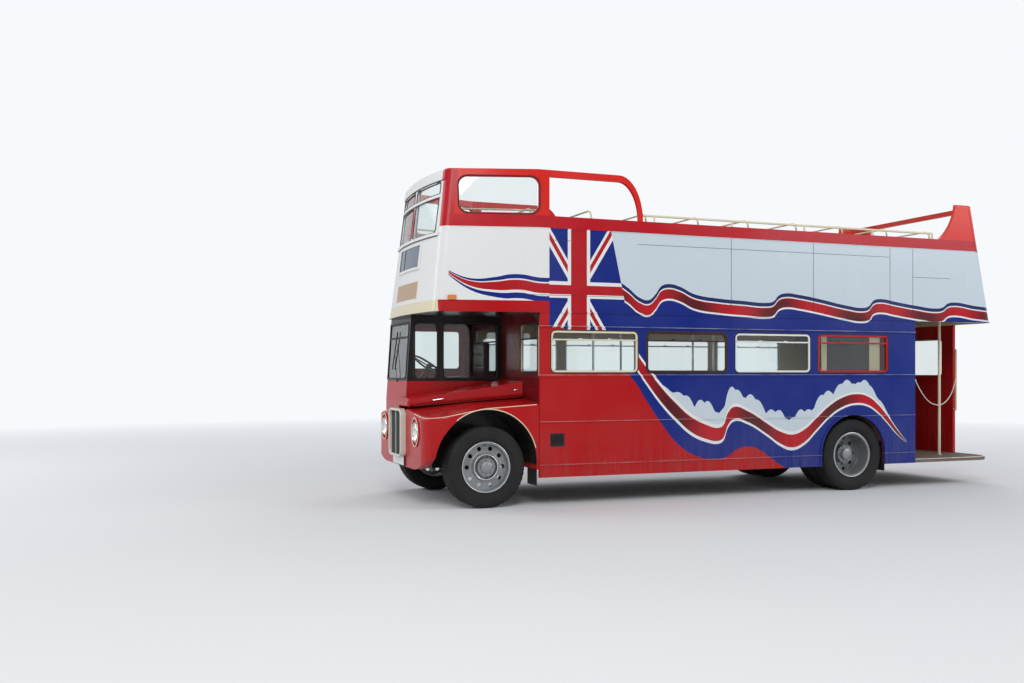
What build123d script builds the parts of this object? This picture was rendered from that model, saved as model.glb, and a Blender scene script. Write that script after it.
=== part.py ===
from build123d import *
from math import cos, pi, radians, sin, tan
import os

# Open top double deck bus with a half cab at the front and an open platform at the rear.
# Millimetres. +X is forward, +Y is the nearside (kerb side), +Z is up.
# The origin is on the ground, at the middle of the overall length and width.

os.makedirs("parts", exist_ok=True)

# Overall sizes
BODY_LENGTH = 8382
BODY_WIDTH = 2438
HALF_WIDTH = BODY_WIDTH / 2
NOSE_X = BODY_LENGTH / 2
TAIL_X = -BODY_LENGTH / 2
WALL = 45
FIT = 0.3
RUNNING_GAP = 12

# Wheels and tyres
FRONT_AXLE_X = 3391
WHEELBASE = 5131
REAR_AXLE_X = FRONT_AXLE_X - WHEELBASE
TYRE_R = 470
TYRE_WIDTH = 275
TREAD_WIDTH = 215
RIM_R = 286
RIM_WIDTH = 210
RIM_WALL = 16
FLANGE_R = 300
BEAD_FLANGE = 6
DISC_THICK = 14
FRONT_TRACK_Y = 1000
TWIN_SPACING = 312
REAR_OUTER_Y = 1045
REAR_INNER_Y = REAR_OUTER_Y - TWIN_SPACING
HAND_HOLES = 10
KINGPIN_Y = 862
STUB_R = 38
AXLE_TUBE_R = 55
HUB_CLEARANCE = 0.5

# Heights of the body
SKIRT_Z = 335
PLATFORM_TOP_Z = 378
PLATFORM_THICK = 43
FLOOR_TOP_Z = 680
FLOOR_THICK = 40
UPPER_BASE_Z = 2255
VALANCE_TOP_Z = 2390
CEILING_Z = 2420
UPPER_FLOOR_TOP_Z = 2470
BAND_TOP_Z = 3385
FRAME_TOP_Z = 3920
FRAME_RAIL = 80

# Places along the body
BULKHEAD_FRONT_X = 2770
BULKHEAD_THICK = 45
DOORWAY_FRONT_X = -2748
REAR_FACE_X = -4175
REAR_CORNER_R = 200
REAR_CORNER_X = REAR_FACE_X + REAR_CORNER_R
REAR_LEAN_DEG = 12
REAR_WALL_NEAR_Y = 480

# Upper body in plan
TAPER_X = 2790
FRONT_CORNER_X = 3985
FRONT_LEAN_DEG = 6.7
FRONT_HALF_WIDTH = 1040
FRONT_TUMBLE_DEG = 4.6
FRONT_BULGE = 95
FRONT_CORNER_R = 110
CORNER_POST = 115

# Lower windows
WINDOW_FIRST_X = 2626
WINDOW_WIDTH = 1136
WINDOW_PILLAR = 122
WINDOW_COUNT = 4
WINDOW_SILL_Z = 1560
WINDOW_HEAD_Z = 2050
WINDOW_R = 60
PANE = 6

# Wheel arches
REAR_ARCH_X = -1718
REAR_ARCH_R = 512
REAR_ARCH_TOP_Z = 997
FRONT_ARCH_X = 3405
FRONT_ARCH_R = 603
FRONT_ARCH_TOP_Z = 1133
WHEELHOUSE_Y = 575
WHEELBOX_Y = 565
WHEELBOX_WALL = 15
WHEELBOX_GAP = 12

# Chassis
RAIL_Y = 430
RAIL_WIDTH = 80
RAIL_TOP_Z = FLOOR_TOP_Z - FLOOR_THICK
RAIL_DEPTH = 80
RAIL_BASE_Z = RAIL_TOP_Z - RAIL_DEPTH
DRIVELINE_Y = -150

# Cab
CAB_NEAR_Y = -40
CAB_WALL = 40
CAB_BASE_Z = 1215
CAB_FRONT_X = 4035
CAB_LEAN = 70
CAB_CORNER_R = 230
CAB_ROOF_THICK = 20
CAB_WINDOW_SILL_Z = 1480
CAB_WINDOW_HEAD_Z = 2180
DOOR_REAR_X = 2860
DOOR_FRONT_X = 3700
DOOR_SILL_Z = 1290
DOOR_HEAD_Z = 2190
DOOR_THICK = 28
DOOR_GAP = 6
DOOR_LAP = 25
DOOR_TRAVEL = 700
DOOR_RAIL = 20

# Front end
GRILLE_HALF_WIDTH = 285
GRILLE_BASE_Z = 540
GRILLE_TOP_Z = 1125
GRILLE_DEPTH = 70
GRILLE_RIM = 32
GRILLE_CORNER_R = 90
WING_FRONT_X = NOSE_X - GRILLE_DEPTH
WING_BASE_Z = 430
WING_SKIN = 20
WING_CORNER_R = 300
WING_INNER_Y = 262
WING_OUTER_Y = 1205
LAMP_Y = 720
LAMP_Z = 866
LAMP_R = 110

# Upper deck frames and rear frame
HOOP_TOP_X = 1740
HOOP_FOOT_X = 1418
HOOP_WIDTH = 55
BAY_PILLAR_X = 2647
BAY_WINDOW_REAR_X = 2766
BAY_WINDOW_SILL_Z = 3330
BAY_WINDOW_R = 110
FIN_FOOT_X = -3160
FIN_TOP_X = -3453
FIN_TOP_Z = 3875
FIN_RAIL = 65

# Mouldings on the skin: low edge, high edge, how far they stand proud
SIDE_MOULDINGS = ((470, 484, 8), (972, 988, 8))
SILL_MOULDING = (1506, 1534, 12)
DRIP_MOULDING = (2092, 2108, 16)
UPPER_MOULDINGS = ((2258, 2276, 12), (3238, 3250, 6))
ARCH_LIP = 26
ARCH_LIP_PROUD = 9
DOOR_ZONE_X = 2080


def slab(x_span, y_span, z_span, mode=Mode.ADD):
    """Add or cut a block between two corners in the open part."""
    size = [high - low for low, high in (x_span, y_span, z_span)]
    middle = [(high + low) / 2 for low, high in (x_span, y_span, z_span)]
    with Locations(tuple(middle)):
        Box(*size, mode=mode)


def side_prism(sketch, y_low, y_high, mode=Mode.ADD):
    """Add or cut a sketch drawn on the XZ plane between two distances from the middle."""
    extrude(sketch.moved(Location((0, y_high, 0))), amount=y_high - y_low, mode=mode)


def front_prism(sketch, x_low, x_high, mode=Mode.ADD):
    """Add or cut a sketch drawn on the YZ plane between two distances along the body."""
    extrude(sketch.moved(Location((x_low, 0, 0))), amount=x_high - x_low, mode=mode)


def rod(start, end, radius, mode=Mode.ADD):
    """Add or cut a round bar between two points in the open part."""
    axis = Vector(*end) - Vector(*start)
    with BuildSketch(Plane(origin=start, z_dir=axis)) as section:
        Circle(radius)
    extrude(section.sketch, amount=axis.length, mode=mode)


def upper_outline(z, inset):
    """Plan outline of the upper body at a height, drawn inside the outer skin by an inset."""
    rise = z - UPPER_BASE_Z
    rear_x = REAR_FACE_X + rise * tan(radians(REAR_LEAN_DEG))
    corner_x = FRONT_CORNER_X - rise * tan(radians(FRONT_LEAN_DEG))
    corner_y = FRONT_HALF_WIDTH - rise * tan(radians(FRONT_TUMBLE_DEG))
    with BuildSketch(Plane.XY.offset(z)) as outline:
        with BuildLine():
            Polyline(
                (corner_x, -corner_y),
                (TAPER_X, -HALF_WIDTH),
                (rear_x, -HALF_WIDTH),
                (rear_x, HALF_WIDTH),
                (TAPER_X, HALF_WIDTH),
                (corner_x, corner_y),
            )
            ThreePointArc((corner_x, corner_y), (corner_x + FRONT_BULGE, 0), (corner_x, -corner_y))
        make_face()
        corners = outline.vertices()
        fillet(corners.group_by(Axis.X)[0], radius=REAR_CORNER_R)
        fillet(outline.vertices().group_by(Axis.X)[-1], radius=FRONT_CORNER_R)
        if inset:
            offset(amount=-inset, kind=Kind.INTERSECTION, mode=Mode.REPLACE)
    return outline.sketch


def upper_ring(z_low, z_high, outer_inset, inner_inset):
    """Wall of the upper body between two heights and two insets from the outer skin."""
    with BuildPart(mode=Mode.PRIVATE) as ring:
        loft(sections=[upper_outline(z_low, outer_inset), upper_outline(z_high, outer_inset)], ruled=True)
        loft(
            sections=[upper_outline(z_low, inner_inset), upper_outline(z_high, inner_inset)],
            ruled=True,
            mode=Mode.SUBTRACT,
        )
    return ring.part


def upper_solid(z_low, z_high, inset):
    """Whole plan of the upper body between two heights, inside the outer skin by an inset."""
    with BuildPart(mode=Mode.PRIVATE) as solid:
        loft(sections=[upper_outline(z_low, inset), upper_outline(z_high, inset)], ruled=True)
    return solid.part


def moulding_ring(z_low, z_high, proud, low_z, high_z):
    """Strip round the upper body that stands proud of the skin, cut from a wall's own height range."""
    with BuildPart(mode=Mode.PRIVATE) as strip:
        add(upper_ring(z_low, z_high, -proud, 10))
        slab((TAIL_X - 50, NOSE_X + 50), (-HALF_WIDTH - 50, HALF_WIDTH + 50), (low_z, high_z), Mode.INTERSECT)
    return strip.part


def split_x(z):
    """Place of the joint between the side panels and the front panel at a height."""
    return FRONT_CORNER_X - (z - UPPER_BASE_Z) * tan(radians(FRONT_LEAN_DEG)) - CORNER_POST


def rear_split_x(z):
    """Place of the joint between the side panels and the rounded rear panel at a height."""
    return REAR_CORNER_X + (z - UPPER_BASE_Z) * tan(radians(REAR_LEAN_DEG))


with BuildSketch(Plane.XZ) as front_zone:
    Polygon(
        (split_x(UPPER_BASE_Z), UPPER_BASE_Z),
        (NOSE_X, UPPER_BASE_Z),
        (NOSE_X, FRAME_TOP_Z),
        (split_x(FRAME_TOP_Z), FRAME_TOP_Z),
        align=None,
    )

with BuildSketch(Plane.XZ) as side_zone:
    Polygon(
        (split_x(UPPER_BASE_Z), UPPER_BASE_Z),
        (split_x(FRAME_TOP_Z), FRAME_TOP_Z),
        (rear_split_x(FRAME_TOP_Z), FRAME_TOP_Z),
        (rear_split_x(UPPER_BASE_Z), UPPER_BASE_Z),
        align=None,
    )

with BuildSketch(Plane.XZ) as rear_zone:
    Polygon(
        (TAIL_X, UPPER_BASE_Z),
        (rear_split_x(UPPER_BASE_Z), UPPER_BASE_Z),
        (rear_split_x(FRAME_TOP_Z), FRAME_TOP_Z),
        (TAIL_X, FRAME_TOP_Z),
        align=None,
    )

# Lower window places: front edge of each window, from the bulkhead rearwards
WINDOW_PITCH = WINDOW_WIDTH + WINDOW_PILLAR
WINDOW_MIDDLES = [WINDOW_FIRST_X - WINDOW_WIDTH / 2 - i * WINDOW_PITCH for i in range(WINDOW_COUNT)]
WINDOW_HEIGHT = WINDOW_HEAD_Z - WINDOW_SILL_Z
WINDOW_MIDDLE_Z = (WINDOW_HEAD_Z + WINDOW_SILL_Z) / 2


def lower_windows(shrink):
    """Sketch on XZ of the lower saloon windows, each smaller all round by a clearance."""
    with BuildSketch(Plane.XZ) as windows:
        with Locations(*[(x, WINDOW_MIDDLE_Z) for x in WINDOW_MIDDLES]):
            RectangleRounded(WINDOW_WIDTH - 2 * shrink, WINDOW_HEIGHT - 2 * shrink, WINDOW_R)
    return windows.sketch


def arch_sketch(x, radius, top_z):
    """Sketch on XZ of a wheel arch: a half circle on straight sides down to the ground."""
    centre_z = top_z - radius
    with BuildSketch(Plane.XZ) as arch:
        with Locations((x, centre_z)):
            Circle(radius)
        with Locations((x, centre_z / 2)):
            Rectangle(2 * radius, centre_z)
    return arch.sketch


# Chassis: two rails, cross members under the floor and the front towing bracket
CROSS_MEMBERS_X = [2690, 1250, 60, -1130, -2420]
CROSS_WIDTH = 90
RAIL_FRONT_X = 3960
RAIL_REAR_X = DOORWAY_FRONT_X
TOW_EYE_R = 22
TOW_EYE_LENGTH = 30
TOW_EYE_X = 4010
TOW_BRACKET_X = RAIL_FRONT_X

with BuildPart() as underframe:
    for side in (-1, 1):
        rail_middle = side * RAIL_Y
        slab(
            (RAIL_REAR_X, RAIL_FRONT_X),
            (rail_middle - RAIL_WIDTH / 2, rail_middle + RAIL_WIDTH / 2),
            (RAIL_BASE_Z, RAIL_TOP_Z),
        )
    for x in CROSS_MEMBERS_X:
        reach = HALF_WIDTH - WALL
        slab((x - CROSS_WIDTH / 2, x + CROSS_WIDTH / 2), (-reach, reach), (RAIL_BASE_Z, RAIL_TOP_Z))
    slab((RAIL_FRONT_X - CROSS_WIDTH, RAIL_FRONT_X), (-RAIL_Y, RAIL_Y), (RAIL_BASE_Z, RAIL_TOP_Z))
    slab(
        (TOW_BRACKET_X - 10, TOW_EYE_X + 2 * TOW_EYE_R),
        (-2 * TOW_EYE_R, 2 * TOW_EYE_R),
        (RAIL_BASE_Z, RAIL_BASE_Z + TOW_EYE_LENGTH),
    )
    with Locations((TOW_EYE_X + 10, 0, RAIL_BASE_Z + TOW_EYE_LENGTH / 2)):
        Cylinder(TOW_EYE_R, TOW_EYE_LENGTH, mode=Mode.SUBTRACT)
underframe.part.label = "underframe"
export_step(underframe.part, "parts/underframe.step")

# Front suspension: a dropped beam under the engine, arms and the forks that hold the kingpins
BEAM_BASE_Z = 330
BEAM_TOP_Z = 430
BEAM_HALF = 60
UPRIGHT_HALF = 120
UPRIGHT_R = 32
FORK_ARM = 30
FORK_GAP = 0.5
ARM_HALF_X = 45

with BuildPart() as front_suspension:
    slab(
        (FRONT_AXLE_X - BEAM_HALF, FRONT_AXLE_X + BEAM_HALF),
        (-RAIL_Y, RAIL_Y),
        (BEAM_BASE_Z, BEAM_TOP_Z),
    )
    for side in (-1, 1):
        inner, outer = sorted((side * (RAIL_Y - RAIL_WIDTH / 2), side * (RAIL_Y + RAIL_WIDTH / 2)))
        slab((FRONT_AXLE_X - BEAM_HALF, FRONT_AXLE_X + BEAM_HALF), (inner, outer), (BEAM_BASE_Z, RAIL_BASE_Z))
        inner, outer = sorted((side * RAIL_Y, side * (KINGPIN_Y + UPRIGHT_R)))
        low_top = TYRE_R - UPRIGHT_HALF - FORK_GAP
        slab((FRONT_AXLE_X - ARM_HALF_X, FRONT_AXLE_X + ARM_HALF_X), (inner, outer), (low_top - FORK_ARM, low_top))
        high_base = TYRE_R + UPRIGHT_HALF + FORK_GAP
        inner, outer = sorted((side * (RAIL_Y + RAIL_WIDTH / 2), side * (KINGPIN_Y + UPRIGHT_R)))
        slab((FRONT_AXLE_X - ARM_HALF_X, FRONT_AXLE_X + ARM_HALF_X), (inner, outer), (high_base, high_base + FORK_ARM))
front_suspension.part.label = "front_suspension"
export_step(front_suspension.part, "parts/front_suspension.step")

# Rear axle: tube, final drive casing and the saddles under the rails
DIFF_R = 155
DIFF_HALF = 150
SADDLE_HALF = 50

with BuildPart() as rear_axle:
    tube_end = REAR_OUTER_Y - 60
    rod((REAR_AXLE_X, -tube_end, TYRE_R), (REAR_AXLE_X, tube_end, TYRE_R), AXLE_TUBE_R)
    rod(
        (REAR_AXLE_X, DRIVELINE_Y - DIFF_HALF, TYRE_R),
        (REAR_AXLE_X, DRIVELINE_Y + DIFF_HALF, TYRE_R),
        DIFF_R,
    )
    for side in (-1, 1):
        middle = side * RAIL_Y
        slab(
            (REAR_AXLE_X - SADDLE_HALF, REAR_AXLE_X + SADDLE_HALF),
            (middle - SADDLE_HALF / 2, middle + SADDLE_HALF / 2),
            (TYRE_R, RAIL_BASE_Z),
        )
rear_axle.part.label = "rear_axle"
export_step(rear_axle.part, "parts/rear_axle.step")

# Engine: one plain block that rests on the front beam
ENGINE_REAR_X = 2830
ENGINE_FRONT_X = 3840
ENGINE_HALF_WIDTH = 290
ENGINE_TOP_Z = 1100

with BuildPart() as engine_block:
    slab((ENGINE_REAR_X, ENGINE_FRONT_X), (-ENGINE_HALF_WIDTH, ENGINE_HALF_WIDTH), (BEAM_TOP_Z, ENGINE_TOP_Z))
engine_block.part.label = "engine_block"
export_step(engine_block.part, "parts/engine_block.step")

# Gearbox under the floor and the shafts to and from it
GEARBOX_FRONT_X = 2250
GEARBOX_REAR_X = 1550
GEARBOX_HALF_WIDTH = 190
GEARBOX_BASE_Z = 380
SHAFT_R = 36
SHAFT_Z = 485

with BuildPart() as driveline:
    slab(
        (GEARBOX_REAR_X, GEARBOX_FRONT_X),
        (DRIVELINE_Y - GEARBOX_HALF_WIDTH, DRIVELINE_Y + GEARBOX_HALF_WIDTH),
        (GEARBOX_BASE_Z, RAIL_TOP_Z),
    )
    rod((GEARBOX_FRONT_X, DRIVELINE_Y, SHAFT_Z), (ENGINE_REAR_X, DRIVELINE_Y, SHAFT_Z), SHAFT_R)
    rod((REAR_AXLE_X + DIFF_R + 20, DRIVELINE_Y, SHAFT_Z), (GEARBOX_REAR_X, DRIVELINE_Y, SHAFT_Z), SHAFT_R)
    slab(
        (REAR_AXLE_X + DIFF_R + FIT, REAR_AXLE_X + DIFF_R + 60),
        (DRIVELINE_Y - 60, DRIVELINE_Y + 60),
        (SHAFT_Z - 60, SHAFT_Z + 60),
    )
driveline.part.label = "driveline"
export_step(driveline.part, "parts/driveline.step")

# Fuel tank on the offside, under a cross member
TANK_FRONT_X = 1420
TANK_REAR_X = 320
TANK_INNER_Y = -560
TANK_OUTER_Y = -1150
TANK_BASE_Z = 350
TANK_R = 60

with BuildPart() as fuel_tank:
    slab((TANK_REAR_X, TANK_FRONT_X), (TANK_OUTER_Y, TANK_INNER_Y), (TANK_BASE_Z, RAIL_BASE_Z))
    fillet(fuel_tank.edges().filter_by(Axis.X), radius=TANK_R)
fuel_tank.part.label = "fuel_tank"
export_step(fuel_tank.part, "parts/fuel_tank.step")

# Lower saloon floor with a box over each pair of rear tyres
BOX_R = REAR_ARCH_R + WHEELBOX_GAP
BOX_CENTRE_Z = REAR_ARCH_TOP_Z - REAR_ARCH_R
SALOON_FRONT_X = BULKHEAD_FRONT_X - BULKHEAD_THICK
BODY_INNER_Y = HALF_WIDTH - WALL

with BuildPart() as lower_floor:
    slab((DOORWAY_FRONT_X, SALOON_FRONT_X), (-BODY_INNER_Y, BODY_INNER_Y), (RAIL_TOP_Z, FLOOR_TOP_Z))
    for side in (-1, 1):
        low_y, high_y = sorted((side * (WHEELBOX_Y - WHEELBOX_WALL), side * BODY_INNER_Y))
        with BuildSketch(Plane.XZ.offset(-high_y)) as box_outside:
            with Locations((REAR_ARCH_X, BOX_CENTRE_Z)):
                Circle(BOX_R + WHEELBOX_WALL)
            with Locations((REAR_ARCH_X, RAIL_TOP_Z - 2 * BOX_R)):
                Rectangle(4 * BOX_R, 4 * BOX_R, mode=Mode.SUBTRACT)
        extrude(amount=high_y - low_y)
        low_y, high_y = sorted((side * WHEELBOX_Y, side * (BODY_INNER_Y + 1)))
        with BuildSketch(Plane.XZ.offset(-high_y)) as box_inside:
            with Locations((REAR_ARCH_X, BOX_CENTRE_Z)):
                Circle(BOX_R)
        extrude(amount=high_y - low_y, mode=Mode.SUBTRACT)
lower_floor.part.label = "lower_floor"
export_step(lower_floor.part, "parts/lower_floor.step")

# Platform: one step below the saloon floor, with a rounded kerb corner
PLATFORM_NEAR_Y = HALF_WIDTH - 14
PLATFORM_CORNER_R = 330
PLATFORM_REAR_X = TAIL_X
STEP_BOARD = 25

with BuildPart() as platform:
    with BuildSketch(Plane.XY.offset(PLATFORM_TOP_Z - PLATFORM_THICK)) as platform_plan:
        with BuildLine():
            Polyline(
                (DOORWAY_FRONT_X, -BODY_INNER_Y),
                (REAR_CORNER_X, -BODY_INNER_Y),
                (REAR_FACE_X + WALL, -BODY_INNER_Y + REAR_CORNER_R - WALL),
                (REAR_FACE_X + WALL, REAR_WALL_NEAR_Y + FIT),
                (PLATFORM_REAR_X, REAR_WALL_NEAR_Y + FIT),
                (PLATFORM_REAR_X, PLATFORM_NEAR_Y),
                (DOORWAY_FRONT_X, PLATFORM_NEAR_Y),
                close=True,
            )
        make_face()
        near_rear = platform_plan.vertices().sort_by_distance((PLATFORM_REAR_X, PLATFORM_NEAR_Y))[0]
        fillet(near_rear, radius=PLATFORM_CORNER_R)
    extrude(amount=PLATFORM_THICK)
    slab(
        (DOORWAY_FRONT_X - STEP_BOARD, DOORWAY_FRONT_X),
        (-BODY_INNER_Y, BODY_INNER_Y),
        (PLATFORM_TOP_Z, FLOOR_TOP_Z),
    )
    for side in (-1, 1):
        middle = side * RAIL_Y
        slab(
            (REAR_FACE_X + 400, DOORWAY_FRONT_X),
            (middle - RAIL_WIDTH / 2, middle + RAIL_WIDTH / 2),
            (PLATFORM_TOP_Z - PLATFORM_THICK - 55, PLATFORM_TOP_Z - PLATFORM_THICK),
        )
platform.part.label = "platform"
export_step(platform.part, "parts/platform.step")

# Lower body sides with the saloon windows and the rear wheel arches
for name, side, rear_x in (("near", 1, DOORWAY_FRONT_X), ("far", -1, REAR_CORNER_X)):
    low_y, high_y = sorted((side * BODY_INNER_Y, side * HALF_WIDTH))
    with BuildPart() as lower_side:
        slab((rear_x, BULKHEAD_FRONT_X), (low_y, high_y), (SKIRT_Z, UPPER_BASE_Z))
        for low_z, high_z, proud in SIDE_MOULDINGS:
            moulding_y = sorted((side * (HALF_WIDTH - 10), side * (HALF_WIDTH + proud)))
            slab((rear_x, BULKHEAD_FRONT_X), moulding_y, (low_z, high_z))
        moulding_front_x = BULKHEAD_FRONT_X if side > 0 else DOOR_ZONE_X
        for low_z, high_z, proud in (SILL_MOULDING, DRIP_MOULDING):
            moulding_y = sorted((side * (HALF_WIDTH - 10), side * (HALF_WIDTH + proud)))
            slab((rear_x, moulding_front_x), moulding_y, (low_z, high_z))
        lip_y = sorted((side * (HALF_WIDTH - 10), side * (HALF_WIDTH + ARCH_LIP_PROUD)))
        with BuildSketch(Plane.XZ) as arch_lip:
            add(arch_sketch(REAR_ARCH_X, REAR_ARCH_R + ARCH_LIP, REAR_ARCH_TOP_Z + ARCH_LIP))
            with Locations((REAR_ARCH_X, 0)):
                Rectangle(4 * REAR_ARCH_R, 2 * SKIRT_Z, mode=Mode.SUBTRACT)
        side_prism(arch_lip.sketch, *lip_y)
        side_prism(lower_windows(0), low_y - 20, high_y + 20, Mode.SUBTRACT)
        side_prism(arch_sketch(REAR_ARCH_X, REAR_ARCH_R, REAR_ARCH_TOP_Z), low_y - 20, high_y + 20, Mode.SUBTRACT)
    lower_side.part.label = f"lower_side_{name}"
    export_step(lower_side.part, f"parts/lower_side_{name}.step")

# Front bulkhead of the lower saloon, with a window on each side of the middle
BULKHEAD_WINDOW_NEAR = (600, 1145)
BULKHEAD_WINDOW_FAR = (-1060, -260)
BULKHEAD_WINDOW_HEAD_Z = 2140


def bulkhead_windows(shrink):
    """Sketch on YZ of the bulkhead windows, smaller all round by a clearance."""
    height = BULKHEAD_WINDOW_HEAD_Z - WINDOW_SILL_Z
    with BuildSketch(Plane.YZ) as windows:
        for low, high in (BULKHEAD_WINDOW_NEAR, BULKHEAD_WINDOW_FAR):
            with Locations(((low + high) / 2, WINDOW_SILL_Z + height / 2)):
                RectangleRounded(high - low - 2 * shrink, height - 2 * shrink, WINDOW_R)
    return windows.sketch


with BuildPart() as front_bulkhead:
    slab((SALOON_FRONT_X, BULKHEAD_FRONT_X), (-BODY_INNER_Y, BODY_INNER_Y), (RAIL_TOP_Z, CEILING_Z))
    front_prism(bulkhead_windows(0), SALOON_FRONT_X - 1, BULKHEAD_FRONT_X + 1, Mode.SUBTRACT)
front_bulkhead.part.label = "front_bulkhead"
export_step(front_bulkhead.part, "parts/front_bulkhead.step")

# Rear wall of the lower deck: the closed offside half with its rounded corner and a window
REAR_WINDOW = (-620, 260)
REAR_WINDOW_SILL_Z = 1500
REAR_WINDOW_HEAD_Z = 2060
PLATE_BOX_Y = (-380, 180)
PLATE_BOX_Z = (1150, 1290)
PLATE_BOX_PROUD = 14


def rear_window(shrink):
    """Sketch on YZ of the lower rear window, smaller all round by a clearance."""
    low, high = REAR_WINDOW
    height = REAR_WINDOW_HEAD_Z - REAR_WINDOW_SILL_Z
    with BuildSketch(Plane.YZ) as window:
        with Locations(((low + high) / 2, REAR_WINDOW_SILL_Z + height / 2)):
            RectangleRounded(high - low - 2 * shrink, height - 2 * shrink, WINDOW_R)
    return window.sketch


with BuildPart() as lower_rear:
    with BuildSketch(Plane.XY.offset(SKIRT_Z)) as rear_plan:
        with BuildLine():
            Polyline(
                (REAR_CORNER_X, -HALF_WIDTH),
                (REAR_FACE_X, -HALF_WIDTH),
                (REAR_FACE_X, REAR_WALL_NEAR_Y),
                (REAR_FACE_X + WALL, REAR_WALL_NEAR_Y),
                (REAR_FACE_X + WALL, -BODY_INNER_Y),
                (REAR_CORNER_X, -BODY_INNER_Y),
                close=True,
            )
        make_face()
        outer_corner = rear_plan.vertices().sort_by_distance((REAR_FACE_X, -HALF_WIDTH))[0]
        fillet(outer_corner, radius=REAR_CORNER_R)
        inner_corner = rear_plan.vertices().sort_by_distance((REAR_FACE_X + WALL, -BODY_INNER_Y))[0]
        fillet(inner_corner, radius=REAR_CORNER_R - WALL)
    extrude(amount=UPPER_BASE_Z - SKIRT_Z)
    front_prism(rear_window(0), REAR_FACE_X - 1, REAR_FACE_X + WALL + 1, Mode.SUBTRACT)
    slab((REAR_FACE_X - PLATE_BOX_PROUD, REAR_FACE_X + 5), PLATE_BOX_Y, PLATE_BOX_Z)
lower_rear.part.label = "lower_rear"
export_step(lower_rear.part, "parts/lower_rear.step")

# Canopy under the front of the upper deck: valance, soffit and the curved gusset by the bulkhead
SOFFIT_THICK = 20
GUSSET_R = 150

with BuildPart() as canopy:
    add(upper_ring(UPPER_BASE_Z, VALANCE_TOP_Z, 0, WALL))
    add(upper_solid(UPPER_BASE_Z, UPPER_BASE_Z + SOFFIT_THICK, FIT))
    low_z, high_z, proud = UPPER_MOULDINGS[0]
    add(moulding_ring(UPPER_BASE_Z, VALANCE_TOP_Z, proud, low_z, high_z))
    slab((BULKHEAD_FRONT_X, NOSE_X), (-HALF_WIDTH - 50, HALF_WIDTH + 50), (UPPER_BASE_Z, VALANCE_TOP_Z), Mode.INTERSECT)
    with BuildSketch(Plane.XZ) as gusset:
        with Locations((BULKHEAD_FRONT_X + GUSSET_R / 2, UPPER_BASE_Z - GUSSET_R / 2)):
            Rectangle(GUSSET_R, GUSSET_R)
        with Locations((BULKHEAD_FRONT_X + GUSSET_R, UPPER_BASE_Z - GUSSET_R)):
            Circle(GUSSET_R - 8, mode=Mode.SUBTRACT)
    side_prism(gusset.sketch, BODY_INNER_Y, HALF_WIDTH - 25)
canopy.part.label = "canopy"
export_step(canopy.part, "parts/canopy.step")

# Upper floor with the stairwell
STAIR_NEAR_Y = -520
STAIRWELL_FRONT_X = -2420
STAIRWELL_REAR_X = -3700

with BuildPart() as upper_floor:
    add(upper_solid(CEILING_Z, UPPER_FLOOR_TOP_Z, WALL + FIT))
    slab(
        (STAIRWELL_REAR_X, STAIRWELL_FRONT_X),
        (-HALF_WIDTH - 1, STAIR_NEAR_Y),
        (CEILING_Z - 1, UPPER_FLOOR_TOP_Z + 1),
        Mode.SUBTRACT,
    )
upper_floor.part.label = "upper_floor"
export_step(upper_floor.part, "parts/upper_floor.step")

# Upper body sides up to the band
skin_strips = [
    moulding_ring(UPPER_BASE_Z, BAND_TOP_Z, proud, low_z, high_z) for low_z, high_z, proud in UPPER_MOULDINGS
]

for name, side in (("near", 1), ("far", -1)):
    low_y, high_y = sorted((0, side * (HALF_WIDTH + 50)))
    with BuildPart() as upper_side:
        add(upper_ring(UPPER_BASE_Z, BAND_TOP_Z, 0, WALL))
        for strip in skin_strips:
            add(strip)
        side_prism(side_zone.sketch, low_y, high_y, Mode.INTERSECT)
        slab(
            (BULKHEAD_FRONT_X, NOSE_X),
            (-HALF_WIDTH - 50, HALF_WIDTH + 50),
            (UPPER_BASE_Z - 1, VALANCE_TOP_Z),
            Mode.SUBTRACT,
        )
    upper_side.part.label = f"upper_side_{name}"
    export_step(upper_side.part, f"parts/upper_side_{name}.step")

# Upper front: panel, destination box, two windows with top lights
FRONT_WINDOW_SILL_Z = 3180
FRONT_WINDOW_HEAD_Z = 3775
FRONT_WINDOW_INNER_Y = 45
FRONT_WINDOW_OUTER_Y = 790
DESTINATION_HALF_WIDTH = 450
DESTINATION_BASE_Z = 2790
DESTINATION_TOP_Z = 3110


def front_windows(shrink):
    """Sketch on YZ of the two front windows of the upper deck."""
    with BuildSketch(Plane.YZ) as windows:
        for side in (-1, 1):
            middle = side * (FRONT_WINDOW_INNER_Y + FRONT_WINDOW_OUTER_Y) / 2
            with Locations((middle, (FRONT_WINDOW_SILL_Z + FRONT_WINDOW_HEAD_Z) / 2)):
                RectangleRounded(
                    FRONT_WINDOW_OUTER_Y - FRONT_WINDOW_INNER_Y - 2 * shrink,
                    FRONT_WINDOW_HEAD_Z - FRONT_WINDOW_SILL_Z - 2 * shrink,
                    40,
                )
    return windows.sketch


# Columns: low edge, high edge, how far it stands proud, how deep it goes into the wall, half width
FRONT_RAILS = (
    (3796, 3900, 16, 10, 880),
    (3596, 3630, 8, 17.7, 830),
    (3142, 3176, 24, 10, 900),
)

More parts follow.
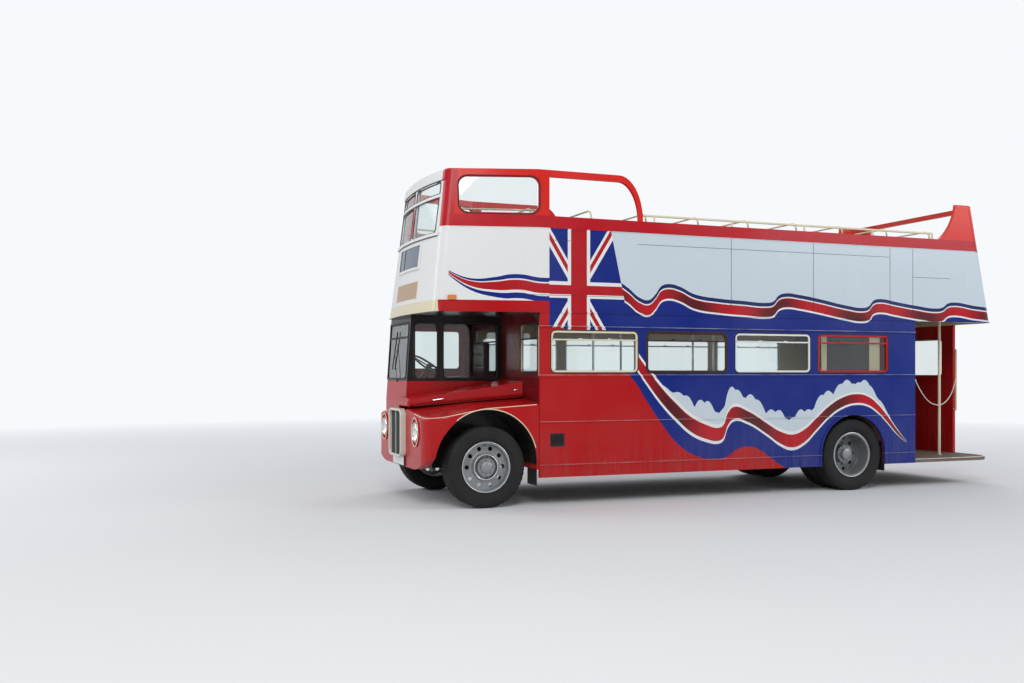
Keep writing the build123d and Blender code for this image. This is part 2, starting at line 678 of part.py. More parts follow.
with BuildPart() as upper_front:
    add(upper_ring(VALANCE_TOP_Z, FRAME_TOP_Z, 0, WALL))
    side_prism(front_zone.sketch, -HALF_WIDTH, HALF_WIDTH, Mode.INTERSECT)
    front_prism(front_windows(0), FRONT_CORNER_X - 400, NOSE_X, Mode.SUBTRACT)
    for low_z, high_z, proud, depth, half in FRONT_RAILS:
        with BuildPart(mode=Mode.PRIVATE) as front_rail:
            add(upper_ring(VALANCE_TOP_Z, FRAME_TOP_Z, -proud, depth))
            slab((FRONT_CORNER_X - 400, NOSE_X), (-half, half), (low_z, high_z), Mode.INTERSECT)
        add(front_rail.part)
upper_front.part.label = "upper_front"
export_step(upper_front.part, "parts/upper_front.step")

# Upper rear panel round both rear corners, up to the band
with BuildPart() as upper_rear:
    add(upper_ring(UPPER_BASE_Z, BAND_TOP_Z, 0, WALL))
    for strip in skin_strips:
        add(strip)
    side_prism(rear_zone.sketch, -HALF_WIDTH - 50, HALF_WIDTH + 50, Mode.INTERSECT)
upper_rear.part.label = "upper_rear"
export_step(upper_rear.part, "parts/upper_rear.step")

# Window frames and hoops of the first bay, on both sides of the upper deck
HOOP_A = HOOP_TOP_X - HOOP_FOOT_X
HOOP_B = FRAME_TOP_Z - BAND_TOP_Z
RAIL_BASE_TOP_Z = FRAME_TOP_Z - FRAME_RAIL

with BuildSketch(Plane.XZ) as hoop_zone:
    with Locations((HOOP_TOP_X, BAND_TOP_Z)):
        Ellipse(HOOP_A, HOOP_B)
    with Locations(((HOOP_TOP_X + NOSE_X) / 2, (BAND_TOP_Z + FRAME_TOP_Z) / 2)):
        Rectangle(NOSE_X - HOOP_TOP_X, FRAME_TOP_Z - BAND_TOP_Z)

with BuildSketch(Plane.XZ) as hoop_gap:
    with Locations((HOOP_TOP_X, BAND_TOP_Z)):
        Ellipse(HOOP_A - HOOP_WIDTH, HOOP_B - FRAME_RAIL)
    with Locations(((HOOP_TOP_X + BAY_PILLAR_X) / 2, (BAND_TOP_Z + RAIL_BASE_TOP_Z) / 2)):
        Rectangle(BAY_PILLAR_X - HOOP_TOP_X, RAIL_BASE_TOP_Z - BAND_TOP_Z)
    with Locations((HOOP_TOP_X, BAND_TOP_Z - HOOP_B / 2)):
        Rectangle(4 * HOOP_A, HOOP_B, mode=Mode.SUBTRACT)


def bay_window(shrink):
    """Sketch on XZ of the first bay window of the upper deck."""
    front_x = split_x(FRAME_TOP_Z) + 10
    with BuildSketch(Plane.XZ) as window:
        with Locations(((front_x + BAY_WINDOW_REAR_X) / 2, (BAND_TOP_Z + RAIL_BASE_TOP_Z) / 2 + 5)):
            RectangleRounded(
                front_x - BAY_WINDOW_REAR_X - 2 * shrink,
                RAIL_BASE_TOP_Z - BAND_TOP_Z - 10 - 2 * shrink,
                BAY_WINDOW_R,
            )
    return window.sketch


for name, side in (("near", 1), ("far", -1)):
    low_y, high_y = sorted((0, side * (HALF_WIDTH + 1)))
    with BuildPart() as bay_frame:
        add(upper_ring(BAND_TOP_Z, FRAME_TOP_Z, 0, WALL))
        side_prism(side_zone.sketch, low_y, high_y, Mode.INTERSECT)
        side_prism(hoop_zone.sketch, low_y, high_y, Mode.INTERSECT)
        side_prism(hoop_gap.sketch, low_y, high_y, Mode.SUBTRACT)
        side_prism(bay_window(0), low_y, high_y, Mode.SUBTRACT)
    bay_frame.part.label = f"bay_frame_{name}"
    export_step(bay_frame.part, f"parts/bay_frame_{name}.step")

# Rear frame: a fin on each side with a curved front edge, joined by a beam across the rear
FIN_OPENING_HALF = 930

with BuildSketch(Plane.XZ) as fin_zone:
    with BuildLine():
        Polyline((FIN_TOP_X, FIN_TOP_Z), (TAIL_X, FIN_TOP_Z), (TAIL_X, BAND_TOP_Z), (FIN_FOOT_X, BAND_TOP_Z))
        RadiusArc((FIN_FOOT_X, BAND_TOP_Z), (FIN_TOP_X, FIN_TOP_Z), 700)
    make_face()

with BuildPart() as rear_frame:
    add(upper_ring(BAND_TOP_Z, FIN_TOP_Z, 0, WALL))
    side_prism(fin_zone.sketch, -HALF_WIDTH - 1, HALF_WIDTH + 1, Mode.INTERSECT)
    slab(
        (TAIL_X, FIN_TOP_X),
        (-FIN_OPENING_HALF, FIN_OPENING_HALF),
        (BAND_TOP_Z - 1, FIN_TOP_Z - FIN_RAIL),
        Mode.SUBTRACT,
    )
rear_frame.part.label = "rear_frame"
export_step(rear_frame.part, "parts/rear_frame.step")

# Staircase: three winding steps by the rear corner, then a straight flight forward
STEP_COUNT = 9
STEP_RISE = (UPPER_FLOOR_TOP_Z - PLATFORM_TOP_Z) / (STEP_COUNT + 1)
WINDER_COUNT = 3
FLIGHT_REAR_X = -3560
FLIGHT_GOING = (STAIRWELL_FRONT_X - FLIGHT_REAR_X) / (STEP_COUNT - WINDER_COUNT)
TREAD_THICK = 40
STRINGER = 25
STAIR_REAR_X = REAR_FACE_X + WALL + 40
STAIR_FAR_Y = -BODY_INNER_Y + FIT

with BuildPart() as staircase:
    for i in range(WINDER_COUNT, STEP_COUNT):
        step_x = FLIGHT_REAR_X + (i - WINDER_COUNT) * FLIGHT_GOING
        step_top = PLATFORM_TOP_Z + (i + 1) * STEP_RISE
        slab((step_x, step_x + FLIGHT_GOING), (STAIR_FAR_Y, STAIR_NEAR_Y), (step_top - TREAD_THICK, step_top))
        slab(
            (step_x, step_x + TREAD_THICK / 2),
            (STAIR_FAR_Y, STAIR_NEAR_Y),
            (step_top - STEP_RISE - TREAD_THICK, step_top),
        )
        slab(
            (step_x, step_x + FLIGHT_GOING),
            (STAIR_NEAR_Y, STAIR_NEAR_Y + STRINGER),
            (step_top - STEP_RISE - 120, min(step_top + 150, CEILING_Z)),
        )
    for i in range(WINDER_COUNT):
        step_top = PLATFORM_TOP_Z + (i + 1) * STEP_RISE
        near_y = STAIR_NEAR_Y - i * 170
        slab((STAIR_REAR_X + 130, FLIGHT_REAR_X), (STAIR_FAR_Y, near_y), (step_top - STEP_RISE, step_top))
staircase.part.label = "staircase"
export_step(staircase.part, "parts/staircase.step")

# Handrails: rails above the band on both sides, and the guard round the stairwell
RAIL_TUBE_R = 14
SIDE_RAIL_Z = 3460
SIDE_RAIL_Y = HALF_WIDTH - WALL / 2
SIDE_RAIL_POSTS_X = [1250, 150, -950, -2050, -3060]
GUARD_TOP_Z = UPPER_FLOOR_TOP_Z + 900

with BuildPart() as handrails:
    for side in (-1, 1):
        y = side * SIDE_RAIL_Y
        rod((SIDE_RAIL_POSTS_X[-1], y, SIDE_RAIL_Z), (HOOP_FOOT_X - 8, y, SIDE_RAIL_Z), RAIL_TUBE_R)
        for x in SIDE_RAIL_POSTS_X:
            rod((x, y, BAND_TOP_Z), (x, y, SIDE_RAIL_Z), RAIL_TUBE_R - 2)
handrails.part.label = "handrails"
export_step(handrails.part, "parts/handrails.step")

# Guard round the stairwell on the upper deck
GUARD_WALL = 25
GUARD_REAR_X = -3700
GUARD_FAR_Y = -1140

with BuildPart() as stair_guard:
    slab(
        (GUARD_REAR_X, STAIRWELL_FRONT_X),
        (STAIR_NEAR_Y, STAIR_NEAR_Y + GUARD_WALL),
        (UPPER_FLOOR_TOP_Z, GUARD_TOP_Z),
    )
    slab(
        (GUARD_REAR_X, GUARD_REAR_X + GUARD_WALL),
        (GUARD_FAR_Y, STAIR_NEAR_Y + GUARD_WALL),
        (UPPER_FLOOR_TOP_Z, GUARD_TOP_Z),
    )
stair_guard.part.label = "stair_guard"
export_step(stair_guard.part, "parts/stair_guard.step")

# Platform pole and the grab rail on the edge of the rear wall
POLE_X = -3615
POLE_Y = 750
POLE_R = 19
GRAB_RAIL_X = -4150
GRAB_RAIL_Y = 522
GRAB_RAIL_R = 14
GRAB_RAIL_Z = (1000, 1900)

with BuildPart() as platform_pole:
    rod((POLE_X, POLE_Y, PLATFORM_TOP_Z), (POLE_X, POLE_Y, CEILING_Z), POLE_R)
    rod((GRAB_RAIL_X, GRAB_RAIL_Y, GRAB_RAIL_Z[0]), (GRAB_RAIL_X, GRAB_RAIL_Y, GRAB_RAIL_Z[1]), GRAB_RAIL_R)
    for z in (GRAB_RAIL_Z[0] + 20, GRAB_RAIL_Z[1] - 20):
        rod((GRAB_RAIL_X, REAR_WALL_NEAR_Y, z), (GRAB_RAIL_X, GRAB_RAIL_Y, z), GRAB_RAIL_R - 3)
platform_pole.part.label = "platform_pole"
export_step(platform_pole.part, "parts/platform_pole.step")

# Bonnet hinge line, along the near wall of the cab
HINGE_R = 6
HINGE_Y = CAB_NEAR_Y + 4
HINGE_GAP = 0.5
BONNET_REAR_X = BULKHEAD_FRONT_X + 6
BONNET_FRONT_X = WING_FRONT_X + 4
BONNET_FAR_Y = HINGE_Y + HINGE_R + HINGE_GAP
HINGE_REAR_Z = 1478
HINGE_FRONT_Z = 1258
HINGE_FRONT_X = CAB_FRONT_X - 10
HINGE_SLOPE = (HINGE_FRONT_Z - HINGE_REAR_Z) / (BONNET_FRONT_X - BONNET_REAR_X)

# Cab shell: near wall, windscreen frame and offside wall with the doorway, under a flat roof
CAB_SILL_TOP = CAB_BASE_Z
SCREEN_LOW_Y = -1080
SCREEN_HIGH_Y = -110
CAB_NEAR_WINDOWS = ((2830, 3556), (3622, 3925))
CAB_WINDOW_R = 55


def cab_outline(z, front_x, inset):
    """Plan outline of the cab at a height, inside its outer skin by an inset, open to the bulkhead."""
    with BuildSketch(Plane.XY.offset(z)) as outline:
        with BuildLine():
            Polyline(
                (BULKHEAD_FRONT_X, -HALF_WIDTH + inset),
                (front_x - inset, -HALF_WIDTH + inset),
                (front_x - inset, CAB_NEAR_Y - inset),
                (BULKHEAD_FRONT_X, CAB_NEAR_Y - inset),
                close=True,
            )
        make_face()
        off_corner = outline.vertices().sort_by_distance((front_x - inset, -HALF_WIDTH + inset, z))[0]
        fillet(off_corner, radius=CAB_CORNER_R - inset)
    return outline.sketch


with BuildSketch(Plane.XZ) as cab_side_windows:
    for rear_x, front_x in CAB_NEAR_WINDOWS:
        with Locations(((rear_x + front_x) / 2, (CAB_WINDOW_SILL_Z + CAB_WINDOW_HEAD_Z) / 2)):
            RectangleRounded(front_x - rear_x, CAB_WINDOW_HEAD_Z - CAB_WINDOW_SILL_Z, CAB_WINDOW_R)

with BuildSketch(Plane.YZ) as windscreen_hole:
    with Locations(((SCREEN_LOW_Y + SCREEN_HIGH_Y) / 2, (CAB_WINDOW_SILL_Z + CAB_WINDOW_HEAD_Z) / 2)):
        RectangleRounded(SCREEN_HIGH_Y - SCREEN_LOW_Y, CAB_WINDOW_HEAD_Z - CAB_WINDOW_SILL_Z, CAB_WINDOW_R)

with BuildPart() as cab_shell:
    loft(
        sections=[
            cab_outline(CAB_BASE_Z, CAB_FRONT_X, 0),
            cab_outline(UPPER_BASE_Z, CAB_FRONT_X - CAB_LEAN, 0),
        ],
        ruled=True,
    )
    loft(
        sections=[
            cab_outline(CAB_BASE_Z, CAB_FRONT_X, CAB_WALL),
            cab_outline(UPPER_BASE_Z - CAB_ROOF_THICK, CAB_FRONT_X - CAB_LEAN, CAB_WALL),
        ],
        ruled=True,
        mode=Mode.SUBTRACT,
    )
    side_prism(cab_side_windows.sketch, CAB_NEAR_Y - CAB_WALL - 1, CAB_NEAR_Y + 1, Mode.SUBTRACT)
    front_prism(windscreen_hole.sketch, CAB_FRONT_X - 250, NOSE_X, Mode.SUBTRACT)
    slab(
        (DOOR_REAR_X, DOOR_FRONT_X),
        (-HALF_WIDTH - 1, -HALF_WIDTH + CAB_WALL + 1),
        (DOOR_SILL_Z, DOOR_HEAD_Z),
        Mode.SUBTRACT,
    )
    rod(
        (BONNET_REAR_X, HINGE_Y, HINGE_REAR_Z),
        (HINGE_FRONT_X, HINGE_Y, HINGE_REAR_Z + HINGE_SLOPE * (HINGE_FRONT_X - BONNET_REAR_X)),
        HINGE_R,
    )
    for rail_base in (DOOR_SILL_Z - DOOR_LAP - HINGE_GAP - DOOR_RAIL, DOOR_HEAD_Z + DOOR_LAP + HINGE_GAP):
        slab(
            (DOOR_REAR_X - DOOR_LAP - DOOR_TRAVEL, DOOR_FRONT_X),
            (-HALF_WIDTH - DOOR_GAP - DOOR_THICK, -HALF_WIDTH),
            (rail_base, rail_base + DOOR_RAIL),
        )
cab_shell.part.label = "cab_shell"
export_step(cab_shell.part, "parts/cab_shell.step")

# Cab door: slides rearward on the outside of the body
DOOR_OUTER_Y = -(HALF_WIDTH + DOOR_GAP + DOOR_THICK)

with BuildSketch(Plane.XZ) as door_window:
    with Locations(((DOOR_REAR_X + DOOR_FRONT_X) / 2, (CAB_WINDOW_SILL_Z + 120 + DOOR_HEAD_Z - 60) / 2)):
        RectangleRounded(DOOR_FRONT_X - DOOR_REAR_X - 160, DOOR_HEAD_Z - 60 - CAB_WINDOW_SILL_Z - 120, CAB_WINDOW_R)

with BuildPart() as cab_door:
    slab(
        (DOOR_REAR_X - DOOR_LAP, DOOR_FRONT_X + DOOR_LAP),
        (DOOR_OUTER_Y, DOOR_OUTER_Y + DOOR_THICK),
        (DOOR_SILL_Z - DOOR_LAP, DOOR_HEAD_Z + DOOR_LAP),
    )
    side_prism(door_window.sketch, DOOR_OUTER_Y - 1, DOOR_OUTER_Y + DOOR_THICK + 1, Mode.SUBTRACT)
cab_door.part.label = "cab_door"
export_step(cab_door.part, "parts/cab_door.step")

with BuildPart() as cab_door_glass:
    side_prism(door_window.sketch, DOOR_OUTER_Y + 10, DOOR_OUTER_Y + 10 + PANE)
cab_door_glass.part.label = "cab_door_glass"
export_step(cab_door_glass.part, "parts/cab_door_glass.step")

# Cab floor over the offside wheel, and the driver's seat on it
CAB_FLOOR_THICK = 20
SEAT_X = 3080
SEAT_Y = -640

with BuildPart() as cab_floor:
    extrude(cab_outline(CAB_BASE_Z, CAB_FRONT_X, CAB_WALL + 2), amount=CAB_FLOOR_THICK)
cab_floor.part.label = "cab_floor"
export_step(cab_floor.part, "parts/cab_floor.step")

with BuildPart() as driver_seat:
    floor_z = CAB_BASE_Z + CAB_FLOOR_THICK
    slab((SEAT_X - 150, SEAT_X + 150), (SEAT_Y - 150, SEAT_Y + 150), (floor_z, floor_z + 180))
    slab((SEAT_X - 220, SEAT_X + 220), (SEAT_Y - 230, SEAT_Y + 230), (floor_z + 180, floor_z + 280))
    slab((SEAT_X - 280, SEAT_X - 190), (SEAT_Y - 230, SEAT_Y + 230), (floor_z + 240, floor_z + 720))
driver_seat.part.label = "driver_seat"
export_step(driver_seat.part, "parts/driver_seat.step")

# Steering wheel on its raked column
STEER_X = 3560
STEER_Z = 1640
COLUMN_RAKE_DEG = 35
STEER_WHEEL_R = 230
STEER_RIM_R = 13
column_up = Vector(-sin(radians(COLUMN_RAKE_DEG)), 0, cos(radians(COLUMN_RAKE_DEG)))
steer_centre = Vector(STEER_X, SEAT_Y, STEER_Z)
steer_plane = Plane(origin=steer_centre, x_dir=(0, 1, 0), z_dir=column_up)

with BuildPart(steer_plane) as steering_wheel:
    Torus(STEER_WHEEL_R, STEER_RIM_R)
    Cylinder(34, 40)
    with PolarLocations(0, 3):
        with Locations((STEER_WHEEL_R / 2, 0, 0)):
            Box(STEER_WHEEL_R, 26, 12)
steering_wheel.part.label = "steering_wheel"
export_step(steering_wheel.part, "parts/steering_wheel.step")

with BuildPart() as steering_column:
    column_foot = steer_centre - column_up * 480
    column_head = steer_centre - column_up * 21
    rod(tuple(column_foot), tuple(column_head), 26)
    slab((BULKHEAD_FRONT_X, NOSE_X), (-HALF_WIDTH, 0), (CAB_BASE_Z + CAB_FLOOR_THICK, UPPER_BASE_Z), Mode.INTERSECT)
steering_column.part.label = "steering_column"
export_step(steering_column.part, "parts/steering_column.step")

# Wings: a crowned top, a rounded front corner and the wheel arch over the front tyre
WING_MIDDLE_X = 3450
WING_LIP_R = 45
WHEELHOUSE_WALL = 20
LAMP_BOWL_DEPTH = 55
ARM_SLOT_HALF = 75
WING_REAR_X = BULKHEAD_FRONT_X
# Columns: place along the body, top by the bonnet, top at the outer edge
WING_SECTIONS = (
    (WING_REAR_X, 1275, 1200),
    (WING_MIDDLE_X, 1212, 1156),
    (WING_FRONT_X, 1122, 1027),
)


def wing_section(x, inner_top, outer_top, drop, inner_y, outer_y):
    """Cross section of a wing on YZ: its top falls evenly from the bonnet to the outer edge."""
    fall = (inner_top - outer_top) / (WING_OUTER_Y - WING_INNER_Y)
    with BuildSketch(Plane.YZ.offset(x)) as section:
        Polygon(
            (inner_y, WING_BASE_Z - drop),
            (outer_y, WING_BASE_Z - drop),
            (outer_y, inner_top - fall * (outer_y - WING_INNER_Y) - drop),
            (inner_y, inner_top - fall * (inner_y - WING_INNER_Y) - drop),
            align=None,
        )
    return section.sketch


def wing_lip(edges):
    """Top edges of a wing along its outside, round its front corner and across its front."""
    lip = []
    for edge in edges:
        middle = edge.center()
        along_top = min((edge @ 0).Z, (edge @ 1).Z) > 1000
        outside = middle.Y > WING_OUTER_Y - 10 or middle.X > WING_FRONT_X - WING_CORNER_R
        across = abs(middle.X - BULKHEAD_FRONT_X) < 2 or abs(middle.X - WING_MIDDLE_X) < 2
        if along_top and outside and not across and middle.Y > WING_INNER_Y + 2:
            lip.append(edge)
    return lip


BEZEL_RADII = (150, 172)
BEZEL_RIM = 15
BEZEL_PROUD = 13
# Columns across the front from the nose: distance from the middle, height of the lower edge
WING_EDGE = ((640, 430), (930, 492), (1206, 655))

with BuildSketch(Plane.YZ) as wing_lower_edge:
    with BuildLine():
        ThreePointArc(*WING_EDGE)
        Polyline(WING_EDGE[2], (WING_OUTER_Y + 5, 655), (WING_OUTER_Y + 5, 400), (640, 400), WING_EDGE[0])
    make_face()

with BuildPart() as near_wing:
    loft(
        sections=[wing_section(*sizes, 0, WING_INNER_Y, WING_OUTER_Y) for sizes in WING_SECTIONS],
        ruled=True,
    )
    uprights = near_wing.edges().filter_by(Axis.Z)
    fillet(uprights.sort_by_distance((WING_FRONT_X, WING_OUTER_Y, 700))[0], radius=WING_CORNER_R)
    fillet(wing_lip(near_wing.edges()), radius=WING_LIP_R)
    front_prism(wing_lower_edge.sketch, WING_FRONT_X - WING_CORNER_R, NOSE_X, Mode.SUBTRACT)
    with BuildSketch(Plane.YZ.offset(WING_FRONT_X - 5)) as bezel:
        with Locations((LAMP_Y, LAMP_Z)):
            Ellipse(*BEZEL_RADII)
            Ellipse(BEZEL_RADII[0] - BEZEL_RIM, BEZEL_RADII[1] - BEZEL_RIM, mode=Mode.SUBTRACT)
    extrude(amount=BEZEL_PROUD + 5)
    side_prism(
        arch_sketch(FRONT_ARCH_X, FRONT_ARCH_R, FRONT_ARCH_TOP_Z),
        WHEELHOUSE_Y,
        WING_OUTER_Y + 1,
        Mode.SUBTRACT,
    )
    hollow_y = WHEELHOUSE_Y - WHEELHOUSE_WALL
    loft(
        sections=[
            wing_section(WING_REAR_X - 1, *WING_SECTIONS[0][1:], WING_SKIN, WING_INNER_Y - 1, hollow_y),
            wing_section(*WING_SECTIONS[1], WING_SKIN, WING_INNER_Y - 1, hollow_y),
            wing_section(WING_FRONT_X - WALL, *WING_SECTIONS[2][1:], WING_SKIN, WING_INNER_Y - 1, hollow_y),
        ],
        ruled=True,
        mode=Mode.SUBTRACT,
    )
    slab(
        (FRONT_AXLE_X - ARM_SLOT_HALF, FRONT_AXLE_X + ARM_SLOT_HALF),
        (hollow_y - 1, WHEELHOUSE_Y + 1),
        (WING_BASE_Z - 1, TYRE_R + UPRIGHT_HALF + FORK_GAP + FORK_ARM + 20),
        Mode.SUBTRACT,
    )
    rod((WING_FRONT_X - LAMP_BOWL_DEPTH, LAMP_Y, LAMP_Z), (NOSE_X, LAMP_Y, LAMP_Z), LAMP_R + FIT, Mode.SUBTRACT)
near_wing.part.label = "near_wing"
export_step(near_wing.part, "parts/near_wing.step")

# Offside wing: the mirror image of the near wing under a skirt that carries the cab, with the nose cowl
COWL_TOP_Z = 1232
COWL_BASE_Z = 1062
COWL_NEAR_Y = CAB_NEAR_Y + 4
CAB_SKIRT_Z = 1000
CAB_SKIRT_INNER_Z = 1110

with BuildPart() as cab_front:
    extrude(cab_outline(CAB_SKIRT_Z, CAB_FRONT_X, 0), amount=CAB_BASE_Z - CAB_SKIRT_Z)
    extrude(
        cab_outline(CAB_SKIRT_Z, CAB_FRONT_X, CAB_WALL),
        amount=CAB_BASE_Z - CAB_SKIRT_Z,
        mode=Mode.SUBTRACT,
    )
    slab(
        (WING_REAR_X - 1, NOSE_X),
        (-WING_INNER_Y - CAB_WALL, 0),
        (CAB_SKIRT_Z - 1, CAB_SKIRT_INNER_Z),
        Mode.SUBTRACT,
    )
    add(mirror(near_wing.part, about=Plane.XZ))
    slab((WING_REAR_X, NOSE_X), (-HALF_WIDTH, 0), (CAB_BASE_Z, 2 * CAB_BASE_Z), Mode.SUBTRACT)
    side_prism(
        arch_sketch(FRONT_ARCH_X, FRONT_ARCH_R, FRONT_ARCH_TOP_Z),
        -HALF_WIDTH - 1,
        -WHEELHOUSE_Y,
        Mode.SUBTRACT,
    )
    slab(
        (CAB_FRONT_X + FIT, WING_FRONT_X),
        (-WING_INNER_Y - CAB_WALL, COWL_NEAR_Y),
        (COWL_BASE_Z, COWL_TOP_Z),
    )
    slab(
        (CAB_FRONT_X - CAB_WALL, CAB_FRONT_X + CAB_WALL),
        (-WING_INNER_Y - CAB_WALL, COWL_NEAR_Y),
        (CAB_SKIRT_INNER_Z, CAB_BASE_Z),
    )
cab_front.part.label = "cab_front"
export_step(cab_front.part, "parts/cab_front.step")

# Headlamps: a drum in the wing with a domed lens
LENS_RISE = 32

with BuildPart() as headlamps:
    for side in (-1, 1):
        centre = (WING_FRONT_X - LAMP_BOWL_DEPTH, side * LAMP_Y, LAMP_Z)
        rod(centre, (WING_FRONT_X + 12, side * LAMP_Y, LAMP_Z), LAMP_R)
        lens_r = (LAMP_R ** 2 + LENS_RISE ** 2) / (2 * LENS_RISE)
        with BuildSketch(Plane(origin=(0, side * LAMP_Y, LAMP_Z), x_dir=(1, 0, 0), z_dir=(0, 1, 0))) as lens:
            with BuildLine():
                Line((WING_FRONT_X + 12, 0), (WING_FRONT_X + 12 + LENS_RISE, 0))
                RadiusArc(
                    (WING_FRONT_X + 12 + LENS_RISE, 0),
                    (WING_FRONT_X + 12, LAMP_R),
                    -lens_r,
                )
                Line((WING_FRONT_X + 12, LAMP_R), (WING_FRONT_X + 12, 0))
            make_face()
        revolve(lens.sketch, axis=Axis((0, side * LAMP_Y, LAMP_Z), (1, 0, 0)))
headlamps.part.label = "headlamps"
export_step(headlamps.part, "parts/headlamps.step")

# Radiator grille: a rounded frame on a back plate, with upright slats and a middle bar
SLAT_THICK = 6
SLAT_PITCH = 38
SLAT_DEPTH = 46
MIDDLE_BAR = 34
GRILLE_BACK = 6
PLATE_CARRIER_HALF = 265
PLATE_CARRIER_THICK = 16
PLATE_CARRIER_Z = (436, 552)
GRILLE_HEIGHT = GRILLE_TOP_Z - GRILLE_BASE_Z
GRILLE_MIDDLE_Z = (GRILLE_TOP_Z + GRILLE_BASE_Z) / 2

with BuildPart() as radiator_grille:
    with BuildSketch(Plane.YZ.offset(WING_FRONT_X)) as grille_back:
        with Locations((0, GRILLE_MIDDLE_Z)):
            RectangleRounded(2 * GRILLE_HALF_WIDTH, GRILLE_HEIGHT, GRILLE_CORNER_R)
    extrude(amount=GRILLE_BACK)
    slab((WING_FRONT_X, WING_FRONT_X + PLATE_CARRIER_THICK), (-PLATE_CARRIER_HALF, PLATE_CARRIER_HALF), PLATE_CARRIER_Z)
    with BuildSketch(Plane.YZ.offset(WING_FRONT_X)) as grille_rim:
        with Locations((0, GRILLE_MIDDLE_Z)):
            RectangleRounded(2 * GRILLE_HALF_WIDTH, GRILLE_HEIGHT, GRILLE_CORNER_R)
            RectangleRounded(
                2 * (GRILLE_HALF_WIDTH - GRILLE_RIM),
                GRILLE_HEIGHT - 2 * GRILLE_RIM,
                GRILLE_CORNER_R - GRILLE_RIM,
                mode=Mode.SUBTRACT,
            )
    extrude(amount=GRILLE_DEPTH)
    slat_count = int((GRILLE_HALF_WIDTH - GRILLE_RIM - MIDDLE_BAR) / SLAT_PITCH)
    slat_places = [side * (MIDDLE_BAR / 2 + (i + 0.7) * SLAT_PITCH) for side in (-1, 1) for i in range(slat_count)]
    for y in slat_places:
        slab(
            (WING_FRONT_X, WING_FRONT_X + SLAT_DEPTH),
            (y - SLAT_THICK / 2, y + SLAT_THICK / 2),
            (GRILLE_BASE_Z + GRILLE_RIM - 1, GRILLE_TOP_Z - GRILLE_RIM + 1),
        )
    slab(
        (WING_FRONT_X, WING_FRONT_X + SLAT_DEPTH + 8),
        (-MIDDLE_BAR / 2, MIDDLE_BAR / 2),
        (GRILLE_BASE_Z + GRILLE_RIM - 1, GRILLE_TOP_Z - GRILLE_RIM + 1),
    )
radiator_grille.part.label = "radiator_grille"
export_step(radiator_grille.part, "parts/radiator_grille.step")

# Bonnet: hinged along the cab wall, lifting at its near edge
BONNET_SKIN = 18
BONNET_EDGE_R = 60
BONNET_NOSE_R = 40
# Columns: near edge, underside of the side, top at the near edge, top at the hinge
BONNET_REAR = (695, 1255, 1447, HINGE_REAR_Z)
BONNET_FRONT = (392, 1140, 1232, HINGE_FRONT_Z)


def bonnet_section(x, sizes, skin):
    """Cross section of the bonnet on YZ, inside its outer surface by a skin thickness."""
    near_y, base_z, near_top, far_top = sizes
    with BuildSketch(Plane.YZ.offset(x)) as section:
        with BuildLine():
            Polyline(
                (BONNET_FAR_Y - (1 if skin else 0), base_z - skin),
                (near_y - skin, base_z - skin),
                (near_y - skin, near_top - skin),
                (BONNET_FAR_Y - (1 if skin else 0), far_top - skin),
                close=True,
            )
        make_face()
        edge = section.vertices().sort_by_distance((x, near_y - skin, near_top - skin))[0]
        fillet(edge, radius=BONNET_EDGE_R - skin)
    return section.sketch


def bonnet_between(x):
    """Bonnet section sizes at a place along the straight line from its rear to its front."""
    share = (x - BONNET_REAR_X) / (BONNET_FRONT_X - BONNET_REAR_X)
    return [rear + share * (front - rear) for rear, front in zip(BONNET_REAR, BONNET_FRONT)]


with BuildPart() as bonnet:
    loft(
        sections=[
            bonnet_section(BONNET_REAR_X, BONNET_REAR, 0),
            bonnet_section(BONNET_FRONT_X, BONNET_FRONT, 0),
        ],
        ruled=True,
    )
    nose = bonnet.faces().sort_by(Axis.X)[-1]
    nose_edges = [
        edge for edge in nose.edges() if edge.center().Z > BONNET_FRONT[1] + 1 and edge.center().Y > BONNET_FAR_Y + 2
    ]
    fillet(nose_edges, radius=BONNET_NOSE_R)
    inner_x = BONNET_FRONT_X - BONNET_NOSE_R
    loft(
        sections=[
            bonnet_section(BONNET_REAR_X - 1, bonnet_between(BONNET_REAR_X - 1), BONNET_SKIN),
            bonnet_section(inner_x, bonnet_between(inner_x), BONNET_SKIN),
        ],
        ruled=True,
        mode=Mode.SUBTRACT,
    )
bonnet.part.label = "bonnet"
export_step(bonnet.part, "parts/bonnet.step")

# Window glass: flat panes in the middle of the walls, and panes that follow the leaning upper body
GLASS_INSET = 18
PANE_Y = HALF_WIDTH - WALL / 2

cab_windscreen = [
    cab_outline(CAB_BASE_Z, CAB_FRONT_X, GLASS_INSET),
    cab_outline(UPPER_BASE_Z, CAB_FRONT_X - CAB_LEAN, GLASS_INSET),
]
cab_windscreen_back = [
    cab_outline(CAB_BASE_Z, CAB_FRONT_X, GLASS_INSET + PANE),
    cab_outline(UPPER_BASE_Z, CAB_FRONT_X - CAB_LEAN, GLASS_INSET + PANE),
]

with BuildSketch(Plane.YZ) as windscreen_pane:
    with Locations(((SCREEN_LOW_Y + SCREEN_HIGH_Y) / 2, (CAB_WINDOW_SILL_Z + CAB_WINDOW_HEAD_Z) / 2)):
        RectangleRounded(
            SCREEN_HIGH_Y - SCREEN_LOW_Y - 2 * FIT,
            CAB_WINDOW_HEAD_Z - CAB_WINDOW_SILL_Z - 2 * FIT,
            CAB_WINDOW_R,
        )

with BuildPart(mode=Mode.PRIVATE) as windscreen_glass:
    loft(sections=cab_windscreen, ruled=True)
    loft(sections=cab_windscreen_back, ruled=True, mode=Mode.SUBTRACT)
    front_prism(windscreen_pane.sketch, CAB_FRONT_X - CAB_LEAN - 160, NOSE_X, Mode.INTERSECT)

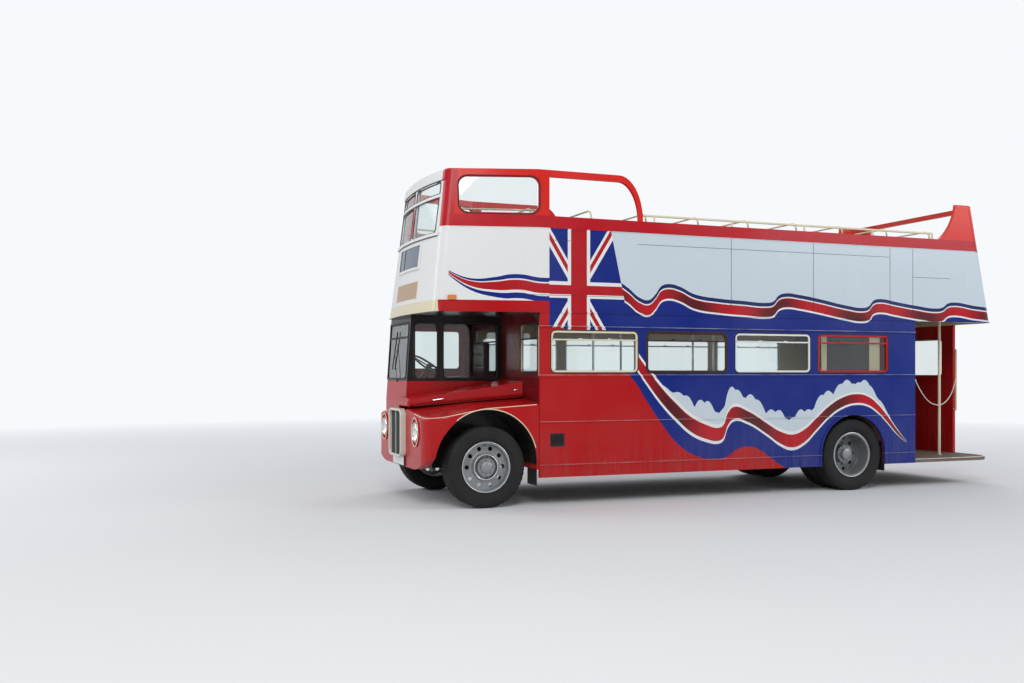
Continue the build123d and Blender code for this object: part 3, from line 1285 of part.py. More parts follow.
with BuildPart(mode=Mode.PRIVATE) as front_glass:
    add(upper_ring(VALANCE_TOP_Z, FRAME_TOP_Z, GLASS_INSET, GLASS_INSET + PANE))
    front_prism(front_windows(FIT), split_x(FRAME_TOP_Z), NOSE_X, Mode.INTERSECT)

with BuildPart(mode=Mode.PRIVATE) as bay_glass:
    add(upper_ring(BAND_TOP_Z, FRAME_TOP_Z, GLASS_INSET, GLASS_INSET + PANE))
    side_prism(bay_window(FIT), -HALF_WIDTH, HALF_WIDTH, Mode.INTERSECT)

with BuildPart() as window_glass:
    side_prism(lower_windows(FIT), PANE_Y - PANE / 2, PANE_Y + PANE / 2)
    side_prism(lower_windows(FIT), -PANE_Y - PANE / 2, -PANE_Y + PANE / 2)
    front_prism(bulkhead_windows(FIT), SALOON_FRONT_X + 20, SALOON_FRONT_X + 20 + PANE)
    front_prism(rear_window(FIT), REAR_FACE_X + 20, REAR_FACE_X + 20 + PANE)
    for rear_x, front_x in CAB_NEAR_WINDOWS:
        with BuildSketch(Plane.XZ.offset(-(CAB_NEAR_Y - CAB_WALL / 2))) as cab_pane:
            with Locations(((rear_x + front_x) / 2, (CAB_WINDOW_SILL_Z + CAB_WINDOW_HEAD_Z) / 2)):
                RectangleRounded(
                    front_x - rear_x - 2 * FIT,
                    CAB_WINDOW_HEAD_Z - CAB_WINDOW_SILL_Z - 2 * FIT,
                    CAB_WINDOW_R,
                )
        extrude(amount=PANE)
    add(windscreen_glass.part)
    add(front_glass.part)
    add(bay_glass.part)
window_glass.part.label = "window_glass"
export_step(window_glass.part, "parts/window_glass.step")

# Seats: double seats in rows, as separate cushions and backs on their frames
SEAT_WIDTH = 860
SEAT_WALL_GAP = 18
CUSHION_DEPTH = 430
CUSHION_THICK = 95
CUSHION_TOP = 440
BACK_THICK = 62
BACK_GAP = 12
BACK_BASE = 455
BACK_TOP = 890
FRAME_PLATE = 20
FRAME_LEG = 32
GRAB_R = 13
SEAT_PITCH = 735
BENCH_REAR_X = -2640
BENCH_FRONT_X = -1180
BENCH_DEPTH = 430

# Columns: place of the front row, rows, side of the aisle, shift towards the aisle
LOWER_ROWS = ((2180, 4, 1, 0), (2180, 4, -1, 0))
UPPER_ROWS = ((3330, 1, 1, 110), (3330, 1, -1, 110), (2595, 8, 1, 0), (2595, 7, -1, 0))
# Poles stand on these seats' aisle ends, first on the far side and then on the near side
POLE_SEATS_X = ((1445, -25), (2180, 710))
POLE_INSET = 34
SEAT_POLE_R = 15


def seat_places(rows):
    """Front edge of each cushion, with the low and high sides across the body."""
    for front_x, count, side, shift in rows:
        outer = side * (BODY_INNER_Y - SEAT_WALL_GAP - shift)
        low_y, high_y = sorted((outer, outer - side * SEAT_WIDTH))
        for i in range(count):
            yield front_x - i * SEAT_PITCH, low_y, high_y


for deck, rows, floor_z in (("lower", LOWER_ROWS, FLOOR_TOP_Z), ("upper", UPPER_ROWS, UPPER_FLOOR_TOP_Z)):
    with BuildPart() as seat_pads:
        for x, low_y, high_y in seat_places(rows):
            slab(
                (x - CUSHION_DEPTH, x),
                (low_y, high_y),
                (floor_z + CUSHION_TOP - CUSHION_THICK, floor_z + CUSHION_TOP),
            )
            back_x = x - CUSHION_DEPTH - BACK_GAP
            slab((back_x - BACK_THICK, back_x), (low_y, high_y), (floor_z + BACK_BASE, floor_z + BACK_TOP))
        if deck == "lower":
            for side in (-1, 1):
                wall_y = side * (BODY_INNER_Y - SEAT_WALL_GAP)
                low_y, high_y = sorted((wall_y - side * (BACK_THICK + BACK_GAP), wall_y - side * BENCH_DEPTH))
                base_z = REAR_ARCH_TOP_Z + WHEELBOX_GAP + WHEELBOX_WALL + FIT + FRAME_PLATE
                slab((BENCH_REAR_X, BENCH_FRONT_X), (low_y, high_y), (base_z, base_z + CUSHION_THICK))
                back_y = side * (BODY_INNER_Y - FIT)
                low_y, high_y = sorted((back_y, back_y - side * BACK_THICK))
                slab(
                    (BENCH_REAR_X, BENCH_FRONT_X),
                    (low_y, high_y),
                    (base_z + CUSHION_THICK + 15, base_z + CUSHION_THICK + 400),
                )
    seat_pads.part.label = f"{deck}_seat_pads"
    export_step(seat_pads.part, f"parts/{deck}_seat_pads.step")

    with BuildPart() as seat_frames:
        for x, low_y, high_y in seat_places(rows):
            plate_top = floor_z + CUSHION_TOP - CUSHION_THICK - FIT
            slab((x - CUSHION_DEPTH, x - 20), (low_y, high_y), (plate_top - FRAME_PLATE, plate_top))
            for leg_y in (low_y + 60, high_y - 60 - FRAME_LEG):
                slab(
                    (x - CUSHION_DEPTH / 2 - 40, x - CUSHION_DEPTH / 2 + 40),
                    (leg_y, leg_y + FRAME_LEG),
                    (floor_z, plate_top - FRAME_PLATE / 2),
                )
            board_x = x - CUSHION_DEPTH - BACK_GAP - BACK_THICK - FIT
            slab((board_x - 16, board_x), (low_y, high_y), (plate_top - FRAME_PLATE, floor_z + BACK_TOP - 20))
            slab(
                (board_x - 16, x - CUSHION_DEPTH + 1),
                (low_y, high_y),
                (plate_top - FRAME_PLATE, plate_top),
            )
            rod(
                (board_x - GRAB_R - 1, low_y + 10, floor_z + BACK_TOP - 20),
                (board_x - GRAB_R - 1, high_y - 10, floor_z + BACK_TOP - 20),
                GRAB_R,
            )
            pole_y = high_y - POLE_INSET if high_y < 0 else low_y + POLE_INSET
            if deck == "lower" and x in POLE_SEATS_X[high_y > 0]:
                pole_x = board_x - SEAT_POLE_R - 2
                rod((pole_x, pole_y, floor_z + BACK_TOP - 20), (pole_x, pole_y, CEILING_Z), SEAT_POLE_R)
        if deck == "lower":
            for side in (-1, 1):
                wall_y = side * (BODY_INNER_Y - SEAT_WALL_GAP)
                low_y, high_y = sorted((wall_y, wall_y - side * BENCH_DEPTH))
                base_z = REAR_ARCH_TOP_Z + WHEELBOX_GAP + WHEELBOX_WALL + FIT
                slab((BENCH_REAR_X, BENCH_FRONT_X), (low_y, high_y), (base_z, base_z + FRAME_PLATE - FIT))
                inner_y = wall_y - side * BENCH_DEPTH
                low_y, high_y = sorted((inner_y, inner_y + side * FRAME_LEG))
                slab((BENCH_REAR_X, BENCH_REAR_X + 300), (low_y, high_y), (FLOOR_TOP_Z, base_z + FRAME_PLATE / 2))
    seat_frames.part.label = f"{deck}_seat_frames"
    export_step(seat_frames.part, f"parts/{deck}_seat_frames.step")

# Marker lamps: amber repeaters near the front corners and red lamps on the rear wall
MARKER_LENGTH = 100
MARKER_HEIGHT = 50
MARKER_DEPTH = 22
MARKER_X = 3790
MARKER_Z = VALANCE_TOP_Z + 4 + MARKER_HEIGHT / 2
TAIL_LAMP_R = 48
TAIL_LAMP_Z = 960
TAIL_LAMPS_Y = (-960, 380)

with BuildSketch(Plane.XZ) as marker_outline:
    with Locations((MARKER_X, MARKER_Z)):
        RectangleRounded(MARKER_LENGTH, MARKER_HEIGHT, 14)

with BuildPart(mode=Mode.PRIVATE) as side_markers:
    add(upper_ring(UPPER_BASE_Z, BAND_TOP_Z, -MARKER_DEPTH, 0))
    side_prism(marker_outline.sketch, -HALF_WIDTH, HALF_WIDTH, Mode.INTERSECT)

with BuildPart() as marker_lamps:
    add(side_markers.part)
    for y in TAIL_LAMPS_Y:
        rod((REAR_FACE_X, y, TAIL_LAMP_Z), (TAIL_X, y, TAIL_LAMP_Z), TAIL_LAMP_R)
marker_lamps.part.label = "marker_lamps"
export_step(marker_lamps.part, "parts/marker_lamps.step")

# Mudflaps behind the front and the rear wheels
FLAP_THICK = 8
FRONT_FLAP_Y = (880, 1160)
REAR_FLAP_Y = (610, 1165)
FLAP_BASE_Z = 240

with BuildPart() as mudflaps:
    for side in (-1, 1):
        low_y, high_y = sorted(side * y for y in FRONT_FLAP_Y)
        slab((WING_REAR_X + 12, WING_REAR_X + 12 + FLAP_THICK), (low_y, high_y), (FLAP_BASE_Z, WING_BASE_Z))
        low_y, high_y = sorted(side * y for y in REAR_FLAP_Y)
        flap_x = REAR_ARCH_X - BOX_R - 2 * WHEELBOX_WALL
        slab((flap_x, flap_x + FLAP_THICK), (low_y, high_y), (FLAP_BASE_Z, RAIL_TOP_Z))
mudflaps.part.label = "mudflaps"
export_step(mudflaps.part, "parts/mudflaps.step")

# Destination box: a framed blank panel on the upper front
DESTINATION_PROUD = 18
DESTINATION_RECESS = 10
DESTINATION_FRAME = 30

with BuildPart() as destination_box:
    add(upper_ring(VALANCE_TOP_Z, FRAME_TOP_Z, -DESTINATION_PROUD, 0))
    slab(
        (FRONT_CORNER_X - 300, NOSE_X),
        (-DESTINATION_HALF_WIDTH, DESTINATION_HALF_WIDTH),
        (DESTINATION_BASE_Z, DESTINATION_TOP_Z),
        Mode.INTERSECT,
    )
    with BuildPart(mode=Mode.PRIVATE) as destination_recess:
        add(upper_ring(VALANCE_TOP_Z, FRAME_TOP_Z, -2 * DESTINATION_PROUD, DESTINATION_RECESS - DESTINATION_PROUD))
        slab(
            (FRONT_CORNER_X - 300, NOSE_X),
            (DESTINATION_FRAME - DESTINATION_HALF_WIDTH, DESTINATION_HALF_WIDTH - DESTINATION_FRAME),
            (DESTINATION_BASE_Z + DESTINATION_FRAME, DESTINATION_TOP_Z - DESTINATION_FRAME),
            Mode.INTERSECT,
        )
    add(destination_recess.part, mode=Mode.SUBTRACT)
destination_box.part.label = "destination_box"
export_step(destination_box.part, "parts/destination_box.step")

# Barrier rope across the platform: an eye at each end and a rope that hangs past the pole
ROPE_D = 14
NEAR_EYE = (-2766, 1196, 1455)
EYE_R = 16
NEAR_STEM_R = 8
REAR_EYE = (-4132, 537, 1455)
ROPE_PATH = [
    (-2777.2, 1190.7, 1444.9),
    (-2906, 1130, 1328),
    (-3058, 1056, 1219),
    (-3228, 975, 1140),
    (-3400, 892, 1104),
    (-3560, 826, 1096),
    (-3724, 752, 1130),
    (-3880, 676, 1208),
    (-4022, 600, 1316),
    (-4122.6, 542.4, 1443.2),
]

with BuildPart() as rope_eyes:
    rod((DOORWAY_FRONT_X, NEAR_EYE[1], NEAR_EYE[2]), NEAR_EYE, NEAR_STEM_R)
    with Locations(NEAR_EYE, REAR_EYE):
        Sphere(EYE_R)
    with Locations((GRAB_RAIL_X, GRAB_RAIL_Y, REAR_EYE[2])):
        Cylinder(GRAB_RAIL_R, 4 * EYE_R, mode=Mode.SUBTRACT)
rope_eyes.part.label = "rope_eyes"
export_step(rope_eyes.part, "parts/rope_eyes.step")

corner_radii = []
for before, corner, after in zip(ROPE_PATH, ROPE_PATH[1:], ROPE_PATH[2:]):
    first = Vector(*corner) - Vector(*before)
    second = Vector(*after) - Vector(*corner)
    turn = radians(first.get_angle(second))
    corner_radii.append(0.45 * min(first.length, second.length) / tan(turn / 2))
print("rope radii", [round(radius) for radius in corner_radii])

with BuildPart() as barrier_rope:
    with BuildLine() as rope_line:
        FilletPolyline(*ROPE_PATH, radius=corner_radii)
    start = rope_line.line @ 0
    with BuildSketch(Plane(origin=start, z_dir=rope_line.line % 0)):
        Circle(ROPE_D / 2)
    sweep()
rope_length = sum(edge.length for edge in rope_line.edges())
rope_share = barrier_rope.part.volume / (rope_length * pi * ROPE_D ** 2 / 4)
print("rope length", round(rope_length), "volume share", round(rope_share, 4))
barrier_rope.part.label = "barrier_rope"
export_step(barrier_rope.part, "parts/barrier_rope.step")

# Steering knuckles: the upright on the kingpin axis, the stub axle and the steering arm
STUB_TIP_Y = 1068
STEER_ARM_X = 190
STEER_ARM_SIZE = 30

for name, side in (("near", 1), ("far", -1)):
    with BuildPart() as knuckle:
        y = side * KINGPIN_Y
        rod((FRONT_AXLE_X, y, TYRE_R - UPRIGHT_HALF), (FRONT_AXLE_X, y, TYRE_R + UPRIGHT_HALF), UPRIGHT_R)
        rod((FRONT_AXLE_X, y, TYRE_R), (FRONT_AXLE_X, side * STUB_TIP_Y, TYRE_R), STUB_R)
        low_y, high_y = sorted((side * (KINGPIN_Y - 60), side * (KINGPIN_Y - 60 + STEER_ARM_SIZE)))
        slab(
            (FRONT_AXLE_X - STEER_ARM_X, FRONT_AXLE_X),
            (low_y, high_y),
            (TYRE_R - STEER_ARM_SIZE, TYRE_R),
        )
        low_y, high_y = sorted((side * (KINGPIN_Y - 60), side * KINGPIN_Y))
        slab((FRONT_AXLE_X - STEER_ARM_SIZE, FRONT_AXLE_X), (low_y, high_y), (TYRE_R - STEER_ARM_SIZE, TYRE_R))
    knuckle.part.label = f"knuckle_{name}"
    export_step(knuckle.part, f"parts/knuckle_{name}.step")


def tyre_profile(middle_y):
    """Half section of a tyre on the wheel axis: tread, shoulders, bulged walls and beads."""
    half_tread = TREAD_WIDTH / 2
    half_width = TYRE_WIDTH / 2
    bead = RIM_WIDTH / 2 - BEAD_FLANGE - FIT
    bead_r = FLANGE_R - 4
    shoulder_r = TYRE_R - 22
    wall_r = (TYRE_R + RIM_R) / 2
    with BuildSketch(Plane(origin=(0, 0, TYRE_R), x_dir=(0, 1, 0), z_dir=(1, 0, 0))) as profile:
        with BuildLine():
            Line((middle_y - half_tread, TYRE_R), (middle_y + half_tread, TYRE_R))
            ThreePointArc(
                (middle_y + half_tread, TYRE_R),
                (middle_y + half_tread + 16, TYRE_R - 7),
                (middle_y + half_width - 8, shoulder_r),
            )
            ThreePointArc(
                (middle_y + half_width - 8, shoulder_r),
                (middle_y + half_width, wall_r),
                (middle_y + bead, bead_r),
            )
            Line((middle_y + bead, bead_r), (middle_y + bead, RIM_R + FIT))
            Line((middle_y + bead, RIM_R + FIT), (middle_y - bead, RIM_R + FIT))
            Line((middle_y - bead, RIM_R + FIT), (middle_y - bead, bead_r))
            ThreePointArc(
                (middle_y - bead, bead_r),
                (middle_y - half_width, wall_r),
                (middle_y - half_width + 8, shoulder_r),
            )
            ThreePointArc(
                (middle_y - half_width + 8, shoulder_r),
                (middle_y - half_tread - 16, TYRE_R - 7),
                (middle_y - half_tread, TYRE_R),
            )
        make_face()
    return profile.sketch


def wheel_ring(x, middle_y, low, high, inner_r, outer_r, mode=Mode.ADD):
    """Add or cut a plain ring about the wheel axis, between two places across the wheel."""
    with BuildSketch(Plane(origin=(x, middle_y + low, TYRE_R), x_dir=(1, 0, 0), z_dir=(0, 1, 0))) as ring:
        Circle(outer_r)
        if inner_r:
            Circle(inner_r, mode=Mode.SUBTRACT)
    extrude(ring.sketch, amount=high - low, mode=mode)


def rim_barrel(x, middle_y):
    """Add a rim barrel with a bead flange at each edge, about the wheel axis."""
    half = RIM_WIDTH / 2
    wheel_ring(x, middle_y, -half, half, RIM_R - RIM_WALL, RIM_R)
    for low, high in ((-half - 4, -half + BEAD_FLANGE), (half - BEAD_FLANGE, half + 4)):
        wheel_ring(x, middle_y, low, high, RIM_R - RIM_WALL, FLANGE_R - 6)


def hand_holes(x, y, radius, ring_r, count):
    """Cut a ring of round holes through a wheel disc."""
    plane = Plane(origin=(x, y, TYRE_R), x_dir=(1, 0, 0), z_dir=(0, 1, 0))
    with BuildSketch(plane) as holes:
        with PolarLocations(ring_r, count):
            Circle(radius)
    extrude(holes.sketch, amount=60, both=True, mode=Mode.SUBTRACT)


# Front wheels: tyre, and a rim whose disc stands near the outer face round a capped hub
FRONT_DISC_IN = 40
FRONT_HUB_R = 105
FRONT_CAP_R = 68
GUARD_RING_R = 150
HAND_HOLE_R = 26
HAND_HOLE_RING_R = 218

for name, side in (("near", 1), ("far", -1)):
    with BuildPart() as tyre:
        revolve(
            tyre_profile(side * FRONT_TRACK_Y).moved(Location((FRONT_AXLE_X, 0, 0))),
            axis=Axis((FRONT_AXLE_X, 0, TYRE_R), (0, 1, 0)),
        )
    tyre.part.label = f"front_tyre_{name}"
    export_step(tyre.part, f"parts/front_tyre_{name}.step")

    with BuildPart() as rim:
        middle = side * FRONT_TRACK_Y
        rim_barrel(FRONT_AXLE_X, middle)
        disc = sorted((side * FRONT_DISC_IN, side * (FRONT_DISC_IN + DISC_THICK)))
        wheel_ring(FRONT_AXLE_X, middle, disc[0], disc[1], 0, RIM_R - RIM_WALL / 2)
        hand_holes(FRONT_AXLE_X, middle + disc[0], HAND_HOLE_R, HAND_HOLE_RING_R, HAND_HOLES)
        hub = sorted((side * -62, side * 108))
        wheel_ring(FRONT_AXLE_X, middle, hub[0], hub[1], 0, FRONT_HUB_R)
        cap = sorted((side * 108, side * 126))
        wheel_ring(FRONT_AXLE_X, middle, cap[0], cap[1], 0, FRONT_CAP_R)
        guard = sorted((side * FRONT_DISC_IN, side * 96))
        wheel_ring(FRONT_AXLE_X, middle, guard[0], guard[1], GUARD_RING_R - 12, GUARD_RING_R)
        bore = sorted((side * -63, side * (STUB_TIP_Y - FRONT_TRACK_Y + 3)))
        wheel_ring(FRONT_AXLE_X, middle, bore[0], bore[1], 0, STUB_R + HUB_CLEARANCE, Mode.SUBTRACT)
    rim.part.label = f"front_rim_{name}"
    export_step(rim.part, f"parts/front_rim_{name}.step")

# Rear twin wheels: two tyres on two rims whose discs meet at the middle, round one hub
REAR_HUB_R = 118
REAR_CAP_R = 74
TWIN_MIDDLE_Y = (REAR_OUTER_Y + REAR_INNER_Y) / 2

for name, side in (("near", 1), ("far", -1)):
    with BuildPart() as tyres:
        for y in (REAR_OUTER_Y, REAR_INNER_Y):
            revolve(
                tyre_profile(side * y).moved(Location((REAR_AXLE_X, 0, 0))),
                axis=Axis((REAR_AXLE_X, 0, TYRE_R), (0, 1, 0)),
            )
    tyres.part.label = f"rear_tyres_{name}"
    export_step(tyres.part, f"parts/rear_tyres_{name}.step")

    with BuildPart() as rims:
        rim_barrel(REAR_AXLE_X, side * REAR_OUTER_Y)
        rim_barrel(REAR_AXLE_X, side * REAR_INNER_Y)
        middle = side * TWIN_MIDDLE_Y
        reach = (TWIN_SPACING - RIM_WIDTH) / 2 + 5
        wheel_ring(REAR_AXLE_X, middle, -reach, reach, RIM_R - 1.5 * RIM_WALL, RIM_R - RIM_WALL / 2)
        wheel_ring(REAR_AXLE_X, middle, -DISC_THICK, DISC_THICK, 0, RIM_R - RIM_WALL)
        hand_holes(REAR_AXLE_X, middle, HAND_HOLE_R, HAND_HOLE_RING_R, HAND_HOLES)
        hub = sorted((side * -70, side * 130))
        wheel_ring(REAR_AXLE_X, middle, hub[0], hub[1], 0, REAR_HUB_R)
        cap = sorted((side * 130, side * 172))
        wheel_ring(REAR_AXLE_X, middle, cap[0], cap[1], 0, REAR_CAP_R)
        bore = sorted((side * -71, side * (REAR_OUTER_Y - 60 - TWIN_MIDDLE_Y + 3)))
        wheel_ring(REAR_AXLE_X, middle, bore[0], bore[1], 0, AXLE_TUBE_R + HUB_CLEARANCE, Mode.SUBTRACT)
    rims.part.label = f"rear_rims_{name}"
    export_step(rims.part, f"parts/rear_rims_{name}.step")
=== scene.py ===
"""Looks of an open top double deck bus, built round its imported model.

Metres throughout. +X is forward, +Y is the nearside (kerb side), +Z is up, with the ground at 0.
"""

import logging
import math
from dataclasses import dataclass
from enum import Enum
from functools import cached_property
from typing import Callable, Iterable, Optional, Sequence, Union

import bmesh
import bpy
import numpy as np
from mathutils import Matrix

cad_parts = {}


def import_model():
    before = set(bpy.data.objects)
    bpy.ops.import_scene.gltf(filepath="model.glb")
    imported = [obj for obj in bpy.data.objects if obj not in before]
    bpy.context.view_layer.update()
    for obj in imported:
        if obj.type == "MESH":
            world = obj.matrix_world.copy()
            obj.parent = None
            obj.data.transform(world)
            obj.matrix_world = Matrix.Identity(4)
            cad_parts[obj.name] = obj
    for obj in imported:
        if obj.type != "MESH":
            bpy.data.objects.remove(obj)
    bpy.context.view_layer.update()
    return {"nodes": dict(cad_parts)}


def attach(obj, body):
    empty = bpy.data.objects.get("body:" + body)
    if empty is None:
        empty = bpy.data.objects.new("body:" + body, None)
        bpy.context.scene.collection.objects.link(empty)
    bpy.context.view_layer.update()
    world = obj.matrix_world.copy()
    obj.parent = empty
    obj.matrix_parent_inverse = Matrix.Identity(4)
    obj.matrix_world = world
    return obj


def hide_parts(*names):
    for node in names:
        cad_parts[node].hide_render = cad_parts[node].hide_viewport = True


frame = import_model()
LOG = logging.getLogger("bus")

Colour = tuple[float, float, float]
Point = tuple[float, float, float]
Pair = tuple[float, float]
Points = Union[np.ndarray, Sequence[float], Sequence[Sequence[float]]]

# Body sizes shared by the classes, the same as the CAD's
HALF_WIDTH = 1.219
UPPER_BASE_Z = 2.255
BAND_FOOT_Z = 3.244
BAND_TOP_Z = 3.385
BULKHEAD_X = 2.770
REAR_CORNER_X = -3.975
CORNER_R = 0.200
INNER_R = 0.178
WINDOW_MIDDLES = (2.058, 0.800, -0.458, -1.716)
WINDOW_HALF = (0.568, 0.245)
WINDOW_Z = 1.805
WINDOW_CORNER = 0.060
FRONT_AXLE_X = 3.391
REAR_AXLE_X = -1.740
TYRE_R = 0.470
ARCH_X, ARCH_Z = 3.405, 0.530
TAPER_X = 2.790
# Slope of the taper's plan at the base, and its growth with each metre of height
TAPER_SLOPE, TAPER_SLOPE_RISE = 0.1498, 0.0923
FRONT_CORNER = (3.985, 1.040)
FRONT_LEAN = math.tan(math.radians(6.7))
FRONT_TUMBLE = math.tan(math.radians(4.6))
REAR_LEAN = math.tan(math.radians(12.0))
FRONT_BULGE = 0.095
GRILLE_X = 4.121
REAR_X = -4.191
PLATFORM_Z = 0.378
LOWER_FLOOR_Z = 0.680
UPPER_FLOOR_Z = 2.470
DADO_Z = 1.520
CAB_BASE_Z, CAB_SILL_Z, CAB_HEAD_Z = 1.215, 1.480, 2.180
CAB_CORNER_Y = -0.989
CAB_Y = -0.640
UP = (0.0, 0.0, 1.0)
FORWARD = (1.0, 0.0, 0.0)
SIDES = ((1, "near"), (-1, "far"))
# Directions of a pad's depth, width and thickness, as a seat and as a back
LYING = (FORWARD, (0.0, 1.0, 0.0), UP)
STANDING = (UP, (0.0, 1.0, 0.0), FORWARD)


def front_corner(z: np.ndarray) -> tuple[np.ndarray, np.ndarray]:
    """Place (x, y) of the upper body's front corner, which leans back and inwards with height."""
    rise = np.asarray(z, float) - UPPER_BASE_Z
    return FRONT_CORNER[0] - rise * FRONT_LEAN, FRONT_CORNER[1] - rise * FRONT_TUMBLE


def skin_y(x: np.ndarray, z: np.ndarray) -> np.ndarray:
    """Half width of the upper body: flat back to the taper, then a straight line to the front corner."""
    corner_x, corner_y = front_corner(z)
    share = np.clip((np.asarray(x, float) - TAPER_X) / (corner_x - TAPER_X), 0.0, None)
    return HALF_WIDTH + share * (corner_y - HALF_WIDTH)


def nose_x(y: np.ndarray, z: np.ndarray) -> np.ndarray:
    """Place of the upper front: an arc through both leaning corners that bulges forward between them."""
    corner_x, corner_y = front_corner(z)
    radius = (corner_y**2 + FRONT_BULGE**2) / (2 * FRONT_BULGE)
    return corner_x + FRONT_BULGE - radius + np.sqrt(radius**2 - np.asarray(y, float) ** 2)


def ink(red: int, green: int, blue: int) -> Colour:
    """Turn a screen colour of 0 to 255 into the linear colour that shaders use."""
    channels = np.array((red, green, blue), float) / 255.0
    linear = np.where(channels <= 0.04045, channels / 12.92, ((channels + 0.055) / 1.055) ** 2.4)
    return tuple(float(value) for value in linear)


def shade(colour: Colour, share: float) -> Colour:
    """A colour darkened to a share of itself."""
    return tuple(share * channel for channel in colour)


class Ink(Enum):
    """Colours of the paintwork and the trim."""

    DEEP_RED = ink(180, 0, 8)
    DARK_RED = ink(104, 2, 8)
    CRIMSON = ink(186, 4, 24)
    # Painted sunlight: the band's red made lighter, as it looks in sun, for the bay frames and the fins
    SUNLIT_RED = ink(216, 30, 18)
    RIBBON_RED = ink(178, 8, 22)
    RIBBON_SHADE = ink(88, 14, 20)
    BLUE = ink(0, 33, 124)
    NAVY = ink(8, 34, 92)
    WHITE = ink(232, 232, 230)
    # White paint with painted shade and reflected sky blue in it
    PALE = ink(202, 213, 220)
    CREAM = ink(226, 216, 184)
    ROAD_DUST = ink(118, 106, 92)
    INSIDE_CREAM = ink(214, 200, 164)
    INSIDE_RED = ink(104, 12, 16)
    CAB_BLACK = ink(20, 9, 9)


def operator(operation: str) -> Callable[["Signal", object], "Signal"]:
    """A Python operator that adds one Math node."""

    def apply(self: "Signal", other: object = 0.0) -> "Signal":
        """The operation on a signal and another one, or a number."""
        return self.math(operation, other)

    return apply


class Signal:
    """An output in a node tree that is worked on like a number, where each step adds one node.

    a | b is the larger and a & b the smaller of two, and a comparison gives 1 or 0.
    """

    __add__, __sub__ = operator("ADD"), operator("SUBTRACT")
    __mul__, __truediv__ = operator("MULTIPLY"), operator("DIVIDE")
    __or__, __and__ = operator("MAXIMUM"), operator("MINIMUM")
    __gt__, __lt__ = operator("GREATER_THAN"), operator("LESS_THAN")
    __abs__ = operator("ABSOLUTE")

    def __init__(self, canvas: "Canvas", socket: bpy.types.NodeSocket) -> None:
        """Wrap an output socket of a canvas."""
        self.canvas, self.socket = canvas, socket

    def math(self, operation: str, *others: object) -> "Signal":
        """One Math node, such as POWER, SINE or PINGPONG."""
        return self.canvas.node("ShaderNodeMath", dict(enumerate((self, *others))), operation=operation)

    def span(self, low: float, high: float, to_low: float = 0.0, to_high: float = 1.0) -> "Signal":
        """The value mapped from one range to another, clamped at both ends."""
        return self.canvas.node("ShaderNodeMapRange", dict(enumerate((self, low, high, to_low, to_high))))

    def mix(self, first: object, second: object) -> "Signal":
        """The first colour where the value is 0, the second where it is 1."""
        return self.canvas.node("ShaderNodeMix", {0: self, 6: first, 7: second}, 2, data_type="RGBA")

    def radius(self, other: "Signal") -> "Signal":
        """Length of the vector that two values make."""
        return (self * self + other * other).math("SQRT")

    def stripes(self, *bands: object, reach: float = 2.0) -> "Signal":
        """Hard bands of colour by a signed distance in metres, given as colour, edge, colour and so on.

        The ramp is read in 256 steps over twice its reach.
        """
        colour = self.canvas.node("ShaderNodeValToRGB", {0: self.span(-reach, reach)})
        ramp = colour.socket.node.color_ramp
        ramp.interpolation = "CONSTANT"
        for index, (edge, band) in enumerate(zip((-reach, *bands[1::2]), bands[::2])):
            share = (edge + reach) / (2 * reach)
            stop = ramp.elements[index] if index < 1 else ramp.elements.new(share)
            stop.position = share
            stop.color = (*band.value, 1.0)
        ramp.elements.remove(ramp.elements[-1])
        return colour

    def wave(self, points: Sequence[Pair]) -> "Signal":
        """Height of a smooth curve through points (place, height), at the place that the value gives."""
        top = 4.0
        ordered = sorted(points)
        low, high = ordered[0][0], ordered[-1][0]
        height = self.canvas.node("ShaderNodeFloatCurve", {"Value": self.span(low, high)})
        mapping = height.socket.node.mapping
        curve = mapping.curves[0]
        for place_at, level in ordered[1:-1]:
            curve.points.new((place_at - low) / (high - low), level / top)
        curve.points[0].location = (0.0, ordered[0][1] / top)
        curve.points[-1].location = (1.0, ordered[-1][1] / top)
        mapping.update()
        return height * top


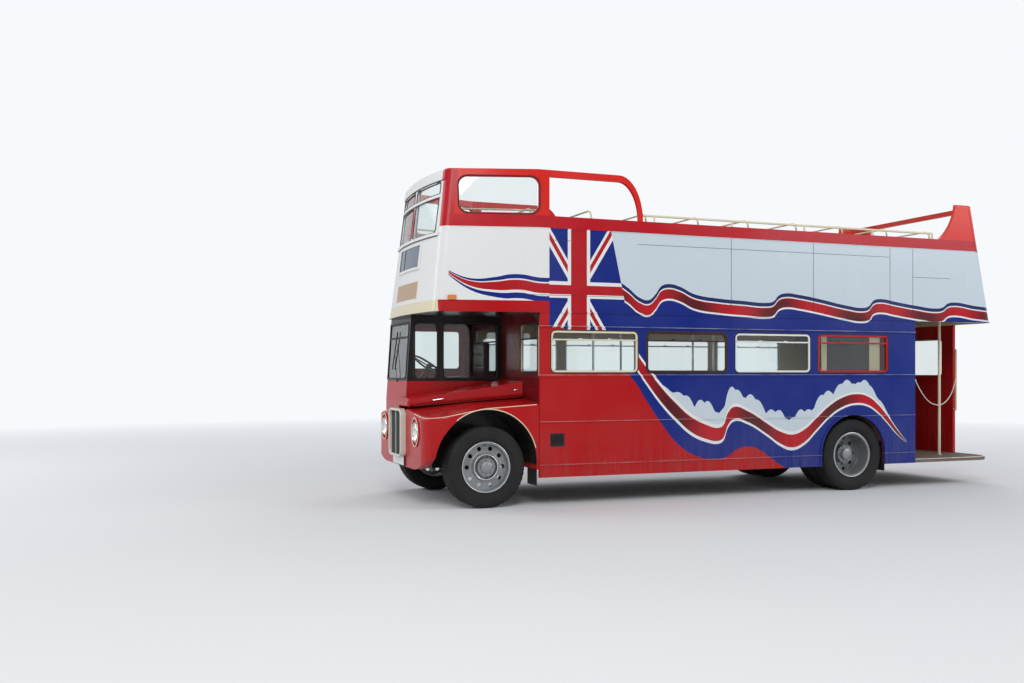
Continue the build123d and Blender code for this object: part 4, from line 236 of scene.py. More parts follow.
class Canvas:
    """Node tree of one finish or world, with short calls for the nodes that they share."""

    def __init__(self, name: str, store: Optional[bpy.types.bpy_prop_collection] = None) -> None:
        """Start an empty tree in a new material, or in a new item of another store."""
        self.owner = (bpy.data.materials if store is None else store).new(name)
        self.owner.use_nodes = True
        self.tree = self.owner.node_tree
        self.tree.nodes.clear()

    @cached_property
    def place(self) -> Signal:
        """The Object coordinates."""
        return self.node("ShaderNodeTexCoord", {}, "Object")

    def node(self, kind: str, inputs: dict, output: Union[int, str] = 0, **settings: object) -> Optional[Signal]:
        """Add a node with its settings, feed its inputs by name or number, and return one output."""
        node = self.tree.nodes.new(kind)
        for key, value in settings.items():
            setattr(node, key, value)
        for key, value in inputs.items():
            self.feed(node.inputs[key], value)
        return Signal(self, node.outputs[output]) if node.outputs else None

    def feed(self, socket: bpy.types.NodeSocket, value: object) -> None:
        """Link a signal into a socket, or set the socket to an ink, a colour or a number."""
        value = value.value if isinstance(value, Ink) else value
        if isinstance(value, Signal):
            self.tree.links.new(value.socket, socket)
        else:
            socket.default_value = (*value, 1.0) if socket.type == "RGBA" else value

    def axes(self, vector: Optional[Signal] = None) -> list[Signal]:
        """The three parts of a vector, or of the Object coordinates."""
        split = self.node("ShaderNodeSeparateXYZ", {0: vector or self.place})
        return [Signal(self, socket) for socket in split.socket.node.outputs]

    def noise(self, scale: float, detail: float = 3.0, stretch: Optional[Point] = None) -> Signal:
        """Noise from 0 to 1 at a scale in cells per metre, on coordinates that may be scaled by axis first."""
        vector = self.place
        if stretch:
            vector = self.node("ShaderNodeMapping", {"Vector": vector, "Scale": stretch})
        return self.node("ShaderNodeTexNoise", {"Vector": vector, "Scale": scale, "Detail": detail}, "Fac")

    def inside_skin(self) -> Signal:
        """1 on the inner faces of the walls, by the distance from the outer skin's rounded plan."""
        x, y, z = self.axes()
        rise = (z - UPPER_BASE_Z) | 0.0
        slope = rise * TAPER_SLOPE_RISE + TAPER_SLOPE
        across = abs(y) + ((x - TAPER_X) | 0.0) * slope
        behind = (x - (rise * REAR_LEAN + REAR_CORNER_X)) & 0.0
        beside = (across - (HALF_WIDTH - CORNER_R)) | 0.0
        return behind.radius(beside) < INNER_R

    def lining(self) -> Signal:
        """Inside of the saloon: red below the dado's top and cream above it."""
        return (self.axes()[2] > DADO_Z).mix(Ink.INSIDE_RED, Ink.INSIDE_CREAM)

    def seen(self, gloss_share: float) -> Signal:
        """1 to camera and transmitted rays, a share to glossy ones and 0 to the rest."""
        camera, clear, glossy = (
            self.node("ShaderNodeLightPath", {}, f"Is {kind} Ray") for kind in ("Camera", "Transmission", "Glossy")
        )
        return camera | clear | glossy * gloss_share

    def bump(self, height: Signal, depth: float, strength: float = 1.0) -> Signal:
        """A bump of a depth in metres from a height of 0 to 1."""
        return self.node("ShaderNodeBump", {"Strength": strength, "Distance": depth, "Height": height})

    def surface(
        self, base: object, rough: object, normal: Optional[Signal] = None, **constants: float
    ) -> bpy.types.Material:
        """Close the tree with one Principled shader, whose other sockets get plain values by their names."""
        inputs = {"Base Color": base, "Roughness": rough}
        if normal:
            inputs["Normal"] = normal
        inputs.update({key.replace("_", " "): value for key, value in constants.items()})
        self.node("ShaderNodeOutputMaterial", {0: self.node("ShaderNodeBsdfPrincipled", inputs)})
        return self.owner


@dataclass(frozen=True)
class CoachPaint:
    """Gloss paint with slow fading, fine dust, streaks and road grime near the ground."""

    name: str
    colour: Union[Ink, Colour] = Ink.DEEP_RED
    roughness: float = 0.2
    grime: float = 0.3
    grime_top: float = 1.1
    coat: float = 0.08
    faded: Colour = (0.62, 0.58, 0.55)

    def pattern(self, canvas: Canvas) -> Union[Signal, Ink, Colour]:
        """The paint's colour before weathering."""
        return self.colour

    def build(self) -> bpy.types.Material:
        """Make the material."""
        canvas = Canvas(self.name)
        fade = canvas.noise(1.3, 2.0)
        base = fade.span(0.3, 0.8, 0.0, 0.035).mix(self.pattern(canvas), self.faded)
        low = canvas.axes()[2].span(0.25, self.grime_top, 1.0, 0.0)
        streaks = canvas.noise(1.0, 4.0, (16.0, 16.0, 1.1)).span(0.42, 0.8) * low.math("POWER", 1.6)
        specks = canvas.noise(210.0, 1.0).span(0.72, 0.78, 0.0, 0.1)
        dirt = ((streaks + low * 0.06) * self.grime) | specks
        ripple = canvas.noise(2.2, 1.0) + canvas.noise(420.0, 1.0) * 0.02
        return canvas.surface(
            dirt.mix(base, Ink.ROAD_DUST),
            fade.span(0.3, 0.8, 0.0, 0.1) + self.roughness + dirt * 0.6,
            canvas.bump(ripple, 0.004, 0.35),
            Specular_IOR_Level=0.2,
            Coat_Weight=self.coat,
            Coat_Roughness=0.08,
            Coat_IOR=1.5,
        )


@dataclass(frozen=True)
class SideLivery(CoachPaint):
    """Painted sides: white panels, and white panels tinted by painted shade and reflected sky, over deep blue, wavy
    ribbons, a flag cross, a red front and painted highlights along the mouldings.

    The curves are points (x, z) of smooth lines. A band's width is its distance from its line.
    """

    flag_x: float = 2.27
    flag_z: float = 2.53
    flag_slope: float = 1.6
    waist_z: float = 1.95
    front_x: float = 2.65
    tip_x: float = 3.94
    rear_x: float = -2.595
    pillar_top_z: float = 2.392
    # Pale tint of the painted highlights along the mouldings
    moulding_highlight: Colour = (0.62, 0.60, 0.58)
    mouldings: tuple[Pair, ...] = ((0.482, 0.003), (0.986, 0.003), (1.531, 0.004), (2.104, 0.005))
    upper_line: tuple[Pair, ...] = (
        (1.85, 2.54), (1.76, 2.525), (1.62, 2.45), (1.46, 2.335), (1.35, 2.31), (1.25, 2.38), (1.16, 2.49),
        (1.06, 2.515), (0.92, 2.49), (0.7, 2.40), (0.35, 2.355), (0.0, 2.335), (-0.36, 2.32), (-0.45, 2.335),
        (-0.55, 2.425), (-0.66, 2.45), (-0.85, 2.435), (-1.16, 2.39), (-1.6, 2.315), (-1.86, 2.29), (-1.96, 2.31),
        (-2.05, 2.395), (-2.16, 2.415), (-2.4, 2.385), (-2.75, 2.34), (-3.12, 2.31), (-3.22, 2.325), (-3.32, 2.385),
        (-3.42, 2.40), (-3.8, 2.36), (-4.2, 2.335),
    )  # fmt: skip
    lower_line: tuple[Pair, ...] = (
        (1.62, 1.86), (1.37, 1.53), (1.13, 1.25), (0.95, 1.08), (0.75, 0.92), (0.55, 0.83), (0.36, 0.79),
        (0.29, 0.82), (0.22, 0.98), (0.13, 1.055), (-0.06, 1.01), (-0.37, 0.84), (-0.56, 0.73), (-0.75, 0.68),
        (-0.93, 0.74), (-1.13, 0.90), (-1.33, 1.06), (-1.54, 1.17), (-1.75, 1.215), (-1.94, 1.19), (-2.11, 1.09),
        (-2.28, 0.93), (-2.43, 0.77), (-2.60, 0.62),
    )  # fmt: skip
    lower_breadth: tuple[Pair, ...] = (
        (1.6, 1.25), (0.75, 1.45), (0.3, 1.25), (-0.3, 1.05), (-0.75, 1.3), (-1.4, 1.0), (-2.1, 0.8), (-2.62, 0.05),
    )  # fmt: skip
    front_line: tuple[Pair, ...] = (
        (2.5, 2.55), (2.75, 2.53), (3.0, 2.565), (3.3, 2.55), (3.55, 2.57), (3.72, 2.64), (3.86, 2.74), (3.97, 2.86),
    )  # fmt: skip
    red_edge: tuple[Pair, ...] = (
        (2.7, 2.07), (2.45, 2.07), (2.0, 1.70), (1.72, 1.60), (1.56, 1.48), (1.36, 1.20), (1.16, 0.93),
        (0.97, 0.71), (0.80, 0.585), (0.62, 0.51), (0.42, 0.48), (0.25, 0.50), (0.10, 0.585), (-0.04, 0.625),
        (-0.20, 0.60), (-0.36, 0.51), (-0.55, 0.385), (-0.75, 0.30), (-1.1, 0.28),
    )  # fmt: skip

    def flag(self, u: Signal, w: Signal) -> Signal:
        """White and red diagonals on blue under an upright white and red cross."""
        across, up = abs(u), abs(w)
        off = (up - across * self.flag_slope) / math.hypot(self.flag_slope, 1.0)
        field = off.stripes(
            Ink.BLUE, -0.062, Ink.WHITE, -0.022, Ink.RIBBON_RED, 0.028, Ink.WHITE, 0.062, Ink.BLUE, reach=1.0
        )
        cross = (across - 0.103) & (up - 0.055)
        return (cross < 0.0).mix((cross < 0.042).mix(field, Ink.WHITE), Ink.RIBBON_RED)

    def ribbon_red(self, x: Signal, turn: float) -> Signal:
        """Red that darkens and brightens along the ribbon, as a folded ribbon's does."""
        return ((x + turn) * 5.2).math("SINE").span(-0.9, 0.9).mix(Ink.RIBBON_SHADE, Ink.CRIMSON)

    def upper(self, x: Signal, z: Signal) -> Signal:
        """White panels tinted by painted shade and reflected sky over blue, with the ribbon between them."""
        above = z - x.wave(self.upper_line)
        bands = above.stripes(
            Ink.BLUE, -0.092, Ink.WHITE, -0.055, Ink.RIBBON_RED, 0.050, Ink.WHITE, 0.078, Ink.NAVY, 0.122, Ink.PALE
        )
        return (abs(above + 0.0025) < 0.0525).mix(bands, self.ribbon_red(x, 0.2))

    def lower(self, x: Signal, z: Signal) -> Signal:
        """Ribbon on blue with rounded scallops above it, white tinted by painted shade and reflected sky, large ones
        with small ones between them.
        """
        over = (z - x.wave(self.lower_line)) / x.wave(self.lower_breadth)
        bands = over.stripes(Ink.BLUE, -0.105, Ink.WHITE, -0.065, Ink.RIBBON_RED, 0.055, Ink.WHITE)
        bands = (abs(over + 0.005) < 0.06).mix(bands, self.ribbon_red(x, 1.1))
        bands = (x < self.rear_x).mix(bands, Ink.BLUE)
        crest = abs((x * 9.0).math("SINE")) * 0.085 + abs((x * 21.0 + 0.8).math("SINE")) * 0.035 + 0.075
        crest = crest * x.span(1.15, 0.65) * x.span(-2.35, -2.0) + 0.095
        return (over > crest).mix((over > 0.095).mix(bands, Ink.PALE), Ink.BLUE)

    def front(self, x: Signal, z: Signal) -> Signal:
        """White front panel with a tapering ribbon."""
        near = (z - x.wave(self.front_line)) / x.span(3.15, 3.95, 1.05, 0.05)
        bands = near.stripes(
            Ink.WHITE, -0.145, Ink.BLUE, -0.085, Ink.WHITE, -0.055, Ink.RIBBON_RED,
            0.050, Ink.WHITE, 0.078, Ink.BLUE, 0.125, Ink.WHITE,
        )  # fmt: skip
        return (x > self.tip_x).mix(bands, Ink.WHITE)

    def pattern(self, canvas: Canvas) -> Signal:
        """The whole side by place along the body and height."""
        x, _, z = canvas.axes()
        side = (z > self.waist_z).mix(self.lower(x, z), self.upper(x, z))
        side = (x > self.front_x).mix(side, self.front(x, z))
        # Flag cross over the first window
        u, w = x - self.flag_x, z - self.flag_z
        inside = (u > w.span(-0.1, 0.72, -0.60, -0.42)) * (u < 0.38) * (z > self.waist_z)
        side = inside.mix(side, self.flag(u, w))
        # Red front below the white panel, whose edge sweeps down and back
        red = (z < x.wave(self.red_edge)) * (x > -1.1)
        pillar = (x > self.front_x) * (z < self.pillar_top_z)
        side = (red | pillar).mix(side, Ink.DEEP_RED)
        side = (z > BAND_FOOT_Z).mix(side, Ink.CRIMSON)
        # Painted highlights along the long mouldings, patchy by noise
        for middle, half in self.mouldings:
            moulding_highlight = (abs(z - middle) < half) * canvas.noise(4.0, 3.0).span(0.3, 0.6, 0.1, 0.4)
            side = moulding_highlight.mix(side, self.moulding_highlight)
        lining = (z > UPPER_FLOOR_Z - 0.06).mix(canvas.lining(), Ink.INSIDE_RED)
        return canvas.inside_skin().mix(side, lining)


@dataclass(frozen=True)
class CanopyLivery(CoachPaint):
    """Red valance on the sides, pale across the front, dark underneath."""

    front_x: float = 3.945

    def pattern(self, canvas: Canvas) -> Signal:
        """Colour by the place along the body and the height."""
        x, _, z = canvas.axes()
        base = (x > self.front_x).mix(self.colour, Ink.CREAM)
        return (z < UPPER_BASE_Z + 0.0006).mix(base, Ink.CAB_BLACK)


@dataclass(frozen=True)
class CabLivery(CoachPaint):
    """Red cab with a black window surround and a dark lining."""

    black_z: float = 1.452
    near_y: float = -0.085
    screen_x: float = 3.905
    corner_x: float = 3.805
    lean: float = -0.0673
    inner_r: float = 0.2085
    inner_y: float = -0.062

    def pattern(self, canvas: Canvas) -> Signal:
        """Colour by height, and by the distance from the middle of the cab's round far corner."""
        x, y, z = canvas.axes()
        near = (z > self.black_z) * ((y > self.near_y) | (x > self.screen_x))
        ahead = (x - ((z - CAB_BASE_Z) * self.lean + self.corner_x)) | 0.0
        beside = (y * -1.0 + CAB_CORNER_Y) | 0.0
        inside = (y < self.inner_y) * (ahead.radius(beside) < self.inner_r)
        return (near | inside).mix(self.colour, Ink.CAB_BLACK)


@dataclass(frozen=True)
class WingLivery(CoachPaint):
    """Red wing with a black underside: the arch and everything inside it."""

    arch_r: float = 0.6045
    skin_y: float = 1.196

    def pattern(self, canvas: Canvas) -> Signal:
        """Black within the arch's radius about the wheel opening's middle."""
        x, y, z = canvas.axes()
        inside = (x - ARCH_X).radius(z - ARCH_Z) < self.arch_r
        return (inside * (abs(y) < self.skin_y)).mix(self.colour, (0.012, 0.011, 0.011))


@dataclass(frozen=True)
class BulkheadLivery(CoachPaint):
    """Dark red towards the bonnet, cream inside the saloon above a red dado."""

    def pattern(self, canvas: Canvas) -> Signal:
        """Colour by the face of the bulkhead."""
        return (canvas.axes()[0] > BULKHEAD_X - 0.008).mix(canvas.lining(), Ink.DARK_RED)


@dataclass(frozen=True)
class FrontLivery(CoachPaint):
    """White upper front with red corner posts above the panel line."""

    def pattern(self, canvas: Canvas) -> Signal:
        """White, with red where the corner posts rise beside the windows, and cream inside."""
        x, y, z = canvas.axes()
        post = (abs(y) > z.span(BAND_FOOT_Z, 3.9, 0.885, 0.832)) * (z > BAND_FOOT_Z)
        inner = (x < z.span(2.39, 3.92, 3.99, 3.74)) * (abs(y) < 0.86)
        return inner.mix(post.mix(Ink.WHITE, Ink.CRIMSON), Ink.CREAM)


@dataclass(frozen=True)
class FinSunlitRed(CoachPaint):
    """Red fins in painted sunlight, with a painted highlight that turns them paler towards the top."""

    def pattern(self, canvas: Canvas) -> Signal:
        """Painted sunlit red by height, turning to a paler painted highlight towards the top."""
        return canvas.axes()[2].span(3.45, 3.9).mix(Ink.SUNLIT_RED, ink(226, 66, 48))


@dataclass(frozen=True)
class PlainMetal:
    """Metal with brushed or cast grain and stains."""

    name: str
    colour: Colour
    roughness: float = 0.35
    metallic: float = 1.0
    grain: Point = (40.0, 40.0, 40.0)
    depth: float = 0.0006
    stain: Colour = (0.08, 0.07, 0.06)
    stain_share: float = 0.3

    def build(self) -> bpy.types.Material:
        """Make the material."""
        canvas = Canvas(self.name)
        grain = canvas.noise(1.0, 5.0, self.grain)
        blotch = canvas.noise(5.0, 4.0)
        base = blotch.span(0.45, 0.8, 0.0, self.stain_share).mix(self.colour, self.stain)
        base = grain.span(0.3, 0.7, 0.0, 0.12).mix(base, (0.3, 0.3, 0.3))
        rough = grain.span(0.3, 0.7, -0.05, 0.08) + self.roughness + blotch.span(0.45, 0.85, 0.0, 0.25)
        return canvas.surface(base, rough, canvas.bump(grain, self.depth, 0.5), Metallic=self.metallic)


@dataclass(frozen=True)
class MattePaint:
    """Black or dark paint, plastic or rubber with a dusty film and a fine grain."""

    name: str
    colour: Colour
    roughness: float = 0.6
    dust: Colour = (0.16, 0.14, 0.12)
    dust_share: float = 0.4
    grain: float = 160.0
    depth: float = 0.0008

    def build(self) -> bpy.types.Material:
        """Make the material."""
        canvas = Canvas(self.name)
        grain = canvas.noise(self.grain, 4.0)
        film = canvas.noise(4.0, 5.0)
        base = film.span(0.4, 0.8, 0.0, self.dust_share).mix(self.colour, self.dust)
        base = grain.span(0.35, 0.7, 0.0, 0.1).mix(base, self.dust)
        rough = film.span(0.3, 0.8, -0.05, 0.15) + self.roughness
        return canvas.surface(base, rough, canvas.bump(grain, self.depth, 0.4), Specular_IOR_Level=0.3)


@dataclass(frozen=True)
class PaneGlass:
    """Clear window glass with a faint green tint and smears."""

    name: str
    tint: Colour = (0.86, 0.91, 0.90)
    roughness: float = 0.02
    smeared: Colour = (0.74, 0.77, 0.76)

    def build(self) -> bpy.types.Material:
        """Make the material."""
        canvas = Canvas(self.name)
        smear = canvas.noise(1.0, 4.0, (3.0, 3.0, 1.2))
        base = smear.span(0.4, 0.8, 0.0, 0.25).mix(self.tint, self.smeared)
        rough = smear.span(0.5, 0.85, 0.0, 0.05) + self.roughness
        return canvas.surface(base, rough, Transmission_Weight=1.0, IOR=1.45)


@dataclass(frozen=True)
class BoardDeck:
    """Floor boards under ribbed lino: boards along the body with dark joints and scuffs."""

    name: str
    colour: Colour
    pitch: float = 0.045
    depth: float = 0.002
    ceiling_z: float = 0.0
    scuffed: Colour = (0.32, 0.29, 0.26)

    def build(self) -> bpy.types.Material:
        """Make the material."""
        canvas = Canvas(self.name)
        _, y, z = canvas.axes()
        line = y.math("PINGPONG", self.pitch / 2).span(0.0, 0.006)
        scuff = canvas.noise(3.0, 6.0)
        base = canvas.noise(1.0, 5.0, (3.0, 60.0, 60.0)).span(0.3, 0.75).mix(self.colour, shade(self.colour, 0.6))
        base = scuff.span(0.45, 0.8, 0.0, 0.4).mix(base, self.scuffed)
        base = line.mix(shade(self.colour, 0.2), base)
        base = (z < self.ceiling_z).mix(base, Ink.INSIDE_CREAM)
        return canvas.surface(base, scuff.span(0.3, 0.8, 0.5, 0.8), canvas.bump(line, self.depth, 0.7))


@dataclass(frozen=True)
class SeatCloth:
    """Woven seat cloth: a small check in two threads over a ground, with nap and wear."""

    name: str
    ground: Colour
    first: Colour
    second: Colour
    cell: float = 0.055
    thread: float = 0.0012
    worn: Colour = (0.35, 0.30, 0.28)

    def build(self) -> bpy.types.Material:
        """Make the material."""
        canvas = Canvas(self.name)
        x, y, z = canvas.axes()
        rise = x + z
        base = (rise.math("PINGPONG", self.cell) > self.cell * 0.72).mix(self.ground, self.first)
        base = (y.math("PINGPONG", self.cell) > self.cell * 0.78).mix(base, self.second)
        weave = rise.math("PINGPONG", self.thread) * y.math("PINGPONG", self.thread)
        nap = canvas.noise(340.0, 2.0)
        wear = canvas.noise(7.0, 4.0)
        base = wear.span(0.45, 0.8, 0.0, 0.3).mix(base, self.worn)
        base = nap.span(0.3, 0.7, 0.0, 0.3).mix(base, shade(self.ground, 0.35))
        bump = canvas.bump(weave * 400000.0 + nap * 0.5, 0.001, 0.5)
        rough = wear.span(0.3, 0.8, 0.75, 0.9)
        return canvas.surface(base, rough, bump, Sheen_Weight=0.4, Sheen_Roughness=0.5)


@dataclass(frozen=True)
class Lens:
    """Moulded lamp lens with fine upright flutes, which may have another colour behind the axles' middle."""

    name: str
    colour: Colour
    rear_colour: Colour
    clear: float = 0.3
    flute: float = 0.012

    def build(self) -> bpy.types.Material:
        """Make the material."""
        canvas = Canvas(self.name)
        x, y, _ = canvas.axes()
        height = (x + y).math("PINGPONG", self.flute / 2) * (2.0 / self.flute)
        base = canvas.noise(30.0, 2.0).span(0.4, 0.8, 0.0, 0.2).mix(self.colour, shade(self.colour, 0.6))
        base = (x < 0.0).mix(base, self.rear_colour)
        bump = canvas.bump(height, 0.003, 0.6)
        return canvas.surface(base, 0.12, bump, Transmission_Weight=self.clear, Coat_Weight=0.6)


@dataclass(frozen=True)
class RopeFibre:
    """Twisted white rope: strands wind round the cord by its own map, with painted shade in the grooves between them,
    fuzz and grey wear.
    """

    name: str
    colour: Colour
    worn: Colour = (0.40, 0.36, 0.31)

    def build(self) -> bpy.types.Material:
        """Make the material."""
        canvas = Canvas(self.name)
        along, across, _ = canvas.axes(canvas.node("ShaderNodeUVMap", {}))
        strand = (along * 60.0 + across * 3.0).math("PINGPONG", 0.5) * 2.0
        # Painted shade: darker in the grooves between the strands
        base = strand.span(0.0, 0.4).mix(shade(self.colour, 0.35), self.colour)
        base = canvas.noise(11.0, 3.0).span(0.45, 0.8, 0.0, 0.4).mix(base, self.worn)
        bump = canvas.bump(strand + canvas.noise(900.0, 2.0) * 0.2, 0.002, 0.9)
        return canvas.surface(base, 0.85, bump, Sheen_Weight=0.3)


class Finishes:
    """All finishes, each made once when it is first asked for."""

    # Material slots, each with the finishes that fill it by their short names
    TABLE = {
        "red_paint": {
            "red": CoachPaint("deep_red_paint"),
            "dark_red": CoachPaint("dark_red_paint", Ink.DARK_RED),
            "canopy": CanopyLivery("canopy_paint"),
            "cab": CabLivery("cab_paint"),
            "wing": WingLivery("wing_paint"),
            "bulkhead": BulkheadLivery("bulkhead_paint"),
            "brown": CoachPaint("window_brown", ink(64, 30, 20), 0.4),
        },
        "band_red_paint": {
            "crimson": CoachPaint("crimson_paint", Ink.CRIMSON),
            # Painted sunlight: a lighter red for the bay frames, and for the fins a red that turns paler towards the
            # top as a painted highlight
            "sunlit_red": CoachPaint("bay_sunlit_red_paint", Ink.SUNLIT_RED),
            "fin_sunlit_red": FinSunlitRed("fin_sunlit_red"),
        },
        "blue_paint": {"side_livery": SideLivery("side_livery")},
        "white_paint": {
            "white": CoachPaint("white_paint", Ink.WHITE, 0.25),
            "front_livery": FrontLivery("front_livery", grime=0.2),
        },
        "cream_paint": {
            "cream": CoachPaint("cream_paint", Ink.CREAM, 0.28),
            "inside_cream": CoachPaint("inside_cream", Ink.INSIDE_CREAM, 0.35, 0.2),
            "panel_board": CoachPaint("panel_board", ink(188, 158, 132), 0.4, 0.0),
        },
        "black_plastic": {
            "plastic": MattePaint(
                "black_plastic", (0.015, 0.015, 0.016), 0.35, dust_share=0.15, grain=400.0, depth=0.0003
            ),
            "blind": CoachPaint("blind_pane", ink(112, 124, 136), 0.12, 0.0),
        },
        "chassis_paint": {"chassis": MattePaint("chassis_black", (0.022, 0.021, 0.020), 0.55)},
        "engine_iron": {"iron": PlainMetal("engine_iron", (0.12, 0.12, 0.13), 0.55, 0.8, stain_share=0.6)},
        "wheel_paint": {
            "wheel": PlainMetal("wheel_silver", (0.30, 0.31, 0.32), 0.38, 0.55, depth=0.0003, stain_share=0.5),
            "wheel_dark": PlainMetal("wheel_grease", (0.10, 0.10, 0.10), 0.5, 0.5, stain_share=0.5),
        },
        "aluminium": {
            "aluminium": PlainMetal("aluminium", (0.68, 0.69, 0.70), 0.3, 1.0, (3.0, 240.0, 240.0), 0.0001),
        },
        "chrome": {
            "grille_shell": CoachPaint("grille_shell", ink(214, 210, 198), 0.18, 0.1, coat=0.5),
            "chrome": PlainMetal("chrome", (0.78, 0.78, 0.80), 0.09, 1.0, depth=0.00003, stain_share=0.12),
            "mirror": PlainMetal("lamp_reflector", (0.85, 0.85, 0.86), 0.12, 1.0, depth=0.0001, stain_share=0.05),
        },
        "tyre_rubber": {
            "rubber": MattePaint("tyre_rubber", (0.010, 0.010, 0.011), 0.75, (0.06, 0.055, 0.05), 0.35, 90.0, 0.0012),
        },
        "flap_rubber": {"seal": MattePaint("seal_rubber", (0.012, 0.012, 0.012), 0.5, dust_share=0.25)},
        "clear_glass": {"glass": PaneGlass("window_glass")},
        "lamp_glass": {"lamp_glass": PaneGlass("lamp_glass", (0.95, 0.96, 0.95), 0.03)},
        "amber_lens": {"marker": Lens("marker_lens", (0.95, 0.30, 0.02), (0.55, 0.005, 0.005))},
        "floor_boards": {
            "boards": BoardDeck("deck_boards", (0.17, 0.125, 0.09)),
            "upper_boards": BoardDeck("upper_deck_boards", (0.17, 0.125, 0.09), ceiling_z=2.4204),
            "platform_boards": BoardDeck("platform_boards", (0.20, 0.13, 0.09), 0.062, 0.004),
        },
        "seat_fabric": {
            "upper_cloth": SeatCloth("upper_seat_cloth", ink(150, 18, 26), ink(176, 34, 40), ink(120, 10, 18), 0.03),
            "lower_cloth": SeatCloth("lower_seat_cloth", ink(118, 20, 26), ink(150, 112, 70), ink(34, 60, 46), 0.024),
            "vinyl": MattePaint("driver_seat_vinyl", ink(44, 16, 18), 0.5, dust_share=0.15, grain=260.0, depth=0.0004),
            "upper_piping": MattePaint("upper_piping", ink(110, 12, 18), dust_share=0.2),
            "lower_piping": MattePaint("lower_piping", ink(70, 12, 16), dust_share=0.2),
        },
        "rope_fibre": {"rope": RopeFibre("rope_fibre", ink(232, 228, 214))},
    }
    RECIPES = {key: recipe for group in TABLE.values() for key, recipe in group.items()}
    SLOTS = {key: slot for slot, group in TABLE.items() for key in group}
    _made: dict[str, bpy.types.Material] = {}

    @classmethod
    def get(cls, key: str) -> bpy.types.Material:
        """The material of a finish by its short name."""
        if key not in cls._made:
            cls._made[key] = cls.RECIPES[key].build()
        return cls._made[key]


class Piece:
    """A new piece: grids of points joined into one mesh, dressed, named and set on a body."""

    def __init__(self, name: str) -> None:
        """Start an empty piece with a name."""
        self.name = name
        self.points: list[np.ndarray] = []
        self.quads: list[list[int]] = []
        self.caps: list[list[int]] = []
        self.count = 0

    def grid(
        self, surface: np.ndarray, wrap_rows: bool = False, wrap_columns: bool = False, cap: bool = False
    ) -> "Piece":
        """Add rows and columns of points, whose ends may join, or whose first and last rows may be closed."""
        rows, columns = surface.shape[:2]
        index = self.count + np.arange(rows * columns).reshape(rows, columns)
        if cap:
            self.caps += [index[0].tolist(), index[-1][::-1].tolist()]
        if wrap_rows:
            index = np.vstack((index, index[:1]))
        if wrap_columns:
            index = np.hstack((index, index[:, :1]))
        quads = np.stack((index[:-1, :-1], index[1:, :-1], index[1:, 1:], index[:-1, 1:]), axis=-1)
        self.points.append(surface.reshape(-1, 3))
        self.quads += quads.reshape(-1, 4).tolist()
        self.count += rows * columns
        return self

    def strip(self, path: Points, section: np.ndarray, normal: Points, closed: bool = False) -> "Piece":
        """Add a section carried along a path, capped at its ends unless the path is closed."""
        return self.grid(sweep(path, section, normal, closed), closed, True, not closed)

    def turned(
        self, profile: Points, centre: Sequence[float], axis: str, steps: int = 48, loop: bool = False
    ) -> "Piece":
        """Add a profile of (along, radius) points turned about an axis, whose ends meet the axis or each other.

        Point (s, r) at angle t goes to centre + s * axis + r * (cos t, sin t) across it.
        """
        profile = np.asarray(profile, float)
        angle = (np.arange(steps) * 2 * np.pi / steps)[:, None]
        along = np.broadcast_to(profile[None, :, 0], (steps, len(profile)))
        first, second = profile[None, :, 1] * np.cos(angle), profile[None, :, 1] * np.sin(angle)
        order = {"X": (along, first, second), "Y": (first, along, second), "Z": (first, second, along)}[axis]
        return self.grid(np.stack(order, axis=-1) + np.asarray(centre, float), True, loop)

    def board(self, outline: np.ndarray, rise: Sequence[float]) -> "Piece":
        """Add a flat board: an outline and the same outline moved by a rise, closed by its two faces."""
        return self.grid(np.stack((outline, outline + np.asarray(rise, float))), False, True, True)

    def build(
        self, finish: str, body: str = "body", nodes: Sequence[str] = (), smooth: float = 40.0
    ) -> bpy.types.Object:
        """Make the object: merge doubles, turn its faces outwards, shade it, and set it on its body.

        Args:
            finish: short name of the finish.
            body: the body that it rides on.
            nodes: CAD nodes that it stands for.
            smooth: edges sharper than this angle in degrees stay hard.
        """
        mesh = bpy.data.meshes.new(self.name)
        mesh.from_pydata(np.concatenate(self.points), [], self.quads + self.caps)
        work = bmesh.new()
        work.from_mesh(mesh)
        bmesh.ops.remove_doubles(work, verts=work.verts, dist=1e-5)
        bmesh.ops.dissolve_degenerate(work, edges=work.edges, dist=1e-6)
        bmesh.ops.recalc_face_normals(work, faces=work.faces)
        work.to_mesh(mesh)
        work.free()
        mesh.shade_smooth()
        mesh.set_sharp_from_angle(angle=math.radians(smooth))
        mesh.materials.append(Finishes.get(finish))
        obj = bpy.data.objects.new(self.name, mesh)
        bpy.context.scene.collection.objects.link(obj)
        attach(obj, body)
        if nodes:
            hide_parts(*nodes)
        LOG.info("%s: %d faces on %s", self.name, len(mesh.polygons), body)
        return obj


